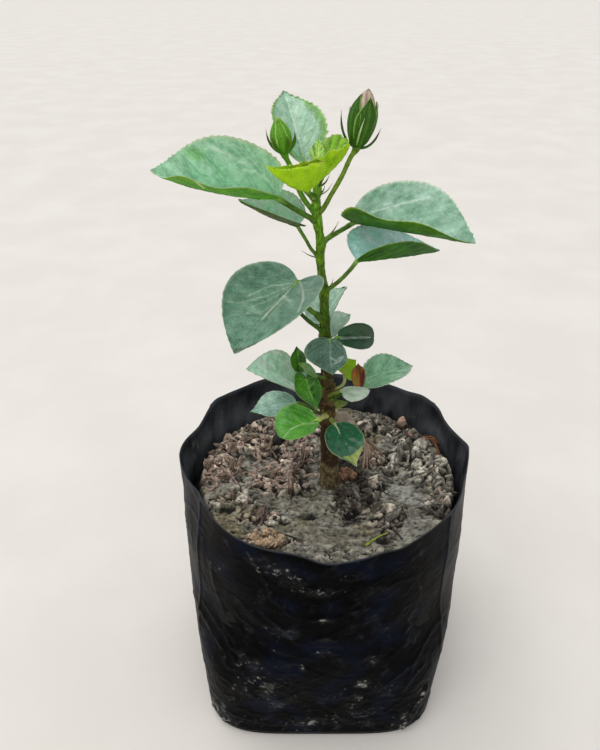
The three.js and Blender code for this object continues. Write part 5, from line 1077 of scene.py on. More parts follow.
push += (0.06 + 0.16 * foot_w) * fbm(c3 / 5.5 + 1.9, 3) * smooth(0.0, 0.05, hh) * (1 - smooth(0.9, 1, hh))
# gusset creases: the film turns a little there
crease = np.zeros(len(dg))
for chain, w, amp, low in (
    ([(213.5, 152), (212.5, 118), (211.5, 84), (213, 60)], 1.0, 1.15, 50), ([(321.5, 152), (321.0, 112), (320.5, 78), (318.5, 48)], 1.0, 1.1, 40),
    ([(33.0, 155), (33.5, 110), (34, 70)], 1.0, 0.9, 60), ([(147.0, 155), (146.5, 110), (146, 72)], 1.0, 0.9, 60),
):
    uv = np.stack([arc, hz], 1)
    pts = [(np.radians(a) * 80.0, z) for a, z in chain]
    f, side = line_field(uv, pts, w)
    broad, _ = line_field(uv, pts, 7.0)
    fade = smooth(low - 14, low + 22, hz)
    push += amp * (f * 0.55 + 0.45 * broad) * fade
    crease = np.maximum(crease, f * fade)


def seam_px(chain, width_px, amp, step=0.0):
    """A crease laid along a chain of image points on the side that faces the camera."""
    f, side = line_field(pix, chain, width_px)
    f = f * front
    s = np.where(front & (np.abs(side) < width_px * 6), smooth(0, width_px * 1.2, side) * np.exp(-(side / (width_px * 4)) ** 2), 0)
    return amp * f + step * s, f


for chain, wpx, amp, step in (
    ([(397, 733), (405, 721), (414, 707), (425, 688)], 0.9, 0.7, 1.5),           # tucked corner, low on the right
    ([(417, 727), (420, 712), (430, 692)], 1.2, 0.4, 0.0),
    ([(404, 690), (412, 678), (424, 664)], 1.2, 0.5, 0.0),
    ([(213, 704), (219, 712), (226, 722)], 1.3, 0.7, 0.0),
    ([(193, 590), (203, 612), (214, 634), (224, 650)], 1.3, 0.45, 0.0),
    ([(204, 600), (216, 622), (232, 648), (252, 664)], 1.1, 0.4, 0.0),
    ([(248, 552), (262, 574), (274, 600), (290, 614)], 1.1, 0.42, 0.0),
    ([(262, 612), (280, 628), (298, 644)], 1.2, 0.35, 0.0),
    ([(444, 610), (430, 632), (416, 660), (404, 690)], 1.2, 0.42, 0.0),
    ([(378, 690), (394, 678), (412, 664)], 1.0, 0.4, 0.0),
    ([(312, 620), (322, 617), (334, 619)], 1.3, 0.7, 0.0),
    ([(313, 641), (324, 637), (336, 640)], 1.3, 0.75, 0.0),
    ([(314, 652), (326, 650), (337, 654)], 1.3, 0.7, 0.0),
    ([(306, 592), (322, 596), (338, 590)], 1.4, 0.6, 0.0),
    ([(272, 566), (286, 572), (300, 584), (318, 590)], 1.5, 0.5, 0.0),
    ([(340, 575), (352, 580), (368, 574)], 1.5, 0.45, 0.0),
    ([(186, 500), (195, 512), (204, 530)], 1.0, 0.35, 0.0),
    ([(180, 466), (190, 482), (199, 500)], 1.0, 0.35, 0.0),
    ([(210, 560), (216, 590), (226, 616)], 1.2, 0.4, 0.0),
    ([(222, 676), (240, 690), (262, 700)], 1.0, 0.4, 0.0),
    ([(214, 700), (232, 714), (258, 722)], 1.0, 0.4, 0.0),
):
    p_, f_ = seam_px(chain, wpx, amp, step)
    push += p_
    crease = np.maximum(crease, f_ * 0.8)

limit = smooth(0.0, 0.02, hh)
push = np.clip(push, -0.8 + 0.5 * smooth(0.72, 0.9, hh), 1.9) * limit
outer = base_pts + outv * push[:, None]

# inner wall, rim edge and the base
NI = 26
ih = np.concatenate([np.linspace(1, 0.70, 16), np.linspace(0.66, 0.03, 10)])
dgi, ihh = np.meshgrid(np.linspace(0, 360, NA, endpoint=False), ih, indexing="xy")
dgi, ihh = dgi.ravel(), ihh.ravel()
inner = wall(dgi, ihh, 0.55 + 0.45 * (1 - smooth(0.90, 0.985, ihh)) + 0.4 * (1 - smooth(0.64, 0.72, ihh)))
ci = np.stack([np.cos(np.radians(dgi)) * 80, np.sin(np.radians(dgi)) * 80, ihh * 150], 1)
ioff = wall(dgi, ihh, 3.5) - inner
ioff /= np.linalg.norm(ioff, axis=1)[:, None]
inner += ioff * (smooth(0.66, 0.72, ihh) * 0.75 * np.clip(0.1 + fbm(ci / 16.0 + 8.8, 3), 0, 1) * (1 - smooth(0.93, 1.0, ihh)) + 0.5 * np.clip(1 - np.abs(noise(ci * [0.05, 0.05, 0.16] + 2.2)) * 3, 0, 1) ** 2 * (1 - smooth(0.95, 1, ihh)) * smooth(0.66, 0.72, ihh))[:, None]
rows_out = NH
V = np.vstack([outer, inner])
n_out = len(outer)
low_rings = []
for s in np.linspace(0.985, 0.02, 14):
    pr = wall(np.linspace(0, 360, NA, endpoint=False), np.zeros(NA))
    cen = np.array([-1.8, 0, 0])
    q = cen + (pr - cen) * s
    q[:, 2] = 0.0
    q[:, 2] += 0.25 * np.clip(fbm(q * [0.12, 0.12, 0] + 4.0, 3), 0, 1) * smooth(0.98, 0.90, s)
    low_rings.append(q)
V = np.vstack([V] + low_rings)
# inner floor far below the soil closes the film as a solid
V = np.vstack([V, wall(np.linspace(0, 360, NA, endpoint=False), np.full(NA, 0.012), 1.4), [[-1.8, 0, 0.0], [-1.8, 0, 1.9]]])
nin0 = n_out
nbot0 = n_out + len(inner)
nfl0 = nbot0 + 14 * NA
j = np.arange(NA)
jn = (j + 1) % NA
Q = []
for k in range(NH - 1):
    Q.append(np.stack([k * NA + j, k * NA + jn, (k + 1) * NA + jn, (k + 1) * NA + j], 1))
top_o = (NH - 1) * NA
Q.append(np.stack([top_o + j, top_o + jn, nin0 + jn, nin0 + j], 1))
for k in range(NI - 1):
    Q.append(np.stack([nin0 + k * NA + j, nin0 + k * NA + jn, nin0 + (k + 1) * NA + jn, nin0 + (k + 1) * NA + j], 1))
last_i = nin0 + (NI - 1) * NA
Q.append(np.stack([last_i + j, last_i + jn, nfl0 + jn, nfl0 + j], 1))
Q.append(np.stack([j, nbot0 + j, nbot0 + jn, jn], 1))
for k in range(13):
    Q.append(np.stack([nbot0 + k * NA + j, nbot0 + (k + 1) * NA + j, nbot0 + (k + 1) * NA + jn, nbot0 + k * NA + jn], 1))
cb, ct = len(V) - 2, len(V) - 1
T = [np.stack([nbot0 + 13 * NA + j, np.full(NA, cb), nbot0 + 13 * NA + jn], 1), np.stack([nfl0 + j, nfl0 + jn, np.full(NA, ct)], 1)]
Q = np.vstack(Q)
T = np.vstack(T)

# dust, mud and the hue of the film, with painted light: the olive on the sides is partly a painted brown reflection,
# and the scratch lines carry painted glints on the crinkle ridges and creases
dust = np.zeros(len(V))
olive = np.zeros(len(V))
navy = np.zeros(len(V))
scratch_and_glint = np.zeros(len(V))
fx = fbm(c3 / 7.0 + 2.0, 4)
fy = fbm(c3 / 2.6 + 6.0, 3)
low_band = 1 - smooth(0.05, 0.42, hh)
d0 = 0.24 * smooth(0.1, 0.5, fx) * low_band + 0.22 * smooth(0.3, 0.6, fy) * low_band
for px, py, rx, ry, amp in (
    (362, 684, 7, 4.5, 1.25), (358, 699, 5, 6, 1.0), (324, 652, 8, 4, 0.8), (325, 640, 9, 3, 0.55), (324, 620, 7, 3, 0.5), (318, 592, 24, 5, 0.42),
    (286, 578, 14, 9, 0.35), (303, 668, 5, 4, 0.6), (370, 662, 8, 5, 0.5), (278, 682, 18, 7, 0.6), (250, 672, 14, 6, 0.35), (358, 714, 10, 6, 0.7),
    (384, 690, 10, 6, 0.4), (268, 690, 10, 8, 0.5), (330, 700, 16, 10, 0.35), (219, 716, 8, 6, 1.2), (222, 706, 5, 9, 0.7), (241, 722, 12, 3, 0.5), (300, 722, 26, 6, 0.45),
    (405, 714, 7, 9, 0.5), (245, 590, 5, 5, 0.3), (265, 625, 8, 5, 0.5), (352, 576, 16, 6, 0.3), (234, 700, 9, 7, 0.45), (395, 722, 12, 5, 0.5), (433, 585, 2, 2, 0.6), (250, 610, 2, 2, 0.6),
):
    g = np.exp(-((pix[:, 0] - px) / rx) ** 2 - ((pix[:, 1] - py) / ry) ** 2) * front
    d0 += amp * g * (0.45 + 0.9 * smooth(-0.25, 0.5, fx) + 0.5 * fy)
back = ~front
d0 += 0.30 * back * smooth(0.2, 0.6, fbm(c3 / 11.0 + 9.0, 4)) * (1 - smooth(0.2, 0.8, hh))
fl = cells(np.stack([arc / 5.2, hz / 5.2], 1), 3)
d0 += 0.8 * (fl[0] < 0.09 + 0.05 * fl[2]) * (fl[2] > 0.72) * (0.25 + 0.75 * low_band)
d0 += 0.10 * crease * smooth(-0.2, 0.3, fy)
dust[:n_out] = np.clip(d0, 0, 1)
s1_ = np.clip(1 - np.abs(noise(np.stack([(arc + 0.8 * hz) / 3.0, (hz - 0.8 * arc * 0.5) / 42.0, np.zeros(len(arc))], 1))) * 9, 0, 1)
s2_ = np.clip(1 - np.abs(noise(np.stack([(arc - 1.1 * hz) / 3.6, (hz + 1.1 * arc * 0.5) / 36.0, np.ones(len(arc)) * 7], 1))) * 9, 0, 1)
s3_ = np.clip(1 - np.abs(noise(np.stack([(arc + 0.12 * hz) / 4.5, hz / 55.0, np.ones(len(arc)) * 17], 1))) * 9, 0, 1)
wrap = 1 - np.exp(-((dg - 360 * (dg > 180)) / 2.5) ** 2)
gs = smooth(0.0, 0.5, fbm(c3 / 22.0 + 12.0, 2))
thin = smooth(0.05, 0.55, fbm(c3 / 12.0 + 77.0, 3))
# scratch lines, plus painted glints: the crinkle ridges and the creases are lightened too
scratch_and_glint[:n_out] = np.clip((0.8 * s1_ * gs + 0.7 * s2_ * (1 - gs) + 0.3 * s3_) * wrap * thin + 0.40 * crease * smooth(-0.3, 0.3, fy) + 0.30 * ridge1 * thin + 0.25 * ridge2 * thin, 0, 1)
az = np.abs((dg - 270 + 180) % 360 - 180)
# olive tint grows away from the front; on the sides it is partly a painted brown reflection, the rest the film's hue
olive[:n_out] = np.clip(smooth(22, 60, az + 14 * fbm(c3 / 30.0 + 21.0, 3)) * (0.5 + 0.8 * fbm(c3 * [0.05, 0.05, 0.012] + 31.0, 3)), 0, 1)
navy[:n_out] = np.clip(smooth(-0.1, 0.5, fbm(c3 / 19.0 + 41.0, 3)), 0, 1)
ddi = smooth(-0.1, 0.55, fbm(ci / 9.0 + 50.0, 4)) * (0.35 + 0.65 * (1 - smooth(0.84, 0.99, ihh)))
dust[n_out:n_out + len(inner)] = 0.30 * ddi
olive[n_out:n_out + len(inner)] = 0.35 + 0.3 * fbm(ci / 20.0, 2)
scratch_and_glint[n_out:n_out + len(inner)] = 0.35 * np.clip(1 - np.abs(noise(ci * [0.12, 0.12, 0.05] + 15)) * 7, 0, 1)
pale_marks = np.zeros(len(V))
# pale marks low on the film: soft clouds and flecks, patches placed by image point, and thin pale lines along the
# creases
ck = 0.42 * smooth(0.15, 0.6, fbm(c3 / 4.6 + 120.0, 4)) * low_band * smooth(-0.1, 0.4, fbm(c3 / 18.0 + 130.0, 2))
for px, py, rx, ry, amp in (
    (217, 711, 6, 5, 1.0), (223, 718, 9, 3, 0.8), (214, 701, 4, 6, 0.6), (233, 722, 9, 3, 0.5), (358, 698, 4, 6, 0.9), (363, 684, 7, 4, 1.0), (352, 706, 6, 4, 0.5), (323, 651, 7, 3.5, 0.9), (326, 640, 7, 2.5, 0.7), (324, 620, 6, 2.5, 0.6),
    (302, 668, 3, 3, 0.7), (283, 576, 18, 9, 0.42), (270, 570, 12, 5, 0.5), (310, 582, 22, 8, 0.35), (222, 566, 10, 6, 0.25), (256, 560, 14, 5, 0.35), (380, 590, 14, 5, 0.2), (262, 680, 14, 8, 0.5), (318, 592, 20, 4, 0.40), (352, 576, 14, 4, 0.35), (256, 664, 8, 4, 0.5), (242, 662, 6, 3, 0.5), (276, 700, 26, 8, 0.35), (330, 722, 40, 4, 0.40), (398, 724, 8, 4, 0.6),
    (404, 716, 4, 6, 0.5), (384, 690, 8, 5, 0.4), (246, 688, 16, 8, 0.35), (420, 690, 6, 10, 0.4), (372, 660, 7, 4, 0.4), (300, 722, 26, 5, 0.4),
):
    ck += amp * np.exp(-((pix[:, 0] - px) / rx) ** 2 - ((pix[:, 1] - py) / ry) ** 2) * front * (0.35 + 0.9 * smooth(-0.2, 0.45, fy) + 0.4 * fx)
for chain, w_, amp in (
    ([(398, 732), (405, 721), (414, 707), (424, 690)], 0.8, 0.55), ([(211, 560), (214, 584), (219, 612), (226, 640)], 0.7, 0.30), ([(247, 552), (262, 575), (275, 600)], 0.7, 0.35), ([(193, 592), (204, 614), (216, 640), (226, 656)], 0.7, 0.35),
    ([(232, 664), (262, 668), (296, 664)], 0.9, 0.30), ([(414, 560), (421, 590), (424, 620)], 0.7, 0.28), ([(296, 622), (312, 640), (322, 660)], 0.6, 0.30), ([(350, 596), (372, 612), (392, 640)], 0.6, 0.25), ([(256, 640), (276, 652), (300, 658)], 0.6, 0.25),
):
    f_, _ = line_field(pix, chain, w_ * 1.2)
    ck += amp * f_ * front * smooth(-0.35, 0.25, fy)
pale_marks[:n_out] = np.clip(ck, 0, 1)
pin = project(inner)
for px, py, rx, ry, amp in ((203, 440, 13, 12, 0.6), (192, 462, 8, 20, 0.55), (236, 419, 18, 7, 0.55), (221, 428, 9, 8, 0.5), (402, 417, 18, 7, 0.35), (436, 432, 12, 12, 0.40), (449, 466, 6, 18, 0.35)):
    g_ = np.exp(-((pin[:, 0] - px) / rx) ** 2 - ((pin[:, 1] - py) / ry) ** 2)
    dust[n_out:n_out + len(inner)] += amp * g_ * (0.3 + 1.3 * smooth(-0.2, 0.5, fbm(ci / 4.0 + 160.0, 4)))
dust = np.clip(dust, 0, 1)
# painted sheen on the inner wall, fading out at the very rim
inner_wall_sheen = np.zeros(len(V))
inner_wall_sheen[n_out:n_out + len(inner)] = np.clip(0.5 + 0.9 * fbm(ci / [12.0, 12.0, 18.0] + 90.0, 4), 0, 1) * (0.45 + 0.55 * smooth(0.99, 0.90, ihh))
# painted highlight: the rim's edge rows, outside and inside, are lightened
edge = np.zeros(len(V))
edge[top_o:top_o + NA] = 1.0
edge[nin0:nin0 + NA] = 1.0

m, nt, b = new_mat("bag_film_black")
co = node(nt, "ShaderNodeTexCoord").outputs["Object"]
n1 = ntex(nt, co, 420.0, 4.0, 0.6)
n2 = ntex(nt, co, 95.0, 4.0, 0.6)
n3 = ntex(nt, co, 1500.0, 2.0, 0.5)
col = mixc(nt, attr(nt, "navy"), srgb("020203"), srgb("060c1a"))
# olive tint, partly a painted brown reflection on the sides
col = mixc(nt, calc(nt, "MULTIPLY", attr(nt, "olive"), 0.5), col, srgb("12110f"))
# painted sheen on the inner wall
col = mixc(nt, calc(nt, "MULTIPLY", attr(nt, "inner_wall_sheen"), 0.95), col, srgb("606266"))
# scratches, and painted glints on the ridges and creases
col = mixc(nt, calc(nt, "MULTIPLY", attr(nt, "scratch_and_glint"), span(nt, n2, 0.44, 0.62, 0.0, 0.30)), col, srgb("646a74"))
dustf = span(nt, calc(nt, "ADD", attr(nt, "dust"), calc(nt, "MULTIPLY", calc(nt, "SUBTRACT", n1, 0.5), 2.0)), 0.34, 0.95)
grime = mixc(nt, span(nt, n2, 0.4, 0.6), srgb("50524e"), srgb("7c7e78"))
col = mixc(nt, calc(nt, "MULTIPLY", dustf, 0.38), col, grime)
pale_marks_f = span(nt, calc(nt, "ADD", attr(nt, "pale_marks"), calc(nt, "MULTIPLY", calc(nt, "SUBTRACT", n1, 0.5), 2.4)), 0.42, 0.95)
col = mixc(nt, calc(nt, "MULTIPLY", attr(nt, "pale_marks"), span(nt, n2, 0.36, 0.64, 0.05, 0.42)), col, srgb("605f5c"))
col = mixc(nt, calc(nt, "MULTIPLY", pale_marks_f, 0.55), col, mixc(nt, span(nt, n3, 0.4, 0.6), srgb("86847e"), srgb("b8b6ae")))
col = mixc(nt, calc(nt, "MULTIPLY", span(nt, n3, 0.72, 0.77), 0.16), col, srgb("8c8a84"))
# painted highlight along the rim edge
col = mixc(nt, calc(nt, "MULTIPLY", attr(nt, "edge"), 0.45), col, srgb("4c4e52"))
nt.links.new(col, b.inputs["Base Color"])
nt.links.new(calc(nt, "ADD", calc(nt, "ADD", 0.26, calc(nt, "MULTIPLY", n2, 0.22)), calc(nt, "MULTIPLY", dustf, 0.35)), b.inputs["Roughness"])
b.inputs["Specular IOR Level"].default_value = 0.022
bump(nt, b, calc(nt, "ADD", calc(nt, "MULTIPLY", attr(nt, "scratch_and_glint"), 0.8), calc(nt, "ADD", calc(nt, "MULTIPLY", n1, 0.5), calc(nt, "MULTIPLY", dustf, 0.6))), 0.5, 0.0004)
bag = build("bag_film_shell", V, Q, T, [m], None, dict(dust=dust, olive=olive, navy=navy, scratch_and_glint=scratch_and_glint, edge=edge, inner_wall_sheen=inner_wall_sheen, pale_marks=pale_marks))
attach(bag, "root")
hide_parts("nursery_bag")

# ------------------------------------------------------------------ soil
def px_soil(px, py, z=131.0):
    return at_height(px, py, z)


# patches of the surface by the image point they lie under: x, y, half width, half height in pixels, turn in degrees
CAST = [
    (222, 468, 24, 15, 10), (235, 445, 22, 11, -20), (262, 447, 18, 10, 0), (250, 428, 20, 7, 0), (285, 455, 14, 16, 30), (292, 478, 14, 14, 60), (268, 480, 14, 12, 30), (210, 474, 14, 9, 0),
    (304, 446, 10, 14, 0), (352, 500, 20, 14, 20), (372, 480, 14, 9, 0), (386, 520, 16, 9, -20), (392, 508, 9, 10, 0), (436, 506, 16, 10, -10), (372, 425, 22, 10, 20), (366, 412, 12, 7, 0),
    (376, 455, 12, 12, 40), (344, 478, 12, 8, 0), (262, 540, 20, 6, 0), (326, 400, 20, 5, 0), (300, 412, 16, 6, 0), (225, 500, 10, 5, 0), (258, 515, 22, 6, 10), (300, 538, 14, 4, 0),
]
CLOD = [
    (412, 452, 26, 14, 10), (430, 470, 22, 18, 40), (400, 440, 16, 10, 0), (440, 480, 14, 12, 0), (452, 497, 10, 8, 0), (382, 490, 10, 8, 0), (395, 458, 14, 8, 0), (242, 500, 18, 6, 0),
    (214, 506, 12, 6, 0), (410, 428, 16, 7, 20), (272, 520, 16, 6, 0), (236, 490, 12, 5, 0), 
]
# DARK: patches lowered and darkened; partly dark damp soil, partly painted shade beside the stem foot, under the leaves
# and along the film
DARK = [
    (345, 462, 30, 12, 20, 1.0), (352, 510, 12, 8, 30, 0.9), (360, 470, 14, 12, 20, 0.8), (312, 458, 14, 12, 0, 0.6), (307, 511, 8, 4, 0, 0.7), (392, 470, 10, 4, 0, 0.6), (406, 458, 8, 3, 20, 0.7),
    (300, 470, 7, 9, 20, 0.6), (384, 536, 12, 7, 20, 0.7), (264, 506, 9, 3, 0, 0.5), (442, 515, 12, 6, 0, 0.8), (218, 440, 9, 7, 30, 0.5), (385, 413, 22, 5, 15, 0.6), (255, 493, 8, 4, 0, 0.5), (338, 530, 10, 3, 20, 0.6),
    (205, 484, 8, 4, 0, 0.7), (420, 488, 10, 4, 20, 0.5), (447, 487, 8, 8, 0, 0.6), (228, 508, 7, 4, 0, 0.6), (237, 497, 5, 4, 0, 0.5),
]
SMOOTH = [
    (256, 463, 14, 8, 0), (402, 494, 22, 13, 0), (340, 503, 0.1, 0.1, 0), (300, 500, 30, 9, 0), (310, 528, 40, 7, 0), (222, 487, 14, 5, 0), (412, 538, 14, 8, 0), (432, 528, 10, 5, 0), (386, 445, 9, 5, 0), (330, 535, 30, 8, 0), (280, 500, 12, 6, 0),
]
HILLS = [  # pixel, radius mm, height mm
    (318, 500, 7, 2.6), (222, 468, 13, 3.4), (240, 445, 12, 2.8), (285, 465, 9, 3.0), (292, 482, 7, 3.2), (412, 452, 12, 3.6), (432, 470, 12, 3.0), (375, 478, 6, 4.0), (380, 490, 6, 2.5), (388, 512, 6, 3.6),
    (392, 508, 4, 2.2), (436, 504, 8, 3.6), (372, 424, 11, 3.0), (375, 456, 6, 4.0), (268, 482, 6, 2.4), (240, 498, 8, 1.8), (262, 540, 8, 2.2), (307, 511, 5, -1.6), (352, 466, 9, -3.6), (352, 511, 5, -2.4), (338, 462, 8, -2.0),
    (305, 462, 7, -2.0), (256, 464, 9, -0.6), (402, 492, 14, -0.6), (405, 460, 4, -2.2), (384, 537, 4, -2.4), (442, 516, 4, -2.6), (290, 515, 9, 1.2), (276, 520, 7, 1.0), (330, 520, 12, 0.6), (385, 500, 3, 1.6), (346, 480, 6, 1.5),
]


def patch(P, items, ragged=0.45, seed=0.0):
    """0 to 1 inside any of the patches, with ragged borders."""
    out = np.zeros(len(P))
    wob = fbm(np.stack([P[:, 0] / 6.0, P[:, 1] / 6.0, np.full(len(P), 3.0 + seed)], 1), 4)
    for it in items:
        cx, cy = px_soil(it[0], it[1])
        mm = 0.62
        rx, ry = it[2] * mm, it[3] * mm / 0.62
        a = math.radians(-it[4])
        x, y = P[:, 0] - cx, P[:, 1] - cy
        u = (x * math.cos(a) - y * math.sin(a)) / rx
        v = (x * math.sin(a) + y * math.cos(a)) / ry
        d = np.sqrt(u * u + v * v) + ragged * wob
        k = 1 - smooth(0.62, 1.12, d)
        out = np.maximum(out, k * (it[5] if len(it) > 5 else 1.0))
    return out


def soil_edge(deg):
    """Where the soil stops, short of the film."""
    d = np.radians(deg)
    p = wall(deg, 0.88)
    r = np.hypot(p[..., 0], p[..., 1]) - 1.55 - 3.6 - 3.0 * smooth(0.2, 1, -np.cos(d))
    r = r + 1.9 * np.exp(-(((np.degrees(d) - 45 + 180) % 360 - 180) / 42.0) ** 2)
    return r + 0.9 * fbm(np.stack([np.cos(d) * 9, np.sin(d) * 9, np.zeros_like(d)], -1).reshape(-1, 3), 3).reshape(np.shape(deg))


def soil_field(P):
    """Height in mm and the masks at points (n, 2)."""
    P = np.asarray(P, float)
    x, y = P[:, 0], P[:, 1]
    r = np.hypot(x, y)
    deg = np.degrees(np.arctan2(y, x)) % 360
    re = soil_edge(deg)
    cast, clod = patch(P, CAST, seed=0), patch(P, CLOD, seed=5)
    even = patch(P, SMOOTH, 0.3, seed=9)
    rng_cast = np.clip(cast - 0.85 * even, 0, 1)
    clod = np.clip(clod - 0.8 * even, 0, 1) * (1 - rng_cast)
    # what the image doesn't show well, at the back, is broken ground too
    hid = smooth(8, 40, y) * (1 - 0.5 * np.maximum(rng_cast, clod))
    wild = smooth(-0.05, 0.35, fbm(np.stack([x / 17, y / 17, np.full(len(x), 6.6)], 1), 3)) * hid
    rng_cast = np.maximum(rng_cast, wild * 0.85)
    z = 126 + 7.5 * (np.minimum(r, 75) / 75) ** 2
    z = z + 1.1 * fbm(np.stack([x / 26, y / 26, np.full(len(x), 1.5)], 1), 3)
    for px, py, rad, hgt in HILLS:
        cx, cy = px_soil(px, py)
        z = z + hgt * np.exp(-((x - cx) ** 2 + (y - cy) ** 2) / (rad * rad * 0.8))
    q1 = np.stack([x / 5.5, y / 5.5, np.full(len(x), 2.2)], 1)
    wx = x + 3.4 * fbm(q1, 4)
    wy = y + 3.4 * fbm(q1 + 31.0, 4)

    def billow(sx, sy, k):
        return np.abs(noise(np.stack([wx / sx, wy / sy, np.full(len(x), k)], 1)))

    # torn, ropy casts: rounded ridges with sharp valleys between them
    big, mid_, small = billow(8.2, 6.4, 0.4), billow(3.6, 3.0, 3.4), billow(1.5, 1.3, 6.4)
    group = billow(15.0, 11.0, 19.4)
    torn = np.clip(1 - 2.4 * mid_, 0, 1) ** 1.5 + 0.5 * np.clip(1 - 2.6 * billow(5.4, 2.6, 23.4), 0, 1)
    crumb = 3.8 * group + 4.4 * big + 1.1 * torn + 0.28 * small - 3.2
    b1, s1, w1 = cells(np.stack([wx / 4.2, wy / 3.6], 1), 1)
    crumb += 0.9 * (w1 > 0.78) * np.clip(1 - (b1 / 0.55) ** 2, 0, 1) * w1
    # clods parted by cracks
    b3, s3, w3 = cells(np.stack([wx / 8.0, wy / 6.6], 1), 6)
    crack = 1 - smooth(0.02, 0.20, s3 - b3)
    lump = (w3 - 0.4) * 3.2 + 3.2 * group + 3.6 * billow(9.6, 7.6, 9.4) + 0.5 * billow(5.0, 4.0, 12.4) + 0.22 * billow(1.5, 1.5, 14.4) - 2.8 * crack * (w3 > 0.25) - 1.6
    plain = 1.25 * fbm(np.stack([wx / 8.0, wy / 6.4, np.full(len(x), 7.0)], 1), 3) + 0.10 * fbm(np.stack([x / 2.6, y / 2.2, np.full(len(x), 17.0)], 1), 2)
    b5, s5, w5 = cells(np.stack([wx / 3.4, wy / 3.0], 1), 11)
    pits = np.exp(-(b5 / 0.20) ** 2) * (w5 > 0.6)
    b6, s6, w6 = cells(np.stack([wx / 5.4, wy / 4.4], 1), 12)
    knob = (w6 > 0.76) * np.clip(1 - (b6 / (0.25 + 0.28 * w6)) ** 2, 0, 1) * (0.3 + 0.9 * w6)
    rough = np.clip(1 - np.maximum(rng_cast, clod) - 0.8 * even, 0, 1)
    z = z + rng_cast * crumb + clod * lump + plain + rough * (0.03 * crumb + 0.16 * lump * smooth(0.45, 0.65, w3)) - 0.8 * pits * (0.4 + rough) + 0.3 * knob * rough
    dk = patch(P, DARK, 0.5, seed=13)
    z = z - 1.1 * dk * (0.4 + 0.6 * np.maximum(rng_cast, rough))
    stem_d = np.hypot(x - 3.58, y - 3)
    z = np.where(stem_d < 16, z - (z - 127.0) * 0.55 * (1 - smooth(7, 16, stem_d)), z)
    away = re - r
    z = z - 7.0 * (1 - smooth(-0.5, 3.2, away)) ** 1.5
    return z, dict(cast=rng_cast, clod=clod, even=even, dark=dk, pits=pits, crumb=b1, who=w1, rough=rough, crack=crack * clod)


NS = 272
s_ = np.linspace(-1, 1, NS)
a_, b_ = np.meshgrid(s_, s_, indexing="ij")
# square to disc, with evenly spaced cells
dx_, dy_ = a_ * np.sqrt(1 - b_ ** 2 / 2), b_ * np.sqrt(1 - a_ ** 2 / 2)
rr, tt_ = np.hypot(dx_, dy_), np.degrees(np.arctan2(dy_, dx_)) % 360
XY = np.stack([np.cos(np.radians(tt_)) * rr * soil_edge(tt_), np.sin(np.radians(tt_)) * rr * soil_edge(tt_)], -1).reshape(-1, 2)
Z, M = soil_field(XY)
Zg = Z.reshape(NS, NS)


def blur(g, n, times=2):
    for _ in range(times):
        for ax in (0, 1):
            p = np.concatenate([np.repeat(np.take(g, [0], ax), n, ax), g, np.repeat(np.take(g, [-1], ax), n, ax)], ax)
            c = np.cumsum(p, ax)
            c = np.concatenate([np.zeros_like(np.take(c, [0], ax)), c], ax)
            g = (np.take(c, range(2 * n + 1, c.shape[ax]), ax) - np.take(c, range(0, c.shape[ax] - 2 * n - 1), ax)) / (2 * n + 1)
    return g


fine_ = np.clip((blur(Zg, 2) - Zg) / 0.55, -1, 1).ravel()
hollow = np.clip((blur(Zg, 5) - Zg) / 1.5, -1, 1).ravel()
deep = np.clip((blur(Zg, 12) - Zg) / 3.0, -1, 1).ravel()
PAL = {k: lin(v) for k, v in dict(mud="767264", mud2="9a968a", ochre="8c8266", cast="332b25", cast2="bca898", clod="3f3b35", clod2="aca699", dark="100e0b", damp="4a443a", rust="8a5228", straw="a58a66").items()}


TONE = [
    # painted sheen, in part: the pale grey patches on the smooth mud at the right (400,492 to 420,520) are partly mud
    # colour and partly a painted sheen of wet mud
    ("E", 258, 468, 10, 4.5, 0, "a8a59a", 0.8), ("E", 256, 458, 13, 4, 10, "2c2721", 0.7), ("E", 238, 476, 6, 8, 20, "332c25", 0.6), ("E", 270, 476, 8, 3, 30, "3a342b", 0.6), ("E", 400, 492, 20, 9, 10, "a9a79d", 0.8), ("E", 414, 500, 12, 6, 10, "adaba2", 0.7), ("E", 420, 520, 14, 6, -20, "a6a49b", 0.5), ("E", 386, 446, 9, 4, 0, "a8a69c", 0.5), ("E", 222, 489, 16, 5, 0, "a29e90", 0.5),
    ("E", 240, 512, 26, 8, 20, "a39a80", 0.55), ("E", 226, 498, 14, 5, 10, "8f8870", 0.5), ("E", 300, 494, 26, 6, 0, "78735f", 0.5), ("E", 330, 512, 18, 8, 0, "8c8876", 0.5), ("E", 335, 536, 34, 7, -4, "7c7664", 0.5), ("E", 405, 536, 18, 6, -14, "a09e94", 0.6),
    # painted shade, in part: the near-black patches beside the stem foot (338 to 358, 463 to 494) and at the back (362
    # to 414, 408 to 432) are partly dark damp soil and partly painted shade under the plant
    ("E", 296, 526, 20, 6, 0, "8f8972", 0.5), ("E", 345, 470, 16, 10, 20, "2a241e", 0.55), ("E", 358, 494, 20, 17, 30, "2a241e", 0.88), ("E", 345, 463, 12, 8, 20, "2a241e", 0.6), ("E", 338, 492, 7, 8, 0, "2c2620", 0.5), ("E", 300, 462, 9, 12, 0, "3a332a", 0.4), ("E", 385, 416, 26, 9, 10, "26221c", 0.6), ("E", 414, 432, 20, 8, 25, "2c2822", 0.6), ("E", 362, 408, 20, 5, 0, "332e27", 0.6),
    ("E", 204, 478, 9, 12, 0, "4f453c", 0.5), ("E", 438, 510, 12, 6, -20, "2f2a24", 0.5), ("E", 300, 420, 24, 6, 0, "3c362e", 0.5), ("E", 392, 520, 14, 8, -20, "4a3e36", 0.4), ("E", 447, 478, 8, 14, 0, "4a463e", 0.4),
]


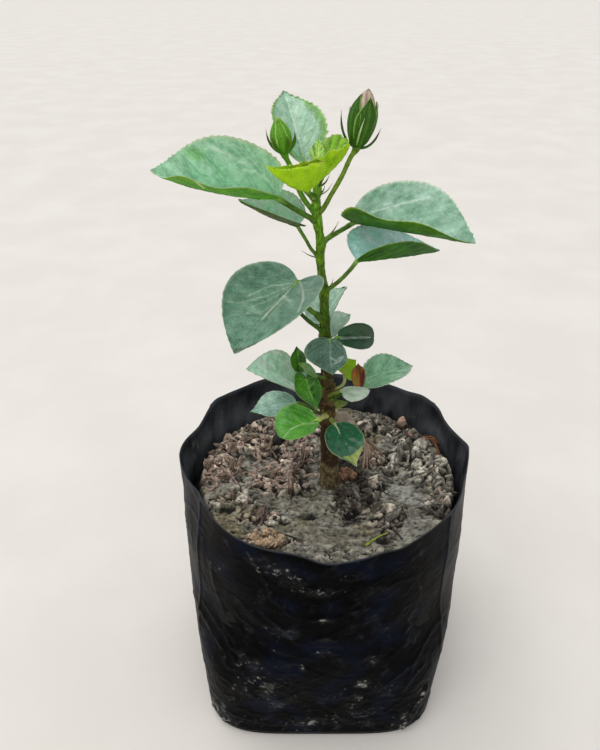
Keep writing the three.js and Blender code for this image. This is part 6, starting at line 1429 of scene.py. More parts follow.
def tint(P, M, hollow, deep, fine_, Z, n):
    x, y = P[:, 0], P[:, 1]
    f1 = fbm(np.stack([x / 9, y / 9, np.full(n, 11.0)], 1), 4)
    f2 = fbm(np.stack([x / 2.4, y / 2.4, np.full(n, 21.0)], 1), 3)
    f3 = fbm(np.stack([x / 30, y / 30, np.full(n, 31.0)], 1), 2)
    mixv = lambda a, c, t: a + (c - a) * np.clip(t, 0, 1)[:, None]
    c = mixv(PAL["mud"][None], PAL["mud2"][None], 0.5 + 1.2 * f1)
    c = mixv(c, PAL["ochre"][None], smooth(0.0, 0.5, f3 + 0.6 * f1))
    warm = 1 - smooth(-22, 14, x)
    lit = 0.42 - 0.75 * hollow - 0.55 * deep - 0.25 * fine_
    castc = mixv(PAL["cast"][None], PAL["cast2"][None], lit + 0.7 * f2 + 0.3 * (M["who"] - 0.5))
    castc = mixv(castc, mixv(PAL["clod"][None], PAL["clod2"][None], lit + 0.6 * f2), (1 - warm) * 0.6)
    c = mixv(c, castc, M["cast"] * 0.95)
    clodc = mixv(PAL["clod"][None], PAL["clod2"][None], lit + 0.06 + 0.6 * f2)
    c = mixv(c, clodc, M["clod"] * 0.92)
    f4 = fbm(np.stack([x / 5.5, y / 4.5, np.full(n, 41.0)], 1), 3)
    c = c * np.clip(1.03 + 1.15 * f4 + 0.6 * f2 * (1 - M["cast"]), 0.3, 1.8)[:, None]
    spot = fbm(np.stack([x / 3.2, y / 2.6, np.full(n, 51.0)], 1), 3)
    c = mixv(c, PAL["dark"][None], smooth(0.10, 0.36, spot) * 0.62 * (1 - 0.7 * M["even"]))
    c = brush(c, project(np.column_stack([P, Z])), TONE, f1)
    c = mixv(c, PAL["damp"][None], M["rough"] * 0.25 * smooth(-0.1, 0.5, f1))
    # partly painted shade: the DARK patches are darkened
    c = mixv(c, PAL["dark"][None], M["dark"] * 0.62 * (0.6 + 0.6 * smooth(-0.3, 0.4, f2)))
    broken = np.clip(M["cast"] + M["clod"] + 0.5 * M["rough"], 0, 1)
    # partly damp soil, partly painted shade: hollows, deep ground, fine dips, pits and cracks are darkened
    c = mixv(c, PAL["dark"][None], np.clip((1.25 * np.clip(hollow, 0, 1) + 0.65 * np.clip(deep, 0, 1) + 0.55 * np.clip(fine_, 0, 1)) * (0.72 + 0.28 * broken) + 0.6 * M["pits"] + 0.5 * M["crack"], 0, 0.95))
    # painted highlight: ridges and raised bits are lightened
    c = c * (1 + 0.36 * np.clip(-hollow, 0, 1) + 0.15 * np.clip(-deep, 0, 1) + 0.22 * np.clip(-fine_, 0, 1))[:, None]
    return np.clip(c, 0, 1)


C = tint(XY, M, hollow, deep, fine_, Z, len(XY))
away = soil_edge(np.degrees(np.arctan2(XY[:, 1], XY[:, 0])) % 360) - np.hypot(XY[:, 0], XY[:, 1])
# painted shade: the soil darkens over its last 4 mm towards the film
C = C * (0.35 + 0.65 * smooth(0.0, 4.0, away))[:, None]
V = np.column_stack([XY, Z])
i, k = np.meshgrid(np.arange(NS - 1), np.arange(NS - 1), indexing="ij")
a = (i * NS + k).ravel()
Q = [np.stack([a, a + NS, a + NS + 1, a + 1], 1)]
loop = np.concatenate([np.arange(NS - 1) * NS, (NS - 1) * NS + np.arange(NS - 1), (np.arange(NS - 1, 0, -1)) * NS + NS - 1, np.arange(NS - 1, 0, -1)])
nl = len(loop)
ang = np.degrees(np.arctan2(V[loop, 1], V[loop, 0])) % 360
rings = []
for hsh, gap in ((0.80, 2.6), (0.70, 1.7), (0.45, 1.6), (0.2, 1.6), (0.05, 1.7), (0.018, 3.0)):
    rings.append(wall(ang, hsh, gap + (0.4 if hsh > 0.75 else 0)))
start = len(V)
V = np.vstack([V] + rings + [[[-1.8, 0, 2.7]]])
prev = loop
for q in range(len(rings)):
    cur = start + q * nl + np.arange(nl)
    Q.append(np.stack([prev, cur, np.roll(cur, -1), np.roll(prev, -1)], 1)[:, ::-1])
    prev = cur
T = np.stack([prev, np.roll(prev, -1), np.full(nl, len(V) - 1)], 1)[:, ::-1]
nrm_ok = np.vstack(Q)
# painted shade: the soil's sides running down the gap to the bag floor are near-black
C = np.vstack([C, np.repeat(PAL["dark"][None] * 0.5, len(V) - len(C), 0)])
f = Q[0][(NS - 1) * (NS // 2) + NS // 2]
if np.cross(V[f[1]] - V[f[0]], V[f[2]] - V[f[0]])[2] < 0:
    Q[0] = Q[0][:, ::-1]
g = Q[1][10]
cc = V[g].mean(0)
if np.cross(V[g[1]] - V[g[0]], V[g[2]] - V[g[0]])[:2] @ cc[:2] < 0:
    Q[1:] = [x[:, ::-1] for x in Q[1:]]
    T = T[:, ::-1]
if np.cross(V[T[0][1]] - V[T[0][0]], V[T[0][2]] - V[T[0][0]])[2] > 0:
    T = T[:, ::-1]


def soil_mat(name, rough=0.9, spec=0.25):
    m, nt, b = new_mat(name)
    co = node(nt, "ShaderNodeTexCoord").outputs["Object"]
    n1 = ntex(nt, co, 520.0, 4.0, 0.6)
    n2 = ntex(nt, co, 1900.0, 3.0, 0.6)
    n3 = ntex(nt, co, 330.0, 3.0, 0.6)
    ca = node(nt, "ShaderNodeAttribute", attribute_name="tint").outputs["Color"]
    col = mixc(nt, 0.8, ca, mixc(nt, span(nt, n1, 0.30, 0.66), srgb("a09c96"), srgb("ffffff")), "MULTIPLY")
    col = mixc(nt, calc(nt, "MULTIPLY", span(nt, n2, 0.66, 0.74), 0.22), col, srgb("c0b8a8"))
    col = mixc(nt, calc(nt, "MULTIPLY", span(nt, n2, 0.33, 0.25), 0.4), col, srgb("2a2520"))
    nt.links.new(col, b.inputs["Base Color"])
    nt.links.new(calc(nt, "ADD", rough - 0.12, calc(nt, "MULTIPLY", n3, 0.2)), b.inputs["Roughness"])
    b.inputs["Specular IOR Level"].default_value = spec
    bump(nt, b, calc(nt, "ADD", n1, calc(nt, "MULTIPLY", n2, 0.3)), 0.45, 0.0004)
    return m


earth = soil_mat("soil_earth")
soil = build("soil_surface", V, np.vstack(Q), T, [earth], None, dict(tint=C))
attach(soil, "root")
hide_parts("soil")

# ---- loose crumbs, fibres and finds, lying on that surface
_t = (1 + 5 ** 0.5) / 2
ICO = np.array([[-1, _t, 0], [1, _t, 0], [-1, -_t, 0], [1, -_t, 0], [0, -1, _t], [0, 1, _t], [0, -1, -_t], [0, 1, -_t], [_t, 0, -1], [_t, 0, 1], [-_t, 0, -1], [-_t, 0, 1]]) / math.hypot(1, _t)
ICF = np.array([[0, 11, 5], [0, 5, 1], [0, 1, 7], [0, 7, 10], [0, 10, 11], [1, 5, 9], [5, 11, 4], [11, 10, 2], [10, 7, 6], [7, 1, 8],
                [3, 9, 4], [3, 4, 2], [3, 2, 6], [3, 6, 8], [3, 8, 9], [4, 9, 5], [2, 4, 11], [6, 2, 10], [8, 6, 7], [9, 8, 1]])


def split(V, F):
    V = [tuple(v) for v in V]
    memo, out = {}, []

    def mid(i, j):
        key = (min(i, j), max(i, j))
        if key not in memo:
            p = np.array(V[i]) + np.array(V[j])
            V.append(tuple(p / np.linalg.norm(p)))
            memo[key] = len(V) - 1
        return memo[key]

    for a, c, d in F:
        ac, cd, da = mid(a, c), mid(c, d), mid(d, a)
        out += [[a, ac, da], [c, cd, ac], [d, da, cd], [ac, cd, da]]
    return np.array(V), np.array(out)


BALL1 = split(ICO, ICF)
BALL2 = split(*BALL1)
BALL3 = split(*BALL2)


def blobs(rng, at, size, stretch, ball, lumpy=0.35, angular=0.0, freq=1.3):
    """Irregular lumps: at (n,3), size (n,), stretch (n,3)."""
    bv, bf = ball
    n = len(at)
    q = rng.normal(size=(n, 4))
    q /= np.linalg.norm(q, axis=1)[:, None]
    w, x, y, z = q.T
    R = np.stack([1 - 2 * (y * y + z * z), 2 * (x * y - z * w), 2 * (x * z + y * w), 2 * (x * y + z * w), 1 - 2 * (x * x + z * z), 2 * (y * z - x * w), 2 * (x * z - y * w), 2 * (y * z + x * w), 1 - 2 * (x * x + y * y)], 1).reshape(n, 3, 3)
    off = rng.random((n, 1, 3)) * 200
    p = np.broadcast_to(bv[None], (n,) + bv.shape)
    nz = fbm((p * freq + off).reshape(-1, 3), 3, 0.6).reshape(n, -1)
    rad = 1 + lumpy * nz * 1.4
    P = p * rad[..., None]
    if angular:
        lim = 0.72 + 0.2 * rng.random((n, 1, 3))
        P = np.where(np.abs(P) > lim, np.sign(P) * (lim + (np.abs(P) - lim) * (1 - angular)), P)
    P = P * stretch[:, None, :] * size[:, None, None]
    P = np.einsum("nij,nkj->nki", R, P) + at[:, None, :]
    F = (bf[None] + (np.arange(n) * len(bv))[:, None, None]).reshape(-1, 3)
    return P.reshape(-1, 3), F, nz.reshape(-1)


rng = seeded("crumbs")
parts = []
NC = 5200
cand = np.stack([rng.uniform(-76, 76, NC), rng.uniform(-76, 76, NC)], 1)
rad = np.hypot(cand[:, 0], cand[:, 1])
inside = rad < soil_edge(np.degrees(np.arctan2(cand[:, 1], cand[:, 0])) % 360) - 2.0
inside &= np.hypot(cand[:, 0] - 3.58, cand[:, 1] - 3) > 7.5
cand = cand[inside]
zc, mc = soil_field(cand)
chance = 0.07 + 0.08 * mc["cast"] + 0.10 * mc["clod"] + 0.05 * mc["rough"] + 0.10 * mc["dark"]
keep = rng.random(len(cand)) < chance * (1 - 0.75 * mc["even"])
cand, zc = cand[keep], zc[keep]
mc = {k: v[keep] for k, v in mc.items()}
n = len(cand)
size = np.exp(rng.normal(-0.75, 0.5, n)) * (0.75 + 0.55 * mc["cast"] + 0.35 * mc["clod"])
size = np.clip(size, 0.28, 1.7)
stretch = np.stack([1 + 0.7 * rng.random(n) * (0.5 + mc["cast"]), np.full(n, 0.85), 0.55 + 0.4 * rng.random(n)], 1)
at = np.column_stack([cand, zc + size * rng.uniform(-0.25, 0.35, n)])
P, F, nz = blobs(rng, at, size, stretch, BALL1, 0.62, 0.6, 2.0)
f2 = np.repeat(rng.random(n), len(BALL1[0]))
warm = np.repeat(1 - smooth(-22, 14, cand[:, 0]), len(BALL1[0]))
castm = np.repeat(np.clip(mc["cast"] + 0.15, 0, 1), len(BALL1[0]))
dkm = np.repeat(mc["dark"], len(BALL1[0]))
colr = PAL["clod"] + (PAL["clod2"] - PAL["clod"]) * f2[:, None]
cw = PAL["cast"] + (PAL["cast2"] - PAL["cast"]) * np.clip(f2 * 1.1 - 0.05, 0, 1)[:, None]
colr = colr + (cw - colr) * (castm * (0.35 + 0.65 * warm))[:, None]
mudm = np.repeat(np.clip(1 - mc["cast"] - mc["clod"], 0, 1), len(BALL1[0]))
colr = colr + (PAL["dark"] - colr) * np.clip(0.62 * dkm + 0.55 * (f2 > 0.93) + 0.75 * mudm * (f2 > 0.35), 0, 0.9)[:, None]
# painted shade and light: each crumb is darker on its underside and lighter on top
low_side = np.clip((np.repeat(at[:, 2], len(BALL1[0])) - P[:, 2]) / np.repeat(size, len(BALL1[0])), -1, 1)
colr = colr * (1 - 0.62 * np.clip(low_side, 0, 1) + 0.22 * np.clip(-low_side, 0, 1))[:, None]
parts.append((P, None, F, dict(tint=colr)))


_reach = soil_edge(np.arange(0.0, 360.0, 1.0))


def ground(xy):
    """Height of the soil at one point, read back from the grid."""
    r, d = math.hypot(xy[0], xy[1]), math.degrees(math.atan2(xy[1], xy[0])) % 360
    q = min(0.995, r / float(np.interp(d, np.arange(361.0), np.append(_reach, _reach[0]))))
    u_, v_ = q * math.cos(math.radians(d)), q * math.sin(math.radians(d))
    k2 = 2 * math.sqrt(2)
    s_u = 0.5 * math.sqrt(max(0, 2 + u_ * u_ - v_ * v_ + k2 * u_)) - 0.5 * math.sqrt(max(0, 2 + u_ * u_ - v_ * v_ - k2 * u_))
    s_v = 0.5 * math.sqrt(max(0, 2 - u_ * u_ + v_ * v_ + k2 * v_)) - 0.5 * math.sqrt(max(0, 2 - u_ * u_ + v_ * v_ - k2 * v_))
    i_ = int(round((s_u + 1) / 2 * (NS - 1)))
    j_ = int(round((s_v + 1) / 2 * (NS - 1)))
    return float(Zg[min(NS - 1, max(0, i_)), min(NS - 1, max(0, j_))])


def on_soil(px, py, lift=0.0, keep_in=2.0):
    """The soil's surface under an image point."""
    z = 131.0
    for _ in range(6):
        xy = at_height(px, py, z)
        r_ = math.hypot(xy[0], xy[1])
        most = float(np.interp(math.degrees(math.atan2(xy[1], xy[0])) % 360, np.arange(361.0), np.append(_reach, _reach[0]))) - keep_in
        xy = np.asarray(xy, float) * min(1.0, most / max(r_, 1e-6))
        z = ground(xy)
    return np.array([xy[0], xy[1], z + lift])


def lump(px, py, r, stretch, colour, colour2, ball=BALL2, lumpy=0.35, angular=0.2, lift=0.3, seed="x", freq=1.3):
    g = seeded(seed + str(px))
    at = on_soil(px, py, 0.0, max(stretch) * r * 0.9)[None] + [[0, 0, lift * r]]
    P, F, nz = blobs(g, at, np.array([r]), np.array([stretch], float), ball, lumpy, angular, freq)
    t = np.clip(0.5 + nz * 1.2, 0, 1)[:, None]
    shade = np.clip(0.55 + 0.5 * (P[:, 2] - at[0, 2]) / r, 0.25, 1.1)[:, None]
    parts.append((P, None, F, dict(tint=(lin(colour) + (lin(colour2) - lin(colour)) * t) * shade)))


def strand(pts, r0, r1, colour, sides=7, steps=22, colour2=None, squash=1.0):
    path = catmull(pts, steps)
    v, q, t, s = tube(path, r0 + (r1 - r0) * np.linspace(0, 1, steps), sides, relief=lambda th, k: 1 + 0.12 * np.sin(2 * th + k), squash=squash)
    c = lin(colour) + (lin(colour2 or colour) - lin(colour)) * np.clip(s, 0, 1)[:, None]
    parts.append((v, q, t, dict(tint=c)))


# larger pieces of cast, ropy and broken
g = seeded("ropes")
for px, py in ((208, 468), (216, 474), (222, 462), (230, 470), (214, 456), (226, 478), (238, 466), (232, 452), (222, 446), (240, 442), (252, 440), (262, 448), (248, 430), (268, 440), (286, 446), (292, 470), (282, 480), (290, 488), (272, 476), (278, 462), (262, 486),
               (300, 440), (366, 414), (376, 420), (384, 430), (362, 424), (392, 426), (372, 474), (382, 482), (366, 488), (358, 494), (376, 494), (385, 486), (350, 504), (360, 508), (388, 512), (394, 520), (382, 524), (398, 508), (434, 500), (440, 510), (448, 504), (428, 508),
               (410, 446), (420, 456), (430, 462), (440, 470), (446, 482), (402, 452), (424, 444), (434, 480), (452, 490), (258, 534), (270, 540), (236, 496), (246, 503), (262, 514)):
    right = px > 330
    lump(px + g.uniform(-2, 2), py + g.uniform(-2, 2), g.uniform(2.0, 3.6), (g.uniform(1.3, 2.6), 0.8, g.uniform(0.4, 0.65)), "3f352d" if not right else "3a3630", "a08a79" if not right else "9a9488", BALL2, 0.9, 0.1, -0.2, "rope", 1.7)
for k in range(80):
    px, py = g.uniform(205, 455), g.uniform(412, 545)
    near = int(((XY - at_height(px, py, 131)) ** 2).sum(1).argmin())
    if max(M["cast"][near], M["clod"][near] * 0.7, M["dark"][near]) < 0.35 or abs(px - 329) < 14 and 430 < py < 486:
        continue
    p0 = on_soil(px, py, 0.5)
    a0, L = g.uniform(0, 2 * math.pi), g.uniform(4, 13)
    d = np.array([math.cos(a0), math.sin(a0)])
    e = np.array([-d[1], d[0]]) * g.uniform(-0.5, 0.5)
    mids = []
    for s in (0.0, 0.35, 0.7, 1.0):
        xy = p0[:2] + d * L * s + e * L * math.sin(s * math.pi)
        if np.hypot(*xy) > 72 or np.hypot(xy[0] - 3.58, xy[1] - 3) < 7:
            break
        zz = ground(xy)
        mids.append([xy[0], xy[1], zz + 0.35 + 1.2 * math.sin(s * math.pi) * g.random()])
    if len(mids) < 3:
        continue
    strand(mids, g.uniform(0.22, 0.55), g.uniform(0.12, 0.3), ("7a6455", "4a3c32", "8f7c68", "2c2521")[int(g.integers(4))], 6, 14)

# rolled and torn curls of the casts, half sunk
for k in range(190):
    px, py = (g.uniform(196, 312), g.uniform(428, 492)) if k % 3 else (g.uniform(340, 455), g.uniform(408, 520))
    near = int(((XY - at_height(px, py, 131)) ** 2).sum(1).argmin())
    if M["cast"][near] < 0.45 or abs(px - 329) < 16 and 430 < py < 490:
        continue
    p0 = on_soil(px, py, 0.0, 5.0)
    a0, L, bendy = g.uniform(0, 2 * math.pi), g.uniform(5, 12), g.uniform(-0.9, 0.9)
    line = []
    for s in np.linspace(0, 1, 6):
        ang_ = a0 + bendy * 2.2 * s
        xy = p0[:2] + np.array([math.cos(ang_), math.sin(ang_)]) * L * s
        if np.hypot(*xy) > float(np.interp(math.degrees(math.atan2(xy[1], xy[0])) % 360, np.arange(361.0), np.append(_reach, _reach[0]))) - 3.5 or np.hypot(xy[0] - 3.58, xy[1] - 3) < 8:
            break
        line.append([xy[0], xy[1], ground(xy) + 0.05 + 0.7 * math.sin(s * math.pi) * g.random()])
    if len(line) < 4:
        continue
    steps = 18
    way = catmull(line, steps)
    r0_, pa, pb = g.uniform(0.6, 1.25), g.uniform(0, 6), g.uniform(0, 6)
    rads = r0_ * (0.55 + 0.45 * np.sin(np.pi * np.clip(np.linspace(0.08, 0.98, steps), 0, 1))) * (1 + 0.22 * np.sin(np.linspace(0, 9, steps) + pa))
    v, q, t, s = tube(way, rads, 9, relief=lambda th, k_: 1 + 0.20 * np.sin(2 * th + k_ * 0.6 + pa) + 0.16 * np.sin(3 * th - k_ * 1.1 + pb), squash=0.72)
    lo_, hi_ = (lin("2b231e"), lin("c4aa9a")) if px < 330 else (lin("2c2822"), lin("a29a8c"))
    # painted shade, in part: curls in the dark ground right of the stem foot are darkened
    if 335 < px < 392 and py > 458:
        lo_, hi_ = lo_ * 0.4, hi_ * 0.35
    fl_ = fbm(v * 0.55 + 3.0, 3)
    # painted light and shade: each curl is lighter on top and darker below
    up_ = np.clip(0.5 + (v[:, 2] - np.interp(np.clip(s, 0, 1), np.linspace(0, 1, steps), way[:, 2])) / (1.5 * r0_), 0, 1)
    parts.append((v, q, t, dict(tint=lo_ + (hi_ - lo_) * np.clip(0.15 + 0.6 * up_ + 0.6 * fl_, 0, 1)[:, None])))

# pale pebble with a thinner tail, right at the back
lump(401, 426.5, 3.5, (1.6, 0.8, 0.8), "b88f7a", "d8b8a2", BALL3, 0.25, 0.0, 0.75, "peb", 0.9)
lump(410, 433, 2.0, (1.9, 0.7, 0.6), "9c7a66", "b8947e", BALL2, 0.25, 0.0, 0.5, "peb2")
# dark stone half under the bright leaf
lump(279, 441, 4.6, (1.0, 0.8, 1.25), "2b2a28", "44413d", BALL3, 0.22, 0.15, 0.35, "stone")
# rusty crumb of root at the foot of the stem
for k, (dx, dy, r) in enumerate(((0, 0, 4.3), (4.5, 2.5, 3.4), (-4.5, 3.5, 3.1), (3.5, -4.0, 2.9), (-3.0, -3.0, 2.6), (6.5, -1.0, 2.0), (-7, 0, 2.0))):
    lump(347 + dx, 477 + dy, r, (1.1, 0.95, 0.9), "5a4030", "a07a60", BALL2, 0.5, 0.2, 0.55, "rust%d" % k, 2.2)
# rusty pile against the film in front
for k in range(26):
    lump(float(g.uniform(252, 286)), float(g.uniform(533, 547)), float(g.uniform(1.2, 2.9)), (g.uniform(0.9, 1.6), 0.9, 0.9), "84664c", "f0d4b0", BALL2, 0.85, 0.25, 0.5, "pile%d" % k, 2.4)
# curled dry bract on the right
for q, (rx, ry, z0) in enumerate(((3.6, 3.0, 0.8), (2.8, 2.2, 2.2))):
    c = on_soil(434, 439 + 3 * q, 0.0, 5.5)
    strand([c + [rx * math.cos(t), ry * math.sin(t), z0 + 0.5 * t] for t in np.linspace(0.4, 5.2, 9)], 0.9, 0.35, "6e4028", 8, 26, "9a6a48", 0.6)
strand([on_soil(428, 436, 1.5, 3.5), on_soil(434, 446, 1.2, 3.5), on_soil(440, 456, 0.9, 3.5)], 1.5, 0.7, "5a3826", 8, 18, "7a5238", 0.5)
lump(434, 446, 2.3, (1.7, 0.8, 0.7), "4f3324", "7c5740", BALL2, 0.5, 0.1, 0.5, "curl", 2.0)
# torn fibrous root end, fanned out
tip0 = on_soil(366, 446, 4.0)
for k in range(19):
    t = k / 18.0
    e = on_soil(362 + 25 * t, 470 - 7 * t + g.uniform(-2, 2), 0.8)
    midp = (tip0 + e) / 2 + [0, 0, 2.2 + g.uniform(-0.6, 0.6)]
    strand([tip0 + g.normal(0, 0.5, 3), midp, e], 0.75, 0.32, ("8d7968", "a08c78", "6a5546")[k % 3], 6, 14)
# loose threads left of the stem
for pts in (([303, 447], [305, 456], [302, 466], [298, 470]), ([299, 462], [303, 455], [304, 448]), ([296, 470], [301, 463], [303, 458])):
    strand([on_soil(px, py, 1.6) for px, py in pts], 0.55, 0.3, "7d6c5c", 6, 18)
for pts in (([336, 492], [343, 500], [349, 508], [356, 513]), ([343, 489], [346, 497], [350, 506]), ([350, 503], [354, 497], [360, 494]), ([385, 476], [380, 468], [374, 461]), ([402, 540], [396, 533], [392, 528]), ([357, 500], [352, 507], [357, 512])):
    strand([on_soil(px, py, 0.9) for px, py in pts], 0.6, 0.25, "4a3c30", 6, 18)
# green sliver of leaf
strand([on_soil(365.5, 546.5, 0.8), on_soil(373, 542, 1.5), on_soil(380, 538, 1.6), on_soil(388, 534, 1.0)], 0.95, 0.45, "8a9a35", 8, 24, "a9b45a", 0.45)
# little pale stick
strand([on_soil(438, 492, 2.6), on_soil(441, 497, 2.0), on_soil(444, 502, 1.0)], 0.9, 0.5, "b39a88", 7, 12)
V, Q, T, A = merge(parts)
crumbs = build("soil_crumbs", V, Q, T, [earth], None, A)
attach(crumbs, "root")
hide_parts("soil")

# ------------------------------------------------------------------ stem with bark, nodes and stipules
ROWSN, SIDES = 250, 44
path = catmull(STEM[:, :3], ROWSN)
path[0][2] -= 0.4
zr = path[:, 2]
rr0 = np.interp(zr, STEM[:, 2], STEM[:, 3])
rr0 = np.convolve(np.concatenate([[rr0[0]] * 2, rr0, [rr0[-1]] * 2]), [0.1, 0.2, 0.4, 0.2, 0.1], "valid")
bumps = []
for nm, row in ROWS.items():
    c0, r0 = stem_at(row["node"])
    nxt = np.array(row["via"][0] if row["via"] else row["base"], float)
    d = nxt - c0
    bumps.append((row["node"], math.atan2(d[1], d[0]), 0.55 if row["node"] > 230 else 0.8))
scars = [(192.0, math.radians(-28), 1.5, 1.0), (171.0, math.radians(-150), 0.8, 0.6), (180.0, math.radians(-75), 0.6, 0.5), (212.0, math.radians(-40), 0.8, 0.5), (151.0, math.radians(-60), 0.5, 0.4), (160.0, math.radians(20), 0.7, 0.4), (199.0, math.radians(-10), 0.9, 0.8)]


def stem_relief(th, k):
    z = zr[np.clip(k, 0, ROWSN - 1)] + 0 * th
    t = th + 0 * k
    r = rr0[np.clip(k, 0, ROWSN - 1)] + 0 * t
    P = np.stack([(np.cos(t) * r).ravel(), (np.sin(t) * r).ravel(), z.ravel()], 1)
    old = 1 - smooth(190, 222, z)
    fis = fbm(P * [0.75, 0.75, 0.11] + 3.0, 4).reshape(z.shape)
    knob = fbm(P * [0.35, 0.35, 0.28] + 9.0, 3).reshape(z.shape)
    pim = cells(np.stack([(t * r / 1.5).ravel(), (z / 2.3).ravel()], 1), 5)
    pim = (np.exp(-(pim[0] / 0.22) ** 2) * (pim[2] > 0.6)).reshape(z.shape)
    out = old * (0.42 * fis + 0.42 * knob - 0.30 * np.clip(1 - np.abs(fis) * 8, 0, 1)) + 0.20 * pim + 0.10 * knob
    # faint ribs running down from the young leaf bases
    out = out + (1 - old) * 0.14 * np.sin(5 * t + z * 0.05)
    for zz, az, amp in bumps:
        dt = (t - az + math.pi) % (2 * math.pi) - math.pi
        out = out + amp * np.exp(-(dt / 0.62) ** 2 - ((z - zz + 1.2) / 2.6) ** 2)
        out = out + 0.22 * amp * np.exp(-((z - zz + 3.6 + 0.9 * np.cos(dt)) / 0.7) ** 2) - 0.12 * np.exp(-((z - zz + 5.0) / 0.8) ** 2)
    for zz, az, amp, _ in scars:
        dt = (t - az + math.pi) % (2 * math.pi) - math.pi
        out = out + amp * np.exp(-(dt / 0.42) ** 2 - ((z - zz) / 1.7) ** 2) * (1 + 0.5 * knob)
    # the thicker piece at the foot ends in an uneven lip
    lip = 141.0 + 1.8 * np.sin(t * 2 + 0.6) + 0.8 * np.sin(t * 5)
    out = out + 0.42 * (1 - smooth(-0.6, 0.6, z - lip)) + 0.25 * np.exp(-((z - lip) / 0.8) ** 2)
    return 1 + out / r


V, Q, T, sh = tube(path, rr0, SIDES, relief=stem_relief)
th = np.concatenate([np.tile(np.linspace(0, 2 * np.pi, SIDES, endpoint=False), ROWSN), [0, 0]])
zz = V[:, 2]
kk = np.concatenate([np.repeat(np.arange(ROWSN), SIDES), [0, ROWSN - 1]])
cr = np.stack([np.cos(th) * 4, np.sin(th) * 4, zz], 1)
fis = fbm(cr * [0.75, 0.75, 0.11] + 3.0, 4)
mot = fbm(cr * [0.30, 0.30, 0.16] + 19.0, 4)
fine = fbm(cr * [1.6, 1.6, 0.8] + 29.0, 3)


def ramp(z, stops):
    zs = np.array([s[0] for s in stops], float)
    cs = np.array([lin(s[1]) for s in stops])
    return np.stack([np.interp(z, zs, cs[:, i]) for i in range(3)], 1)


wz = zz + 9 * mot
dark_c = ramp(wz, [(126, "3f3527"), (140, "4a3e2c"), (144, "2a1e15"), (185, "33241a"), (204, "3a2f1c"), (211, "303c12"), (232, "2a4806"), (262, "325a08"), (285, "4a7c10"), (312, "5c941c")])
pale_c = ramp(wz, [(126, "867757"), (140, "94835c"), (144, "6a5038"), (185, "735539"), (204, "6e6038"), (211, "566626"), (232, "567418"), (262, "668a1c"), (285, "80b02c"), (312, "98c44c")])
wood = 1 - smooth(190, 225, zz)
long_ = fbm(cr * [0.9, 0.9, 0.05] + 39.0, 3)
mixf = np.clip(0.46 + (0.25 + 0.65 * wood) * mot + (0.15 + 0.45 * wood) * fine + 0.5 * (1 - wood) * long_, 0, 1)[:, None]
col_s = dark_c + (pale_c - dark_c) * mixf
col_s = col_s * (1 - 0.55 * np.clip(1 - np.abs(fis) * 7, 0, 1) * (1 - smooth(190, 222, zz)))[:, None]
lip = 141.0 + 1.8 * np.sin(th * 2 + 0.6) + 0.8 * np.sin(th * 5)
edgef = np.exp(-((zz - lip) / 0.9) ** 2) + 0.8 * np.exp(-(((th - math.radians(338) + math.pi) % (2 * math.pi) - math.pi) / 0.13) ** 2) * (zz < lip) + 0.35 * np.exp(-(((th - math.radians(212) + math.pi) % (2 * math.pi) - math.pi) / 0.13) ** 2) * (zz < lip)
col_s = col_s + (lin("a89a72") - col_s) * np.clip(edgef * (0.5 + 0.6 * fine), 0, 0.8)[:, None]
for z0, az, amp, glow in scars:
    dt = (th - az + math.pi) % (2 * math.pi) - math.pi
    f = np.exp(-(dt / 0.42) ** 2 - ((zz - z0) / 1.8) ** 2) * glow
    col_s = col_s + (lin("a39452") - col_s) * np.clip(f * (0.7 + 0.7 * fine), 0, 0.85)[:, None]
for z0, az, amp in bumps:
    dt = (th - az + math.pi) % (2 * math.pi) - math.pi
    f = np.exp(-(dt / 0.5) ** 2 - ((zz - z0 + 0.5) / 2.2) ** 2) * (0.55 if z0 > 225 else 0.3)
    col_s = col_s + (lin("7c9c2c" if z0 > 225 else "8a8442") - col_s) * np.clip(f, 0, 0.7)[:, None]
    ring = np.exp(-((zz - z0 + 3.8 + 0.9 * np.cos(dt)) / 0.55) ** 2) * 0.35
    col_s = col_s * (1 - ring)[:, None]
pim = cells(np.stack([th * 4 / 1.5, zz / 2.3], 1), 5)
dots = np.exp(-(pim[0] / 0.2) ** 2) * (pim[2] > 0.6)
col_s = col_s + (pale_c * 1.7 - col_s) * np.clip(dots * 0.6, 0, 1)[:, None]
col_s = col_s * (1 + 0.22 * smooth(205, 235, zz))[:, None]
col_s = np.clip(col_s, 0, 1)
stem_parts = [(V, Q, T, dict(tint=col_s))]


def spine(points, r0, r1, c0, c1, sides=9, steps=26, squash=0.55, belly=0.0):
    """A thin leaf-like spine: slightly fuller below the middle, drawn out to a point."""
    p = catmull(points, steps)
    s = np.linspace(0, 1, steps)
    r = r0 * (1 - s) + r1 * s + belly * np.sin(np.pi * np.clip(s * 1.25, 0, 1))
    v, q, t, sh = tube(p, r, sides, squash=squash)
    c = lin(c0) + (lin(c1) - lin(c0)) * np.clip(sh, 0, 1)[:, None]
    return (v, q, t, dict(tint=c))


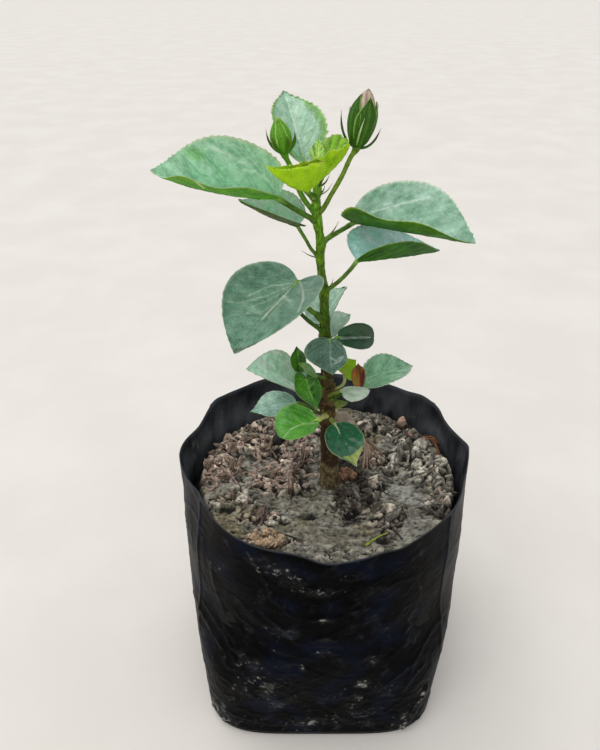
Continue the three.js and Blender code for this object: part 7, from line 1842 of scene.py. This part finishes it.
for z, turn, reach, rise, c0, c1, twin in (
    (299, -10, 5.6, 6.2, "5f8a22", "6a5a3a", 1), (303, -4, 4.0, 5.6, "6a9a26", "5c4a30", 0), (277.4, 0, 6.6, 9.2, "9aaa3c", "7a5a2a", 0), (250.8, -2, 6.2, 7.4, "8a9a34", "7a3e2c", 1),
    (268, 172, 7.6, 3.6, "5f7422", "5a4a30", 0), (231, 176, 8.2, 3.0, "5c7022", "4a4426", 0), (232, 150, 6.4, 6.6, "6a8a24", "4a5a22", 0),
    (292, 190, 2.6, 4.0, "7a9a2c", "6a5a34", 0), (246, 60, 3.6, 4.4, "6f8a2a", "6a4a34", 0),
):
    c, r = stem_at(z)
    a = math.radians(turn)
    d = np.array([math.cos(a), math.sin(a), 0])
    p0, p3 = c + d * (r * 0.6), c + d * (r + reach) + [0, 0, rise]
    pm = (p0 + p3) / 2 + d * 0.5 - [0, 0, 0.10 * rise]
    stem_parts.append(spine([p0, pm, p3], 0.5, 0.08, c0, c1, belly=0.12))
    if twin:
        # its twin across the stalk, pressed to the stem
        a2 = a + math.radians(34)
        d2 = np.array([math.cos(a2), math.sin(a2), 0])
        q3 = c + d2 * (r + reach * 0.42) + [0, 0, rise * 0.7]
        stem_parts.append(spine([c + d2 * (r * 0.6), (c + d2 * r + q3) / 2 + d2 * 0.5, q3], 0.42, 0.08, c0, c1, belly=0.10))
# dry buds and scales in the lower axils
rngs = seeded("axils")
for z0, az, amp in bumps:
    if z0 > 222:
        continue
    c, r = stem_at(z0 + 3.0)
    for k in range(2):
        a = az + rngs.uniform(-0.5, 0.5)
        d = np.array([math.cos(a), math.sin(a), 0])
        p0 = c + d * (r * 0.85) + [0, 0, rngs.uniform(-1.0, 1.0)]
        stem_parts.append(spine([p0, p0 + d * 0.9 + [0, 0, 0.9], p0 + d * rngs.uniform(1.2, 2.2) + [0, 0, rngs.uniform(2.0, 3.6)]], 0.8, 0.15, "5d6a26" if z0 > 200 else "5a4a2c", "8fa050" if z0 > 200 else "8a7a4a", steps=14, squash=0.8, belly=0.3))
V, Q, T, A = merge(stem_parts)
m, nt, b = new_mat("stem_bark")
co = node(nt, "ShaderNodeTexCoord").outputs["Object"]
stretch_co = node(nt, "ShaderNodeMapping", {"Vector": co, "Scale": (1.0, 1.0, 0.32)}).outputs[0]
n1 = ntex(nt, stretch_co, 1300.0, 4.0, 0.65)
n2 = ntex(nt, co, 2600.0, 2.0, 0.6)
ca = node(nt, "ShaderNodeAttribute", attribute_name="tint").outputs["Color"]
col = mixc(nt, 0.75, ca, mixc(nt, span(nt, n1, 0.34, 0.66), srgb("7c7874"), srgb("ffffff")), "MULTIPLY")
col = mixc(nt, calc(nt, "MULTIPLY", span(nt, n2, 0.66, 0.74), 0.35), col, srgb("a8a468"))
nt.links.new(col, b.inputs["Base Color"])
nt.links.new(calc(nt, "ADD", 0.44, calc(nt, "MULTIPLY", n1, 0.25)), b.inputs["Roughness"])
b.inputs["Specular IOR Level"].default_value = 0.12
bump(nt, b, calc(nt, "ADD", n1, calc(nt, "MULTIPLY", n2, 0.4)), 0.6, 0.0005)
stem_ob = build("stem_bark_relief", V, Q, T, [m], None, A)
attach(stem_ob, "root")
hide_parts("stem")

# ------------------------------------------------------------------ flower buds
BUDS = {
    "bud_1": dict(
        foot=[-20.7, -5.6, 318.9], tip=[-23.7, -6.6, 334.5], node=290.2, via=[[-11.1, -3, 296.6], [-13.85, -4.5, 301.8], [-17.84, -6, 313]], stalk=[1.1, 1.25],
        girth=[[0, 1.4], [0.12, 3.1], [0.3, 4.4], [0.48, 4.7], [0.66, 4.0], [0.82, 2.55], [0.93, 1.3], [1, 0.35]],
        bracts=[[180, 5.5, 6, 12, 5.7], [238, 5, 5.7, 9.5, 6.3], [300, 5, 5.7, 9, 6.3], [2, 5, 5.5, 8.5, 6.2], [62, 5, 5.8, 10, 6.4], [122, 5, 5.8, 11, 6.3]],
        first=278, reach=[0.97, 1.0, 0.98, 1.0, 0.99], wide=[0.90, 1.24, 1.0, 1.2, 1.24], over=[0.62, 0.0, 0.5, 0.15, 0.3], petal=0.0, dark="4c8a16", mid="6eaa2c", edge="b4de6c", lean=0.0),
    "bud_2": dict(
        foot=[10.9, -4, 320.9], tip=[15.5, -2, 345.4], node=290.2, via=[[-2.96, -1.6, 293.5], [0.12, -2.5, 299.4], [5, -3.3, 308.6], [8.7, -3.8, 317.2]], stalk=[1.0, 1.15],
        girth=[[0, 1.4], [0.1, 3.6], [0.25, 5.1], [0.4, 6], [0.58, 6], [0.74, 5], [0.86, 3.6], [0.94, 2.2], [1, 0.5]],
        bracts=[[184, 5, 7.8, 14.6, 9.8], [-8, 3, 6.6, 10.4, 8.6], [24, 7, 7, 19.5, 6.2], [78, 5, 7.4, 15, 8.4], [130, 5, 7.4, 16, 9], [262, 6, 6.6, 13.5, 7.4]],
        first=286, reach=[0.88, 0.82, 0.80, 0.80, 0.90], wide=[1.28, 1.05, 1.0, 1.0, 1.15], over=[0.8, 0.3, 0.1, 0.0, 0.35], petal=1.0, dark="224a04", mid="3c6e08", edge="8cb456", lean=0.0),
}


def smooth_table(tab, s):
    tab = np.array(tab, float)
    x, y = tab[:, 0], tab[:, 1]
    m_ = np.gradient(y, x)
    m_[0] = (y[1] - y[0]) / (x[1] - x[0]) * 1.5
    i = np.clip(np.searchsorted(x, s, side="right") - 1, 0, len(x) - 2)
    h = x[i + 1] - x[i]
    t = (s - x[i]) / h
    return (2 * t ** 3 - 3 * t ** 2 + 1) * y[i] + (t ** 3 - 2 * t ** 2 + t) * h * m_[i] + (-2 * t ** 3 + 3 * t ** 2) * y[i + 1] + (t ** 3 - t ** 2) * h * m_[i + 1]


def shell(P, N, thick, attr_rows):
    """Closed thin shell over a grid P (n, K, 3): its outer face is P, its inner one sits thick below."""
    n, K = P.shape[:2]
    V = np.vstack([P.reshape(-1, 3), (P - N * np.asarray(thick)[..., None]).reshape(-1, 3)])
    o = n * K
    i, k = np.meshgrid(np.arange(n - 1), np.arange(K - 1), indexing="ij")
    a = (i * K + k).ravel()
    Qt = np.stack([a, a + 1, a + K + 1, a + K], 1)
    parts = [Qt, Qt[:, ::-1] + o]
    ii, kk = np.arange(n - 1) * K, np.arange(K - 1)
    parts.append(np.stack([ii, ii + K, ii + K + o, ii + o], 1))
    r_ = ii + K - 1
    parts.append(np.stack([r_ + K, r_, r_ + o, r_ + K + o], 1))
    parts.append(np.stack([kk + 1, kk, kk + o, kk + 1 + o], 1))
    t_ = (n - 1) * K + kk
    parts.append(np.stack([t_, t_ + 1, t_ + 1 + o, t_ + o], 1))
    Q = np.vstack(parts)
    f = Qt[len(Qt) // 2]
    if np.cross(V[f[1]] - V[f[0]], V[f[2]] - V[f[0]]) @ N[n // 2, K // 2] < 0:
        Q = Q[:, ::-1]
    return V, Q, {k: np.concatenate([v.reshape((-1,) + v.shape[2:])] * 2) for k, v in attr_rows.items()}


for name, s in BUDS.items():
    foot, tip = np.array(s["foot"], float), np.array(s["tip"], float)
    ax = tip - foot
    H = np.linalg.norm(ax)
    w = ax / H
    u = unit(np.array([1.0, 0, 0]) - w[0] * w)
    v = np.cross(w, u)
    parts = []
    # petals rolled up inside
    n, K = 70, 72
    ss = np.linspace(0.0, 1.0, n)
    g = smooth_table(s["girth"], ss)
    thk = np.linspace(0, 2 * np.pi, K, endpoint=False)
    S, TH = np.meshgrid(ss, thk, indexing="ij")
    turn = TH * 1.0 + 2.6 * S
    saw = (turn / (2 * np.pi / 5)) % 1.0
    R = g[:, None] * 0.93 + s["petal"] * (0.34 * (saw - 0.5) * np.sin(np.pi * np.clip(S, 0, 1)) + 0.10 * np.sin(turn * 15) * smooth(0.5, 0.9, S)) - 0.25
    R = np.maximum(R, 0.12)
    P = foot + (S * H * 0.995)[..., None] * w + (R * np.cos(TH))[..., None] * u + (R * np.sin(TH))[..., None] * v
    Vb = np.vstack([P.reshape(-1, 3), foot[None], tip[None] - 0.1 * w])
    i, k = np.meshgrid(np.arange(n - 1), np.arange(K), indexing="ij")
    a = (i * K + k).ravel()
    bq = (i * K + (k + 1) % K).ravel()
    Qb = np.stack([a, bq, bq + K, a + K], 1)
    kk = np.arange(K)
    Tb = np.vstack([np.stack([np.full(K, n * K), (kk + 1) % K, kk], 1), np.stack([np.full(K, n * K + 1), (n - 1) * K + kk, (n - 1) * K + (kk + 1) % K], 1)])
    fo = fbm(np.stack([turn.ravel() * 2.5, S.ravel() * 3, np.zeros(S.size)], 1), 3).reshape(S.shape)
    if s["petal"]:
        cream, mauve, rose = lin("c9b49c"), lin("7d5f58"), lin("e6d3c6")
        cc = cream + (mauve - cream) * np.clip(0.35 + 0.9 * fo + 0.9 * (0.35 - saw), 0, 1)[..., None]
        cc = cc + (rose - cc) * (np.exp(-((saw - 0.06) / 0.07) ** 2) * 0.8)[..., None]
        cc = cc + (lin("6a4f48") - cc) * (smooth(0.93, 1.0, S) * 0.45)[..., None]
    else:
        cc = lin("8fbe50") + 0 * P
    ccb = np.vstack([cc.reshape(-1, 3), cc[0, :1], cc[-1, :1]])
    parts.append((Vb, Qb, Tb, dict(tint=ccb)))
    # five sepals, joined below and parted above
    for q in range(5):
        c0 = math.radians(s["first"] + 72 * q)
        top = s["reach"][q]
        n, K = 60, 31
        ss = np.linspace(0.015, top, n)
        aa = np.linspace(-1, 1, K)
        S, A_ = np.meshgrid(ss, aa, indexing="ij")
        f = S / top
        half = math.radians(40.0) * np.where(f < 0.52, 1.0, np.maximum(1 - ((np.maximum(f, 0.52) - 0.52) / 0.48) ** 1.7, 0.02))
        if not s["petal"]:
            half = math.radians(38.0) * np.where(f < 0.45, 1.0, np.maximum(1 - 0.16 * ((f - 0.45) / 0.55), 0.0)) * (1 - 0.85 * smooth(0.90, 1.0, f))
        half = half * s["wide"][q]
        g = smooth_table(s["girth"], ss)[:, None]
        over = s["over"][q] * smooth(0.0, 0.25, f) + 0.16 * smooth(0.35, 0.8, f)
        keel = 0.20 * np.exp(-(A_ / 0.16) ** 2) + 0.42 * np.exp(-((np.abs(A_) - 0.95) / 0.09) ** 2) * smooth(0.22, 0.42, f)
        veins = 0.05 * np.cos(A_ * 14) * smooth(0.1, 0.3, f)
        R = g * (1.0 + 0.030 * (1 - A_ ** 2)) + over * 0.55 - 0.28 + keel * 0.8 + veins + 0.25 * smooth(0.9, 1.0, f) * s["petal"]
        ang = c0 + A_ * half
        P = foot + (S * H)[..., None] * w + (R * np.cos(ang))[..., None] * u + (R * np.sin(ang))[..., None] * v
        Nn = np.cos(ang)[..., None] * u + np.sin(ang)[..., None] * v
        V_, Q_, A1 = shell(P, Nn, np.full(P.shape[:2], 0.42), {})
        fo = fbm(np.stack([A_.ravel() * 3 + q * 7, S.ravel() * 5, np.zeros(S.size)], 1), 3).reshape(S.shape)
        dark, mid_, edge_ = lin(s["dark"]), lin(s["mid"]), lin(s["edge"])
        cc = dark + (mid_ - dark) * np.clip(0.5 + 0.8 * fo + 0.35 * (1 - f) - 0.18 * np.exp(-((np.abs(A_) - 0.5) / 0.28) ** 2), 0, 1)[..., None]
        cc = cc + (edge_ - cc) * np.clip(np.exp(-((np.abs(A_) - 0.97) / (0.08 if s["petal"] else 0.11)) ** 2) * smooth(0.12, 0.35, f) * 0.98 + 0.16 * np.exp(-(A_ / 0.10) ** 2) + 0.05 * np.cos(A_ * 14), 0, 1)[..., None]
        cc = cc + (edge_ - cc) * (smooth(0.94, 1.0, f) * 0.6)[..., None]
        if not s["petal"]:
            cc = cc + (edge_ - cc) * (np.exp(-((np.abs(A_) - 0.62) / 0.06) ** 2) * smooth(0.5, 0.8, f) * 0.25)[..., None]
        parts.append((V_, Q_, None, dict(tint=np.vstack([cc.reshape(-1, 3)] * 2))))
    # narrow bracts standing off below the calyx
    for k, (tn, w1, o1, w2, o2) in enumerate(s["bracts"]):
        d = math.cos(math.radians(tn)) * u + math.sin(math.radians(tn)) * v
        p0, p2 = foot + 0.5 * w + 0.6 * d, foot + w2 * w + o2 * d
        p1 = foot + (w1 - 2) * w + (o1 + 0.6) * d
        tt = np.linspace(0, 1, 12)[:, None]
        pts = (1 - tt) ** 2 * p0 + 2 * tt * (1 - tt) * p1 + tt ** 2 * p2
        pale = name == "bud_2" and tn == 262
        if pale:
            side_ = np.cross(w, d)
            pts = pts + (side_ * 1.1) * (tt ** 3) - d * 0.9 * tt ** 2
        lo_, hi_ = ("9cc070", "d6e8b4") if pale else (("3a6a12", "4a4420") if name == "bud_2" else ("4a8a1a", "56501e"))
        path_ = catmull(pts, 34)
        s_l = np.linspace(0, 1, 34)
        rad_ = (0.95 if not pale else 0.5) * (1 - 0.30 * s_l) * (1 - smooth(0.62, 1.0, s_l) * 0.82)
        vv, qq, t3, sh_ = tube(path_, rad_, 10, relief=lambda th, k: 1 + 0.10 * np.cos(3 * th), squash=0.62)
        cc = lin(lo_) + (lin(hi_) - lin(lo_)) * smooth(0.25, 1.0, sh_)[:, None]
        parts.append((vv, qq, t3, dict(tint=cc)))
    # receptacle cup and flower stalk with its joint
    c, r = stem_at(s["node"])
    pts = [c] + [np.array(x, float) for x in s["via"]] + [foot, foot + 0.12 * H * w]
    p1 = catmull(pts, 90)
    L = np.concatenate([[0], np.cumsum(np.linalg.norm(np.diff(p1, axis=0), axis=1))])
    f = L / L[-1]
    rad = s["stalk"][1] + (s["stalk"][0] - s["stalk"][1]) * f
    rad = rad * (1 + 0.35 * np.exp(-((L - r) / 1.8) ** 2)) + 0.28 * np.exp(-((f - 0.72) / 0.012) ** 2) * 0.6
    endl = L[-1] - 0.12 * H
    rad = rad + smooth(endl - 3.2, endl + 0.4, L) * 0.75 + smooth(endl, L[-1], L) * 0.9
    vv, qq, t3, sh_ = tube(p1, rad, 18, relief=lambda th, k: 1 + 0.035 * np.sin(5 * th) + 0.03 * np.sin(2 * th + k * 0.2))
    nz = fbm(vv * 0.5, 3)
    lo_, hi_ = (lin("466812"), lin("8ca83a")) if name == "bud_2" else (lin("4c8416"), lin("70a630"))
    cc = lo_ + (hi_ - lo_) * np.clip(0.45 + nz + 0.3 * smooth(0.1, 0.5, sh_) - 0.3 * smooth(0.75, 1.0, sh_), 0, 1)[:, None]
    parts.append((vv, qq, t3, dict(tint=cc)))
    V, Q, T, A = merge(parts)
    m, nt, b = new_mat(name + "_skin")
    co = node(nt, "ShaderNodeTexCoord").outputs["Object"]
    n1 = ntex(nt, co, 1600.0, 3.0, 0.6)
    ca = node(nt, "ShaderNodeAttribute", attribute_name="tint").outputs["Color"]
    col = mixc(nt, 0.6, ca, mixc(nt, span(nt, n1, 0.3, 0.7), srgb("a4a4a0"), srgb("ffffff")), "MULTIPLY")
    nt.links.new(col, b.inputs["Base Color"])
    nt.links.new(calc(nt, "ADD", 0.40, calc(nt, "MULTIPLY", n1, 0.2)), b.inputs["Roughness"])
    b.inputs["Specular IOR Level"].default_value = 0.18
    bump(nt, b, n1, 0.4, 0.0003)
    ob = build(name + "_calyx", V, Q, T, [m], None, A)
    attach(ob, "root")
    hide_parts(name)
